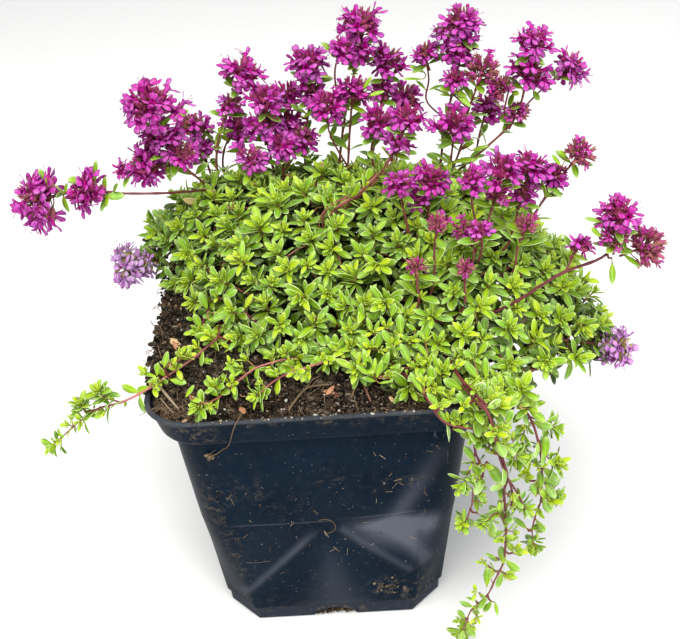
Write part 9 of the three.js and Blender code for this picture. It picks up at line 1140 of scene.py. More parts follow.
def build_flower_stem(nd):
    part = Part("visual_" + nd["name"], PLANT_MATS)
    path = np.array(nd["path"], float)
    path = np.vstack([path[0] - [0, 0, 2.5], path])
    Ltot = length(path)
    P = resample(path, 60)
    T = np.gradient(P, axis=0)
    # the last column is painted shade, darkest at the foot of the stem down in the cushion
    tint = np.array([[0.45, 0.5, 0, 0.6], [0.6, 0.5, 0, 0.25], [0.75, 0.5, 0, 0], [0.85, 0.4, 0, 0]])
    tint[:, 0] += rng.normal(0, 0.07)
    bow = 0.25 * np.sin(np.linspace(0, 5, 60))[:, None] * rng.normal(0, 1, 3)
    bow[0] = bow[-1] = 0
    nodes_at = np.arange(6, Ltot - 6, rng.uniform(5.0, 7.0))
    r0, r1, red, pink = STEM_LOOK.get(nd["name"], (0.38, 0.26, 0.0, rng.uniform(0.3, 0.95)))
    tint[:, 0] = np.maximum(tint[:, 0], red)
    tint[:, 1] = pink
    add_tube(part, P + bow, [r0 * 1.1, r0, r0 * 0.5 + r1 * 0.5, r1], 1, np.clip(tint, 0, 1), sides=6, step=1.6, knots=nodes_at)
    heads = nd["heads"]
    hp = [np.array(h[:3]) for h in heads]
    k = 0
    for s in nodes_at:
        i = int(s / Ltot * 59)
        at, t = P[i] + bow[i], unit(T[i])
        if any(np.linalg.norm(at - q) < h[6] * 0.75 + 1 for q, h in zip(hp, heads)):
            k += 1
            continue
        low = at[2] < cushion_z(at[0], at[1]) - 0.5
        if nd["name"] in ("flower_stem_far_left", "flower_stem_right") and not low and rng.random() < 0.7:
            k += 1
            continue
        # leaves below the cushion surface get painted shade
        leaf_pair(part, at, t, k * math.pi / 2 + 0.4, rng.uniform(4.8, 6.2) if low else rng.uniform(5.4, 7.0), rng.uniform(1.6, 2.0) if low else rng.uniform(1.8, 2.4), 62 if low else 55, rng.uniform(0.05, 0.45), shade=0.25 if low else 0.0, chance=0.95)
        if low or rng.random() < 0.6:
            leaf_pair(part, at, t, k * math.pi / 2 + 0.8, 3.0, 1.2, 34, 0.6, shade=0.15 if low else 0.0)
            leaf_pair(part, at, t, k * math.pi / 2 + 2.1, 2.2, 0.9, 24, 0.8, shade=0.1 if low else 0.0)
        k += 1
    for f in nd["forks"]:
        f = np.array(f, float)
        add_tube(part, f, [0.30, 0.24], 1, (0.85, 0.7 * rng.random(), 0, 0), sides=6, step=1.6)
        if length(f) > 9:
            F = resample(f, 9)
            leaf_pair(part, F[4], unit(F[5] - F[3]), rng.uniform(0, 3), 4.6, 1.6, 50, 0.4, chance=0.8)
    for h in heads:
        head(part, h[:3], h[3:6], h[6], h[7], "obp"[int(h[8])])
    groups(part, nd["name"], -0.02)
    if nd["name"] == "flower_stem_leaning":
        for dx, dy, a, b in ((1.5, -0.5, 0.06, 0.96), (-1.5, 0.4, 0.0, 0.80), (3.0, 0.2, 0.12, 0.70), (0.4, -1.4, 0.30, 0.90), (-3.0, 0.5, 0.1, 0.6)):
            q = P[int(a * 59):int(b * 59)]
            w_ = np.sin(np.linspace(0.2, 2.9, len(q)))[:, None]
            q = q + np.array([dx, dy, 0.0]) * w_ + rng.normal(0, 0.3, 3) * w_ ** 2
            add_tube(part, q, [0.26, 0.19], 1, (rng.uniform(0.5, 0.9), rng.uniform(0.4, 1.0), 0, 0), sides=6, step=1.6)
            for k in range(2, 6):
                i = int(len(q) * k / 7)
                leaf_pair(part, q[i], unit(q[min(i + 1, len(q) - 1)] - q[i - 1]), k * math.pi / 2 + 0.5, rng.uniform(3.4, 5.0), rng.uniform(1.3, 1.8), 50, rng.uniform(0.2, 0.7), chance=0.8)
    return part.build(nd["name"])


POLY = np.array([(-32, -13), (-18, -24), (4, -30), (15, -38), (38, -39), (50, -37), (63, -31), (77, -25), (80, -8), (75, 12), (63, 31), (45, 47), (20, 53), (-10, 53), (-33, 51), (-48, 40), (-49, 25), (-37, 8)], float)


def cushion_edge(x, y):
    """distance in from the outline of the cushion seen from above, negative outside"""
    p = np.array([x, y], float)
    a, b = POLY, np.roll(POLY, -1, 0)
    ab = b - a
    t = np.clip(((p - a) * ab).sum(1) / (ab ** 2).sum(1), 0, 1)
    d = np.linalg.norm(a + ab * t[:, None] - p, axis=1).min()
    c = False
    for (xi, yi), (xj, yj) in zip(a, np.roll(POLY, 1, 0)):
        if (yi > y) != (yj > y) and x < (xj - xi) * (y - yi) / (yj - yi) + xi:
            c = not c
    return d if c else -d


def cushion_z(x, y):
    d = cushion_edge(x, y)
    base = 90 + 0.13 * (y + 30) - 0.22 * max(0, x - 50)
    return base + 27 * (1 - math.exp(-max(d, -3) / 17)) if d > -3 else base - 6


def build_branch(nd, shoots):
    part = Part("visual_" + nd["name"], PLANT_MATS)
    path = np.array(nd["path"], float)
    # the branch and its forks carry painted shade (last tint column), deep in the cushion
    add_tube(part, np.vstack([path[0] - [0, 0, 2.5], path]), [0.75, 0.65, 0.45], 1, (0.75, 0.3, 0.3, 0.6), sides=7, step=1.6)
    for f in nd["forks"]:
        add_tube(part, f, [0.42, 0.32], 1, np.array([[0.75, 0.3, 0.1, 0.55], [0.5, 0.6, 0, 0.3]]), sides=6, step=2.0, cap=False)
    for r in shoots:
        p, n, st, layer = np.array(r[:3]), np.array(r[3:6]), np.array(r[6:9]), int(r[9])
        # shoots lean towards the light and the viewer's side a little, each its own way
        n = unit(n + rng.normal(0, 0.26, 3) + [0, -0.12, 0.15])
        if layer == 0:
            p = p + n * rng.normal(0, 0.9)
        # painted shade: shoots of the lower layers get darker leaves
        shade = (0.0, rng.uniform(0.46, 0.76), rng.uniform(0.82, 0.96))[layer]
        # painted light: rosettes towards the right (+x) are made younger, so paler and yellower; those towards the back
        # are made older and greener
        back_ = np.clip((p[1] - 8) / 40, 0, 1)
        young = rng.normal(0.02, 0.13) - 0.16 * back_ + 0.07 * float(np.clip(p[0] / 35, 0, 1))
        pts = shoot(part, st, p, n, layer, rng.uniform(0.4, 0.9))
        rosette(part, p, n, rng.uniform(0.80, 1.16), layer, young, shade)
        if layer == 0:
            # lower leaf pairs under the rosette, with a little painted shade
            ax = unit(pts[-2] - pts[-5])
            leaf_pair(part, pts[-4], ax, rng.uniform(0, 3), 5.3, 1.95, 68, 0.12, shade=0.12, chance=0.9)
            leaf_pair(part, pts[-5], ax, rng.uniform(0, 3), 3.6, 1.4, 50, 0.4, shade=0.15, chance=0.6)
            leaf_pair(part, pts[-6], ax, rng.uniform(0, 3), 5.2, 1.9, 72, 0.05, shade=0.35, chance=0.8)
        # older leaves lower down, darkened with painted shade
        deep = cushion_edge(p[0], p[1]) > (9 if p[0] < 42 or p[1] > 6 else 18)
        for k in range((7 if deep else 2) if layer < 2 else (5 if deep else 1)):
            q = p - n * (rng.uniform(3.5, 9.0) if deep else rng.uniform(2.2, 4.5)) + rng.normal(0, 1.1, 3)
            if max(abs(q[0]), abs(q[1])) > 42 and q[2] < 90 and max(abs(q[0]), abs(q[1])) < 47:
                continue
            v = unit(rng.normal(0, 1, 3) * [1, 1, 0.5])
            add_leaf(part, q, v, n + rng.normal(0, 0.35, 3), rng.uniform(4.6, 5.8), rng.uniform(1.8, 2.3), (rng.uniform(0, 0.25), rng.random(), 0.0 if rng.random() > 0.03 else 0.9, rng.uniform(0.66, 0.95)), curl=rng.uniform(0.1, 0.8), fold=0.25)
    groups(part, nd["name"])
    return part.build(nd["name"])


def groups(part, name, lift=0.06, wide=1.0):
    """single leaves and small shoots that stand out by themselves"""
    for st, c, leaves, tufts in LEAVES.get(name, []):
        st, c = np.array(st), np.array(c)
        mid = (st + c) / 2 + [0, 0, -0.8]
        if np.linalg.norm(st - c) > 0.8:
            add_tube(part, [st, mid, c], [0.36, 0.28], 1, (0.8, 0.6 * rng.random(), 0, 0.15), sides=5, step=1.8)
        for r in leaves:
            b, t, nrm, W, age = np.array(r[:3]), np.array(r[3:6]), np.array(r[6:9]), r[9], r[10]
            L = float(np.linalg.norm(t - b))
            if np.linalg.norm(b - c) > 0.7:
                add_tube(part, [c, (b + c) / 2 - [0, 0, 0.2], b + unit(t - b) * 0.3], 0.16, 1, (0.3, 0.5, 0, 0), sides=4, step=1.5, cap=False)
            yellow = age > 0.95
            age = min(0.9, age + lift) if not yellow else age
            tint = (min(1, age + (0.3 if yellow else 0)), 0.05 if yellow else rng.uniform(0.35, 0.8), 0.12 if yellow else 0.0, 0.0)
            add_leaf(part, b, t - b, nrm, L * 1.02, min(W, L * 0.55), tint, prof="oval" if W > 0.38 * L else "lance", fold=rng.uniform(0.15, 0.4), curl=rng.uniform(-0.1, 0.35), twist=rng.normal(0, 0.15), wave=0.03)
        for r in tufts:
            at = np.array(r[:3])
            ax = unit(at - c + np.array([0, -0.9, 1.0]) * 1.4) if np.linalg.norm(at - c) > 0.5 else unit(np.array([0, -0.7, 0.8]))
            base = at - ax * 1.2
            if np.linalg.norm(base - c) > 0.8:
                add_tube(part, [c, (base + c) / 2, base, at], [0.24, 0.18], 1, (0.35, 0.5, 0, 0), sides=4, step=1.5, cap=False)
            rosette(part, at, ax, r[3], 0, r[4] + lift - 0.06, 0.0, pairs=3, wide=wide)


def tuft(part, at, axis, size, young):
    """a small shoot in a leaf axil"""
    axis = unit(axis)
    tip = np.asarray(at, float) + axis * rng.uniform(1.6, 3.2) * size / 0.7
    add_tube(part, [at, tip], [0.2, 0.16], 1, (0.25, rng.random(), 0, 0), sides=4, step=1.5, cap=False)
    rosette(part, tip, axis, size, 0, young, 0.0, pairs=3, wide=1.35)


def build_creeper(nd, shoots):
    part = Part("visual_" + nd["name"], PLANT_MATS)
    path = np.array(nd["path"], float)
    path = np.vstack([path[0] - [0, 0, 2.5], path])
    trail = nd["kind"] == "trail"
    n = int(length(path) / 0.8)
    P = resample(path, n)
    wob = np.cumsum(rng.normal(0, 0.05, (n, 3)), 0)
    wob -= np.linspace(0, 1, n)[:, None] * wob[-1]
    P = P + wob * 0.6
    Ltot = length(P)
    red = 0.9 if trail else 0.8
    every = 5.0 if trail else 4.4
    nodes_at = np.arange(4, Ltot - 1, every)
    nodes_at = nodes_at + rng.normal(0, 0.4, len(nodes_at))
    r0_ = (1.0 if Ltot > 60 else 0.85) * (1.0 if trail else 0.78)
    # a little painted shade at the foot of the stem (last tint column)
    add_tube(part, P, [0.40 * r0_, 0.36 * r0_, 0.28, 0.18], 1, np.array([[red, 0.3, 0, 0.2], [red, 0.3 if trail else 0.99, 0, 0], [red, 0.5 if trail else 0.97, 0, 0], [red * 0.6, 0.5, 0, 0]]), sides=7, step=1.4, knots=nodes_at)
    T = np.gradient(P, axis=0)
    hang = np.array([0, -0.65, 0.75]) if trail else np.array([0, -0.3, 0.95])
    few = nd["name"] == "trailing_stem_rim"
    if few:
        hang = np.array([0.45, -0.30, 1.0])
    for k, s in enumerate(nodes_at):
        i = min(n - 1, int(s / Ltot * (n - 1)))
        at, t = P[i], unit(T[i])
        frac = s / Ltot
        size = 1.05 - 0.3 * max(0, frac - 0.75) / 0.25
        L0, W0 = (5.2, 2.6) if trail else (4.7, 2.3)
        if frac > 0.04:
            # cool on the trails gives their leaves painted light, paler and whiter, as if lit from the front
            leaf_pair(part, at, t, k * math.pi / 2 + 0.3, L0 * size, W0 * size, 56, rng.uniform(0.22, 0.54) + 0.22 * frac, chance=0.3 if few else (0.62 if trail else 0.85), light=hang, pull=1.3 if not few else 2.2, cool=1.7 if trail else 0.2)
            for sd in (0, 1):
                if rng.random() < (0.12 if few else (0.32 if trail else 0.52)):
                    side = turn(perp(t), t, k * math.pi / 2 + 0.3 + sd * math.pi + rng.normal(0, 0.4))
                    tuft(part, at, side * 0.7 + t * 0.35 + hang * 0.75, rng.uniform(0.50, 0.74) * size, rng.uniform(-0.05, 0.25))
    rosette(part, P[-1], unit(T[-1] + hang * 0.5), 0.72, 0, 0.12, 0.0, pairs=4, wide=1.3)
    for f in nd["forks"]:
        f = np.array(f, float)
        F = resample(f, 12)
        add_tube(part, F, [0.24, 0.17], 1, np.array([[red, 0.3, 0, 0], [red * 0.7, 0.5, 0, 0]]), sides=5, step=1.4)
        TF = np.gradient(F, axis=0)
        for k, i in enumerate(range(3, 11, 3)):
            leaf_pair(part, F[i], unit(TF[i]), k * math.pi / 2, 4.4, 2.0, 55, 0.4, light=hang, pull=1.2, cool=1.5 if trail else 0.2)
            if rng.random() < 0.5:
                leaf_pair(part, F[i], unit(TF[i]), k * math.pi / 2 + 1.2, 2.4, 1.0, 34, 0.8, light=hang, pull=0.8)
        rosette(part, F[-1], unit(TF[-1] + hang * 0.6), 0.8, 0, 0.08, 0.0, pairs=4, wide=1.3)
    for r in shoots:
        p, nn, st = np.array(r[:3]), np.array(r[3:6]), np.array(r[6:9])
        nn = unit(nn + rng.normal(0, 0.22, 3))
        pts = shoot(part, st, p, nn, 0, 0.85)
        rosette(part, p, nn, rng.uniform(0.82, 1.08), 0, rng.normal(0.09, 0.1), 0.0, wide=1.15)
    groups(part, nd["name"], 0.02, 1.25)
    for pts in STRANDS.get(nd["name"], []):
        add_tube(part, pts, [0.24, 0.30, 0.26], 1, (1.0, 0.3, 0, 0.12), sides=6, step=1.2)
    return part.build(nd["name"])


# ------------------------------------------------------------------ pot
POT_H, TOP_HALF, BAND_LOW, BAND_Z, BODY_TOP, BASE_HALF, WALL = 86.4, 45.0, 42.4, 77.4, 39.9, 31.85, 1.2
SLOPE = (BODY_TOP - BASE_HALF) / BAND_Z
FOOT_Z = 5.4


def section(half, corner, chamfer, ns, nc):
    """points round a rounded square, counter-clockwise from the front left; chamfer 1 cuts the corners straight"""
    h, c = half, corner
    pts = []
    for side in range(4):
        n = ns[side]
        a = side * math.pi / 2
        R = np.array([[math.cos(a), -math.sin(a)], [math.sin(a), math.cos(a)]])
        for t in np.linspace(-1, 1, n, endpoint=False):
            pts.append(R @ np.array([t * (h - c), -h]))
        for k in range(nc):
            b = k / nc * math.pi / 2
            arc = np.array([h - c + c * math.sin(b), -h + c - c * math.cos(b)])
            cut = np.array([h - c + c * k / nc, -h + c * k / nc])
            pts.append(R @ (arc * (1 - chamfer) + cut * chamfer))
    return np.array(pts)


def dist_seg(x, z, a, b):
    a, b = np.asarray(a, float), np.asarray(b, float)
    d = b - a
    t = np.clip(((x - a[0]) * d[0] + (z - a[1]) * d[1]) / (d @ d), 0, 1)
    return np.hypot(x - a[0] - t * d[0], z - a[1] - t * d[1]), t


def tri_mask(x, z, a, b, c, soft):
    """soft inside mask of a triangle given counter-clockwise"""
    m = np.ones_like(x)
    for p, q in ((a, b), (b, c), (c, a)):
        d = np.array([q[0] - p[0], q[1] - p[1]], float)
        s = ((x - p[0]) * -d[1] + (z - p[1]) * d[0]) / np.hypot(*d)
        m *= 1 / (1 + np.exp(-np.clip(s / soft, -30, 30)))
    return m


STAR_C = (-0.8, 42.4)
STAR_L, STAR_R = (-26.0, 42.7), (22.5, 45.2)
STAR_DL, STAR_DR = (-27.0, 12.0), (25.5, 17.0)


def front_relief(x, z):
    """outward offset of the moulded star on the front wall, mm, and its painted reflection, 0 to 1"""
    o = np.zeros_like(x)
    # a shallow fold line across the wall
    line = np.interp(x, [-27, STAR_C[0], 24], [42.8, 42.2, 45.4])
    span = 1 / (1 + np.exp((np.abs(x + 1) - 24) / 1.2))
    below = 1 / (1 + np.exp((z - line) / 0.22))
    o += -0.50 * below * np.exp(-(line - z).clip(0) / 9.0) * span
    crease = np.exp(-((z - line) / 0.26) ** 2) * span * np.clip(np.abs(x - 4.0) / 3.5 - 0.6, 0, 1)
    o += 0.16 * crease
    # ribs running down to the lower corners
    for a, b, h in ((STAR_C, STAR_DL, 0.55), (STAR_C, STAR_DR, 0.5)):
        d, t = dist_seg(x, z, a, b)
        o += h * np.exp(-(d / 1.05) ** 2) * np.clip(t * 8, 0, 1) * (1 - 0.5 * t)
    # the pushed-in middle and the facets between the ribs
    r = np.hypot((x - STAR_C[0]) / 1.2, z - STAR_C[1] + 3)
    o += -0.7 * np.exp(-(r / 7.5) ** 2)
    o += 0.9 * tri_mask(x, z, STAR_C, (-11, 5), (13, 5), 2.0) * np.clip((34 - z) / 30, 0, 1)
    m = tri_mask(x, z, STAR_C, STAR_DR, (33, 42), 1.2)
    o += -0.9 * m * np.clip((x - 8) / 20, 0, 1)
    d, t = dist_seg(x, z, (17, 46.5), (31.5, 68))
    o += 0.30 * np.exp(-(d / 2.4) ** 2)
    # painted reflection: bright patches and streaks on the star's facets, ribs and crease, and a band at the foot
    painted_sheen = 0.9 * m * np.exp(-((x - 19) / 11) ** 2) * np.exp(-((z - 38.5) / 7.5) ** 2)
    d, t = dist_seg(x, z, (19, 38), (27, 23.5))
    painted_sheen += 0.85 * np.exp(-(d / 2.6) ** 2) * (1 - 0.4 * t)
    d, t = dist_seg(x, z, (6, 39), (28, 40.5))
    painted_sheen += 0.75 * np.exp(-(d / (1.0 + 2.6 * t)) ** 2) * np.clip(t * 3, 0, 1)
    d, t = dist_seg(x, z, (18, 42), (31, 68))
    painted_sheen += 0.5 * np.exp(-(d / 2.6) ** 2) * (1 - 0.6 * t)
    d, t = dist_seg(x, z, (-3, 39.5), STAR_DL)
    painted_sheen += 0.50 * np.exp(-(d / 1.15) ** 2) * np.clip(t * 5, 0, 1) * (1 - 0.25 * t)
    d, t = dist_seg(x, z, (4, 38.5), (22, 20))
    painted_sheen += 0.32 * np.exp(-(d / 1.1) ** 2)
    painted_sheen += 0.15 * tri_mask(x, z, (-0.4, 31), (-9.5, 5), (10, 5), 1.6) + 0.12 * tri_mask(x, z, (-0.4, 36), (-3, 5), (5, 5), 1.2)
    painted_sheen += 0.04 * tri_mask(x, z, STAR_C, STAR_L, STAR_DL, 1.5)
    painted_sheen += 0.16 * (z < FOOT_Z + 0.3) + 0.55 * crease
    return o, np.clip(painted_sheen, 0, 1)


def arch(x):
    q = 1 - (x / 6.3) ** 2
    return 2.8 * np.sqrt(np.clip(q, 0, 1))


def build_pot():
    part = Part("visual_pot", [M_POT])
    ns, nc = [110, 40, 40, 40], 9
    zs, half, cham, kind = [], [], [], []
    def ring(z, h, ch, k=0):
        zs.append(z), half.append(h), cham.append(ch), kind.append(k)
    foot = BASE_HALF + SLOPE * FOOT_Z
    ring(0.0, BASE_HALF - 0.95, 1.0)
    ring(0.18, BASE_HALF - 0.6, 1.0)
    ring(0.6, BASE_HALF - 0.42, 1.0)
    for z in np.linspace(1.4, FOOT_Z - 0.5, 5):
        ring(z, BASE_HALF - 0.42 + SLOPE * z * 0.6, 1.0)
    ring(FOOT_Z - 0.12, foot - 0.45, 1.0)
    ring(FOOT_Z, foot - 0.12, 0.99)
    ring(FOOT_Z + 0.25, foot + 0.0, 0.98)
    for z in np.concatenate([np.linspace(FOOT_Z + 1.1, 40.4, 42), np.linspace(40.7, 46.9, 27), np.linspace(47.6, BAND_Z - 1.6, 34)]):
        ring(z, BASE_HALF + SLOPE * z, float(np.clip(1 - (z - 8) / 34, 0, 1)))
    ring(BAND_Z - 0.5, BASE_HALF + SLOPE * (BAND_Z - 0.5), 0)
    ring(BAND_Z - 0.12, BODY_TOP + 0.12, 0)
    ring(BAND_Z, BODY_TOP + 0.5, 0)
    ring(BAND_Z, BAND_LOW - 0.45, 0)
    ring(BAND_Z + 0.15, BAND_LOW - 0.1, 0)
    ring(BAND_Z + 0.5, BAND_LOW + 0.08, 0)
    for z in np.linspace(BAND_Z + 1.3, POT_H - 1.5, 9):
        ring(z, BAND_LOW + (TOP_HALF - BAND_LOW) * (z - BAND_Z) / (POT_H - BAND_Z) * 0.8, 0)
    ring(POT_H - 1.15, TOP_HALF - 0.52, 0)
    ring(POT_H - 0.9, TOP_HALF - 0.16, 0, 1)
    ring(POT_H - 0.5, TOP_HALF + 0.05, 0, 1)
    ring(POT_H - 0.12, TOP_HALF - 0.06, 0, 1)
    ring(POT_H, TOP_HALF - 0.4, 0, 1)
    ring(POT_H - 0.05, TOP_HALF - 1.0, 0, 1)
    ring(POT_H - 0.4, TOP_HALF - 1.25, 0, 1)
    ring(POT_H - 1.2, TOP_HALF - 1.42, 0)
    ring(BAND_Z + 3, BAND_LOW - 0.3, 0)
    ring(BAND_Z + 1.2, BAND_LOW - 1.1, 0)
    ring(BAND_Z + 0.9, BODY_TOP - 1.0, 0)
    for z in (BAND_Z - 2, 50, 25, 8):
        ring(z, BASE_HALF + SLOPE * z - WALL, float(np.clip(1 - (z - 8) / 34, 0, 1)))
    ring(WALL, BASE_HALF - 0.42 - WALL, 1.0)
    V, T = [], []
    n = sum(ns) + 4 * nc
    outer_rows = kind.index(1)
    for i, (z, h, ch) in enumerate(zip(zs, half, cham)):
        c = 0.2667 * h
        P = section(h, c, ch, ns, nc)
        x, y = P[:, 0].copy(), P[:, 1].copy()
        zz = np.full(n, z)
        wear, dirt, painted_sheen, lip_highlight = np.zeros(n), np.zeros(n), np.zeros(n), np.zeros(n)
        inside_ = i > outer_rows + 5
        if not inside_:
            p3 = np.stack([x, y, zz], 1)
            wob = noise3(p3, 21, 3) * 0.28 + noise3(p3, 8, 4) * 0.07
            out = np.stack([x, y], 1)
            out /= np.linalg.norm(out, axis=1)[:, None]
            amt = 1.0 if z > 3 and z < POT_H - 2 else 0.25
            x += out[:, 0] * wob * amt
            y += out[:, 1] * wob * amt
            front = np.arange(n) < ns[0]
            if FOOT_Z + 0.5 < z < BAND_Z - 2:
                o, star_sheen = front_relief(x, zz)
                fade = front * np.clip((h - c + 3 - np.abs(x)) / 4, 0, 1)
                y -= o * fade * np.clip((z - FOOT_Z) / 3, 0, 1)
                painted_sheen = star_sheen * np.clip((h - 2 - np.abs(x)) / 5, 0, 1) * (y < -h * 0.85)
            elif z <= FOOT_Z:
                # painted reflection: the foot is lightened evenly
                painted_sheen = np.full(n, 0.22)
            rightc = (x > 0.62 * h) & (y < -0.3 * h)
            wear = np.where(rightc, 1.0, 0.0) * np.clip((h + 1 - np.abs(x)) / 2 + 0.4, 0, 1)
            # where the compost has splashed and stuck
            fx, fz = x, zz
            isf = (y < -h * 0.8) * 1.0
            def blob(cx, cz, rx, rz, k=1.0):
                return k * np.exp(-((fx - cx) / rx) ** 2 - ((fz - cz) / rz) ** 2) * isf
            dirt = blob(15.8, 12.5, 5.0, 3.2, 1.1) + blob(20, 10, 3, 2, 0.8) + blob(-30, 36, 4, 12, 0.55) + blob(-32, 53, 4, 9, 0.5) + blob(-27, 24, 3.5, 7, 0.4)
            dirt += blob(0.8, 2.2, 6.5, 2.2, 1.0) + blob(26, 8, 5, 7, 0.7) + blob(28, 18, 3, 6, 0.5) + blob(-36, 82, 7, 4, 0.95) + blob(-29, 79, 6, 3, 0.5)
            dirt += blob(8, 84.5, 14, 1.6, 0.75) + blob(-14, 85, 20, 1.2, 0.5) + blob(22, 82.5, 5, 2, 0.5) + blob(2, 59, 4, 1.5, 0.5) + blob(-20, 57, 5, 4, 0.35) + blob(21, 58, 6, 3, 0.4)
            dirt += blob(-12, 50, 20, 3, 0.10) + 0.05 + 0.16 * np.exp(-((zz - 3) / 6) ** 2)
            dirt += 0.35 * np.clip(noise3(p3, 13, 9), 0, 1) * (1 - isf)
            if kind[i]:
                # painted highlight on the lip rows
                lip_highlight[:] = 0.75
                dirt[:] = np.maximum(dirt, 0.42)
        else:
            dirt[:] = 0.8
            lip_highlight[:] = 0.1
        if z < 3.0:
            am = arch(x) * (y < -20)
            zz = np.maximum(zz, np.where(am > 0, am + (z * 0.25 if z > 0 else 0), zz))
            zz = np.where(am > 0, np.maximum(zz, am + z * 0.2), zz)
        if inside_ and z < 3:
            am = arch(x) * (y < -20)
            zz = np.where(am > 0, np.maximum(z, am + 0.9), zz)
        V.append(np.stack([x, y, zz], 1))
        T.append(np.stack([wear, np.clip(dirt, 0, 1), painted_sheen, lip_highlight], 1))
    rows = len(V)
    f, uv, cell = grid_shape(rows, n, True, (0.0, 0.0, 1.0, 0.76))
    # spread the rows in the atlas by their real height
    d = [0.0]
    for i in range(1, rows):
        d.append(d[-1] + max(0.35, float(np.linalg.norm(V[i].mean(0)[2] - V[i - 1].mean(0)[2])) + 0.6 * abs(half[i] - half[i - 1])))
    d = np.array(d) / d[-1]
    cell = [(a, float(np.interp(b / 0.76 * (rows - 1), np.arange(rows), d)) * 0.76) for a, b in cell]
    f = [q for q in f]
    # floor, outside and inside, with four drain holes
    holes = [(sx * 19.0, sy * 19.0) for sx in (-1, 1) for sy in (-1, 1)]
    HN = 20
    ringpts = lambda cx, cy, r: [(cx + r * math.cos(2 * math.pi * k / HN), cy + r * math.sin(2 * math.pi * k / HN)) for k in range(HN)]
    items = [(np.vstack(V), f, uv, cell)]
    base_v = rows * n
    extra, ef, euv, ecell, et = [], [], [], [], []
    def floor(ring_ids, ringxy, zof, flip, rect):
        pts2 = [tuple(p) for p in ringxy]
        edges = [(i, (i + 1) % len(pts2)) for i in range(len(pts2))]
        hole_start = []
        for hx, hy in holes:
            s = len(pts2)
            hole_start.append(s)
            pts2 += ringpts(hx, hy, 4.0)
            edges += [(s + k, s + (k + 1) % HN) for k in range(HN)]
        # a few inner points, so that the floor has even faces
        for gx in np.arange(-24, 25, 6.0):
            for gy in np.arange(-24, 25, 6.0):
                if all(math.hypot(gx - hx, gy - hy) > 6 for hx, hy in holes) and abs(gx) + abs(gy) < 46:
                    pts2.append((float(gx), float(gy)))
        vo, eo, fo, ov, oe, of_ = delaunay_2d_cdt([Vector(p) for p in pts2], edges, [], 1, 1e-5)
        idmap, newids = {}, []
        for k, v in enumerate(vo):
            src = ov[k]
            if src and src[0] < len(ring_ids):
                idmap[k] = ring_ids[src[0]]
            else:
                idmap[k] = base_v + len(extra)
                extra.append((v.x, v.y, zof(v.x, v.y)))
        out_holes = []
        for k in range(len(vo)):
            pass
        for tri in fo:
            cx, cy = sum(vo[i].x for i in tri) / len(tri), sum(vo[i].y for i in tri) / len(tri)
            if any(math.hypot(cx - hx, cy - hy) < 3.93 for hx, hy in holes):
                continue
            tri = list(tri)
            area = sum(vo[tri[i]].x * vo[tri[(i + 1) % len(tri)]].y - vo[tri[(i + 1) % len(tri)]].x * vo[tri[i]].y for i in range(len(tri)))
            if (area < 0) != flip:
                tri = tri[::-1]
            ef.append(tuple(idmap[i] for i in tri))
            for i in tri:
                u, v = (vo[i].x + 33) / 66, (vo[i].y + 33) / 66
                euv.append((u, v))
                ecell.append((rect[0] + u * (rect[2] - rect[0]), rect[1] + v * (rect[3] - rect[1])))
        look = {}
        for k in range(len(vo)):
            if ov[k]:
                look[ov[k][0]] = idmap[k]
        return [[look[s + k] for k in range(HN)] for s in hole_start]
    low_ids, low_xy = list(range(n)), V[0][:, :2]
    top_ids, top_xy = list(range((rows - 1) * n, rows * n)), V[-1][:, :2]
    groove = lambda x, y: float(arch(np.array([x]))[0]) if y < -29 else 0.0
    hb = floor(low_ids, low_xy, lambda x, y: groove(x, y), True, (0.0, 0.78, 0.22, 1.0))
    ht = floor(top_ids, top_xy, lambda x, y: WALL + (groove(x, y) and 0.9 + groove(x, y) - WALL), False, (0.24, 0.78, 0.46, 1.0))
    for q, (a, b) in enumerate(zip(hb, ht)):
        for k in range(HN):
            k2 = (k + 1) % HN
            ef.append((a[k], b[k], b[k2], a[k2]))
            x0, y0 = 0.5 + 0.11 * q, 0.80
            for (u, v) in ((k / HN, 0), (k / HN, 1), ((k + 1) / HN, 1), ((k + 1) / HN, 0)):
                euv.append((u, v))
                ecell.append((x0 + u * 0.1, y0 + v * 0.04))
    allv = np.vstack(V + [np.array(extra)])
    tint = np.vstack(T + [np.tile([0, 0.5, 0, 0], (len(extra), 1))])
    shape = Shape(allv, f + ef, uv + euv, cell + ecell)
    part.add(shape, allv, 0, tint)
    part.cells = 1
    return part.build("pot")


# ------------------------------------------------------------------ compost
def square_point(x, y, c):
    """a point of the -1 to 1 square pulled on to a rounded square of corner c"""
    m = np.maximum(np.abs(x), np.abs(y))
    ms = np.maximum(m, 1e-9)
    a, b = np.abs(x) / ms, np.abs(y) / ms
    q = 1 - c
    A, B, C = a * a + b * b, -2 * q * (a + b), 2 * q * q - c * c
    t = np.where(np.minimum(a, b) > q, (-B + np.sqrt(np.maximum(B * B - 4 * A * C, 0))) / (2 * A), 1.0)
    return x * t, y * t


def soil_relief(x, y):
    p = np.stack([x, y, np.zeros_like(x)], 1)
    a = noise3(p, 7.0, 1)
    b = noise3(p, 3.0, 2)
    c = noise3(p, 1.5, 3)
    d = noise3(p, 0.8, 4)
    lump = 0.9 * a + 0.75 * (0.6 - np.abs(b)) + 0.55 * (0.5 - np.abs(c)) + 0.25 * d
    return lump


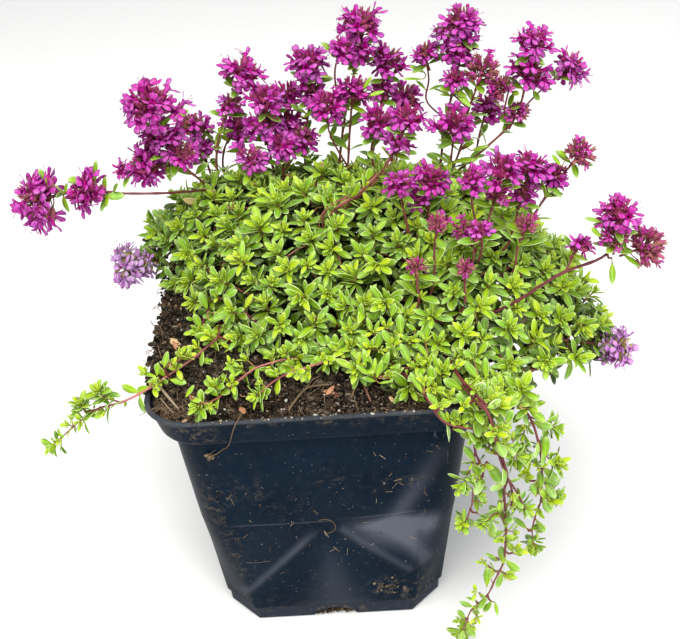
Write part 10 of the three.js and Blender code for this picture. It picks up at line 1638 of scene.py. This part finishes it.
def build_soil():
    part = Part("visual_soil", [M_SOIL])
    N = 236
    g = np.linspace(-1, 1, N)
    X, Y = np.meshgrid(g, g)
    X, Y = X.ravel(), Y.ravel()
    Xs, Ys = square_point(X, Y, 0.30)
    half = 43.25
    x, y = Xs * half, Ys * half
    rim = np.maximum(np.abs(X), np.abs(Y))
    edge = np.clip((1 - rim) / 0.05, 0, 1)
    z = soil_top(x, y) + soil_relief(x, y) * (0.35 + 0.65 * edge) - 0.5 * (1 - edge)
    # heaped a little against the lip at the front, and down inside the corner
    z += 0.8 * np.exp(-((y + 41) / 2.0) ** 2) * (noise3(np.stack([x, y, z], 1), 5, 6) * 0.8 + 0.1)
    z = np.minimum(z, 86.1 + 9 * np.clip((1 - rim) / 0.2, 0, 1))
    top = np.stack([x, y, z], 1)
    f, uv, cell = grid_shape(N, N, False, (0.0, 0.0, 1.0, 0.80))
    # skirt and underside
    loop = [j for j in range(N)] + [i * N + N - 1 for i in range(1, N)] + [(N - 1) * N + j for j in range(N - 2, -1, -1)] + [i * N for i in range(N - 2, 0, -1)]
    L = top[loop]
    levels = [(79.2, 0.962), (76.5, 0.87), (40.0, 0.80), (2.2, 0.685)]
    rings = [np.stack([L[:, 0] * k, L[:, 1] * k, np.full(len(L), zz)], 1) for zz, k in levels]
    verts = [top] + rings
    n0 = N * N
    m_ = len(L)
    ff, fuv, fcell = [], [], []
    ids = [loop] + [list(range(n0 + k * m_, n0 + (k + 1) * m_)) for k in range(len(levels))]
    for k in range(len(levels)):
        a, b = ids[k], ids[k + 1]
        for j in range(m_):
            j2 = (j + 1) % m_
            ff.append((a[j], b[j], b[j2], a[j2]))
            for (u, v) in ((j, k), (j, k + 1), (j + 1, k + 1), (j + 1, k)):
                fuv.append((u / m_, v / 4))
                fcell.append((u / m_, 0.82 + 0.1 * v / 4))
    nv = n0 + len(levels) * m_
    verts.append(np.array([[0, 0, 2.2]]))
    b = ids[-1]
    for j in range(m_):
        j2 = (j + 1) % m_
        ff.append((b[j2], b[j], nv))
        for q in (b[j2], b[j], None):
            px, py = (0, 0) if q is None else (rings[-1][q - ids[-1][0]][0], rings[-1][q - ids[-1][0]][1])
            u, v = 0.5 + px / 66, 0.5 + py / 66
            fuv.append((u, v))
            fcell.append((u * 0.07 + 0.0, 0.93 + v * 0.069))
    allv = np.vstack(verts)
    flat = noise3(allv, 2.2, 7)
    wet = np.zeros(len(allv))
    tint = np.stack([np.clip((flat - 0.35) * 1.4, 0, 0.8) * 0.7, 0.5 + 0.5 * noise3(allv, 1.3, 8), np.zeros(len(allv)), wet], 1)
    part.add(Shape(allv, f + ff, uv + fuv, cell + fcell), allv, 0, tint)
    part.cells = 1
    return part.build("soil")


def rock_shape():
    t = (1 + 5 ** 0.5) / 2
    v = np.array([(-1, t, 0), (1, t, 0), (-1, -t, 0), (1, -t, 0), (0, -1, t), (0, 1, t), (0, -1, -t), (0, 1, -t), (t, 0, -1), (t, 0, 1), (-t, 0, -1), (-t, 0, 1)], float)
    v /= np.linalg.norm(v[0])
    f = [(0, 11, 5), (0, 5, 1), (0, 1, 7), (0, 7, 10), (0, 10, 11), (1, 5, 9), (5, 11, 4), (11, 10, 2), (10, 7, 6), (7, 1, 8), (3, 9, 4), (3, 4, 2), (3, 2, 6), (3, 6, 8), (3, 8, 9), (4, 9, 5), (2, 4, 11), (6, 2, 10), (8, 6, 7), (9, 8, 1)]
    uv, cell = [], []
    for i, q in enumerate(f):
        cx, cy = (i % 5) / 5, (i // 5) / 4
        for a, b in ((0.02, 0.02), (0.18, 0.02), (0.1, 0.22)):
            uv.append((cx + a, cy + b))
            cell.append((cx + a, cy + b))
    return Shape(v, f, uv, cell)


ROCK = rock_shape()


def surface_z(x, y):
    x, y = np.atleast_1d(np.asarray(x, float)), np.atleast_1d(np.asarray(y, float))
    return soil_top(x, y) + soil_relief(x, y)


def lump(part, at, r, tint, flat=0.7):
    v = ROCK.v * (1 + rng.uniform(-0.32, 0.25, (12, 1)))
    v = v * np.array([r * rng.uniform(0.7, 1.3), r * rng.uniform(0.7, 1.3), r * rng.uniform(flat * 0.7, flat * 1.2)])
    q = rng.normal(size=3)
    v = place(v, at, perp(q), unit(q * [0.5, 0.5, 1] + [0, 0, 1.2]))
    part.add(ROCK, v, 0, tint)


def fibre(part, pts, r, tint, sides=4, mat=0):
    add_tube(part, pts, r, mat, tint, sides=sides, step=0.8)


def build_litter():
    part = Part("visual_litter", [M_SOIL, M_LEAF, M_STEM])
    def spot(frontish=True):
        while True:
            if rng.random() < 0.62:
                x, y = rng.uniform(-41.5, 41.5), -42 + abs(rng.normal(0, 9.5))
            elif rng.random() < 0.8:
                x, y = -42 + abs(rng.normal(0, 7)), rng.uniform(-41, 41)
            else:
                x, y = rng.uniform(-41, 41), rng.uniform(-41, 41)
            if abs(x) < 42 and abs(y) < 42 and not (abs(x) > 36 and abs(y) > 36 and math.hypot(abs(x) - 34, abs(y) - 34) > 8.2):
                return x, y
    # crumbs of compost
    for _ in range(5600):
        x, y = spot()
        r = float(np.clip(rng.lognormal(-1.1, 0.48), 0.15, 1.4))
        z = surface_z(x, y)[0] + r * rng.uniform(-0.1, 0.45)
        k = rng.random()
        if k < 0.60:
            t = (rng.uniform(0, 0.08), rng.random(), 0, 0)
        elif k < 0.84:
            t = (rng.uniform(0.4, 0.9), rng.uniform(0.0, 0.5), 0, 0)
        elif k < 0.972:
            t = (rng.uniform(0.5, 0.9), rng.uniform(0.6, 1.0), 0, 0)
            r *= 0.7
        else:
            t = (0, 0.5, rng.uniform(0.5, 1), 0)
            r *= 0.55
        lump(part, (x, y, z), r, t)
    # flat bits of bark and husk
    for _ in range(240):
        x, y = spot()
        z = surface_z(x, y)[0] + 0.25
        L = rng.uniform(1.0, 3.2)
        a = rng.uniform(0, 6.28)
        v = ROCK.v * np.array([0.32, L / 2, 0.12])
        v = place(v, (x, y, z), (math.cos(a), math.sin(a), rng.normal(0, 0.3)), (rng.normal(0, 0.5), rng.normal(0, 0.5), 1))
        part.add(ROCK, v, 0, (0.85, rng.random() ** 1.2, 0, 0))
    # fine roots and fibres
    for _ in range(120):
        x, y = spot()
        L = rng.uniform(2.5, 10)
        a = rng.uniform(0, 6.28)
        n = 5
        P = []
        for k in range(n):
            P.append((x, y, surface_z(x, y)[0] + rng.uniform(0.05, 0.9)))
            a += rng.normal(0, 0.6)
            x += math.cos(a) * L / n
            y += math.sin(a) * L / n
            x, y = float(np.clip(x, -42.3, 42.3)), float(np.clip(y, -42.6, 42))
        if math.hypot(max(0, abs(P[-1][0]) - 33), max(0, abs(P[-1][1]) - 33)) > 9.4:
            continue
        fibre(part, P, rng.uniform(0.05, 0.11), (0.9, rng.uniform(0.1, 0.85), 0, 0))
    # the tangle in the front left corner
    for _ in range(46):
        c = np.array([-37.5, -38.2]) + rng.normal(0, 1, 2) * [3.6, 1.6]
        a = rng.uniform(0, 6.28)
        P = []
        for k in range(6):
            P.append((c[0], c[1], 85.6 + rng.uniform(-0.6, 1.7)))
            a += rng.normal(0.25, 0.5)
            c = c + np.array([math.cos(a), math.sin(a)]) * 1.25
            d = math.hypot(max(0, abs(c[0]) - 33), max(0, abs(c[1]) - 33))
            if d > 9.6:
                c = c - (c - np.array([-33, -33])) * 0.25
        fibre(part, P, rng.uniform(0.07, 0.15), (0.95, rng.uniform(0.45, 0.85), 0, 0))
    # white grains
    for x, y, r in ((-8.2, -37.0, 1.05), (-36.5, 13.4, 0.8), (-38.0, -5.7, 0.75), (-36.1, -1.2, 0.7), (-15.4, -12.2, 1.4), (7.5, -18.0, 0.9), (-17.3, -35.5, 0.7), (-32.6, -28.1, 0.7),
                    (-2.3, -28.5, 0.7), (-3.1, -30.1, 0.55), (-0.5, -29.3, 0.6), (-24.0, -38.0, 0.7), (-18.1, -34.3, 0.5), (-9.5, -39.2, 0.5), (14, -39.5, 0.45), (-34, 5, 0.6)):
        lump(part, (x, y, surface_z(x, y)[0] + 0.35 * r), r * 0.62, (0, 0.5, 0.95, 0), 0.9)
    # dead leaves and twigs
    def dead(a, b, W, col, up=0.8, curl=0.3, fold=0.2):
        a, b = np.array(a, float), np.array(b, float)
        L = np.linalg.norm(b - a)
        v = leaf_verts(L, W, "narrow", fold=fold, curl=curl, twist=rng.normal(0, 0.5), wave=0.12)
        part.add(LEAF, place(v, a, b - a, (rng.normal(0, 0.3), -0.4, up)), 1, (0.2, col, 1.0, 0.0))
    dead((9.8, -31.6, 88.6), (4.3, -24.6, 90.6), 1.9, 0.62, curl=0.5)
    dead((25.2, -36.6, 86.6), (20.4, -33.2, 88.1), 1.8, 0.85)
    dead((3.4, -36.4, 87.0), (0.2, -33.6, 88.2), 2.2, 0.45, curl=0.9)
    dead((1.8, -36.8, 87.0), (4.4, -34.9, 88.1), 1.4, 0.5, curl=-0.7)
    dead((2.2, -35.8, 87.0), (5.6, -36.6, 86.8), 1.2, 0.35, curl=0.6)
    dead((-40.2, -12.1, 90.5), (-36.4, -15.4, 90.2), 2.4, 0.8, curl=0.5)
    dead((-38.8, -13.6, 90.4), (-37.2, -17.0, 89.6), 1.5, 0.5, curl=0.5)
    dead((-19.8, -38.6, 86.2), (-18.6, -41.6, 86.7), 2.0, 0.5)
    for _ in range(11):
        x, y = spot()
        z = surface_z(x, y)[0] + 0.5
        a = rng.uniform(0, 6.28)
        L = rng.uniform(2.0, 4.2)
        dead((x, y, z), (x + L * math.cos(a), y + L * math.sin(a), z + rng.uniform(-0.1, 0.8)), rng.uniform(0.8, 1.7), rng.random(), curl=rng.uniform(-0.6, 0.9))
    add_tube(part, [(9.2, -17.5, 93), (9.6, -25.7, 91.6), (10.8, -31.2, 89.4), (12.1, -35.6, 87.2), (13.2, -38.4, 85.4)], [0.42, 0.4, 0.5, 0.4, 0.3], 2, (0.75, 0.2, 0.5, 0.45), sides=6, step=1.2, knots=[6, 13])
    add_tube(part, [(10.9, -31.4, 89.0), (9.6, -34.5, 87.6), (8.4, -37.3, 86.4)], [0.3, 0.16], 2, (0.6, 0.2, 0.9, 0.3), sides=5, step=1.0)
    add_tube(part, [(-7.6, -41.6, 86.3), (-6.3, -38.9, 86.8), (-3.0, -35.0, 88.1), (0.4, -34.4, 88.4), (3.2, -34.2, 88.3)], [0.30, 0.34, 0.28, 0.22], 0, (0.95, 0.62, 0, 0), sides=6, step=0.9)
    add_tube(part, [(-3.0, -35.0, 88.1), (-1.6, -32.8, 88.9), (0.5, -31.5, 89.2)], [0.24, 0.12], 0, (0.95, 0.7, 0, 0), sides=5, step=0.9)
    add_tube(part, [(-41.6, -29.8, 88.4), (-39.6, -33.0, 88.0), (-35.6, -38.4, 86.5)], [0.34, 0.4, 0.25], 0, (0.95, 0.92, 0, 0), sides=6, step=0.9)
    add_tube(part, [(-40.4, -34.6, 87.2), (-38.6, -37.4, 86.8), (-36.6, -39.9, 86.3)], [0.2, 0.16], 0, (0.95, 0.85, 0, 0), sides=5, step=0.9)
    # compost and roots heaped over the left lip
    for _ in range(620):
        y = rng.uniform(-31.5, 27)
        h = (0.5 + 0.5 * math.sin(y * 0.31 + 0.8) * math.sin(y * 0.83)) * float(np.clip((y + 33) / 14, 0.15, 1))
        x = -42.0 - min(3.7, abs(rng.normal(0, 1.5)))
        z = 86.5 + rng.uniform(-0.2, 1.0) * (0.9 + 2.4 * h) * (1 - 0.16 * max(0.0, -x - 43))
        r = float(np.clip(rng.lognormal(-0.75, 0.42), 0.22, 1.3))
        k = rng.random()
        lump(part, (x, y, z), r, (rng.uniform(0, 0.08), rng.random(), 0, 0) if k < 0.62 else ((rng.uniform(0.4, 0.9), rng.uniform(0.0, 0.6), 0, 0) if k < 0.985 else (0, 0.5, 0.8, 0)))
    for _ in range(95):
        c = np.array([-42.4 + rng.normal(0, 1.2), rng.uniform(-31, 27), 88.0 + rng.uniform(-0.8, 1.6)])
        a = rng.uniform(0, 6.28)
        P = []
        for k in range(6):
            P.append(c.copy())
            a += rng.normal(0.2, 0.6)
            c = c + np.array([math.cos(a) * 0.8, math.sin(a) * 1.2, rng.normal(0, 0.45)])
            c[0] = np.clip(c[0], -46.4, -38.5)
            c[2] = np.clip(c[2], 86.8, 90.6)
        fibre(part, P, rng.uniform(0.06, 0.13), (0.95, rng.uniform(0.2, 0.8), 0, 0))
    # compost held in the drain notch: dark crumbs, which also stand in for the shade inside the notch
    for k in range(90):
        x = rng.uniform(-6.0, 6.4)
        z = rng.uniform(0.15, 0.5 + 2.0 * math.sqrt(max(0.0, 1 - (x / 6.8) ** 2)))
        r = rng.uniform(0.35, 0.85)
        lump(part, (x, rng.uniform(-31.2, -29.6), max(z, r * 1.9)), r, (rng.uniform(0.2, 0.9), rng.uniform(0.0, 0.55), 0, 0))
    # a root thread over the front of the pot, with its crumb
    P = [(-19.2, -42.4, 87.0), (-20.4, -45.15, 86.6), (-21.6, -45.3, 84.0), (-22.6, -44.4, 80.4), (-23.8, -43.0, 77.0), (-25.6, -40.4, 74.0), (-27.4, -39.9, 72.2), (-28.9, -39.85, 71.6)]
    add_tube(part, P, [0.17, 0.14, 0.12, 0.12, 0.15], 0, (0.95, 0.62, 0, 0), sides=5, step=0.8)
    for k in range(14):
        lump(part, np.array([-29.2, -39.75, 71.3]) + rng.normal(0, 1, 3) * [0.45, 0.15, 0.6], rng.uniform(0.3, 0.6), (0.9, rng.uniform(0.5, 0.85), 0, 0))
    for k in range(5):
        a = np.array([-29.2, -39.9, 71.3])
        fibre(part, [a, a + rng.normal(0, 1, 3) * [0.7, 0.12, 0.7], a + rng.normal(0, 1, 3) * [1.1, 0.15, 1.1]], 0.07, (0.95, 0.7, 0, 0))
    # a curled fibre on the star and two splinters beside it
    yw = lambda z, k=0.0: -(BASE_HALF + SLOPE * z) - 0.22 - k
    C = [(-2.6, 43.7), (-0.6, 44.0), (1.3, 42.6), (1.9, 40.2), (0.9, 38.6), (-0.6, 38.2)]
    add_tube(part, [(x, yw(z, 0.0), z) for x, z in C], 0.11, 0, (0.95, 0.55, 0, 0), sides=5, step=0.6)
    add_tube(part, [(x, yw(z, -0.1), z) for x, z in ((-1.4, 39.2), (-0.9, 37.7), (-0.2, 36.4))], [0.14, 0.26, 0.11], 0, (0.9, 0.7, 0.1, 0), sides=5, step=0.6)
    add_tube(part, [(x, yw(z, -0.02), z) for x, z in ((-24.4, 27.2), (-21, 27.0), (-17.5, 27.4))], 0.055, 0, (0.5, 0.7, 0.15, 0), sides=5, step=0.8)
    # crumbs on the lip and stuck to the walls
    for _ in range(130):
        side = rng.integers(0, 4)
        t = rng.uniform(-33, 33)
        o = 44.35 + rng.normal(0, 0.35)
        x, y = [(t, -o), (o, t), (t, o), (-o, t)][side]
        if rng.random() < 0.5:
            x, y = rng.uniform(-33, 33), -o
        lump(part, (x, y, POT_H - 0.02), float(np.clip(rng.lognormal(-1.35, 0.4), 0.12, 0.5)), (rng.choice([0.05, 0.7, 0.95]), rng.random(), rng.choice([0, 0, 0, 0.8]), 0))
    for _ in range(150):
        x = rng.uniform(-28, 30)
        z = rng.uniform(8, 74)
        k = rng.random()
        if k < 0.35:
            x, z = 15.8 + rng.normal(0, 3.2), 12.5 + rng.normal(0, 2.0)
        elif k < 0.6:
            x, z = -29 + rng.normal(0, 1.6), rng.uniform(20, 60)
        h = BASE_HALF + SLOPE * z
        if abs(x) > h - 8:
            continue
        lump(part, (x, -h - 0.02, z), float(np.clip(rng.lognormal(-1.75, 0.45), 0.08, 0.45)), (rng.uniform(0.5, 1), rng.random(), 0, 0), 0.8)
    for _ in range(46):
        x, z = rng.uniform(-28, 28), rng.uniform(9, 72)
        if rng.random() < 0.45:
            x, z = ((-27, 44), (-24, 58), (3, 58), (20, 57), (16, 12))[rng.integers(5)] + rng.normal(0, 2.4, 2)
        h = BASE_HALF + SLOPE * z
        a = rng.uniform(0, 6.28)
        L = rng.uniform(0.9, 2.6)
        if abs(x) + L > h - 8:
            continue
        if math.hypot(x - 16, z - 12) < 9:
            for _ in range(3):
                lump(part, (x + rng.normal(0, 0.8), -h - 0.02, z + rng.normal(0, 0.6)), rng.uniform(0.12, 0.38), (rng.uniform(0.5, 1), rng.random(), 0, 0), 0.8)
            continue
        add_tube(part, [(x + L * s * math.cos(a), -(BASE_HALF + SLOPE * (z + L * s * math.sin(a))) - 0.12, z + L * s * math.sin(a) + 0.3 * math.sin(s * 3)) for s in (-0.5, 0, 0.5)], 0.07, 0, (0.95, rng.uniform(0.5, 1), 0, 0), sides=4, step=0.7)
    return part.build(None)


# ------------------------------------------------------------------ make everything
build_pot()
build_soil()
build_litter()
for number, nd in enumerate(PLANT):
    rng = np.random.default_rng(300 + number)
    rows = SHOOTS.get(nd["name"], [])
    if nd["kind"] == "flower":
        build_flower_stem(nd)
    elif nd["kind"] == "branch":
        build_branch(nd, rows)
    else:
        build_creeper(nd, rows)

# ------------------------------------------------------------------ floor and light
fm = bpy.data.meshes.new("floor")
fm.from_pydata([(-6, -6, 0), (6, -6, 0), (6, 6, 0), (-6, 6, 0)], [], [(0, 1, 2, 3)])
floor_ob = bpy.data.objects.new("floor", fm)
bpy.context.scene.collection.objects.link(floor_ob)
floor_ob.location.z = -0.0002
fmat, fnt, fbs = new_mat("floor_pale", (0.86, 0.86, 0.855), 0.8)
fbs.inputs["Specular IOR Level"].default_value = 0.1
fm.materials.append(fmat)

world = bpy.data.worlds.new("studio")
bpy.context.scene.world = world
world.use_nodes = True
world.node_tree.nodes["Background"].inputs[0].default_value = (0.93, 0.96, 1.0, 1)
world.node_tree.nodes["Background"].inputs[1].default_value = WORLD


def area(name, loc, target, size, power, color=(1, 1, 1)):
    ld = bpy.data.lights.new(name, "AREA")
    ld.shape = "RECTANGLE"
    ld.size, ld.size_y = size
    ld.energy = power
    ld.color = color
    ob = bpy.data.objects.new(name, ld)
    bpy.context.scene.collection.objects.link(ob)
    ob.location = loc
    ob.rotation_euler = (Vector(target) - Vector(loc)).to_track_quat("-Z", "Y").to_euler()
    return ob


area("key", (-0.06, -0.42, 0.98), (0, 0, 0.09), (0.95, 0.95), KEY, (1.0, 0.985, 0.95))
area("fill", (0.70, -0.75, 0.40), (0, 0, 0.06), (0.7, 0.7), FILL, (0.96, 0.98, 1.0))

sc = bpy.context.scene
sc.view_settings.view_transform = "Standard"
sc.view_settings.look = "None"
sc.view_settings.exposure = 0.0
sc.view_settings.gamma = 1.0
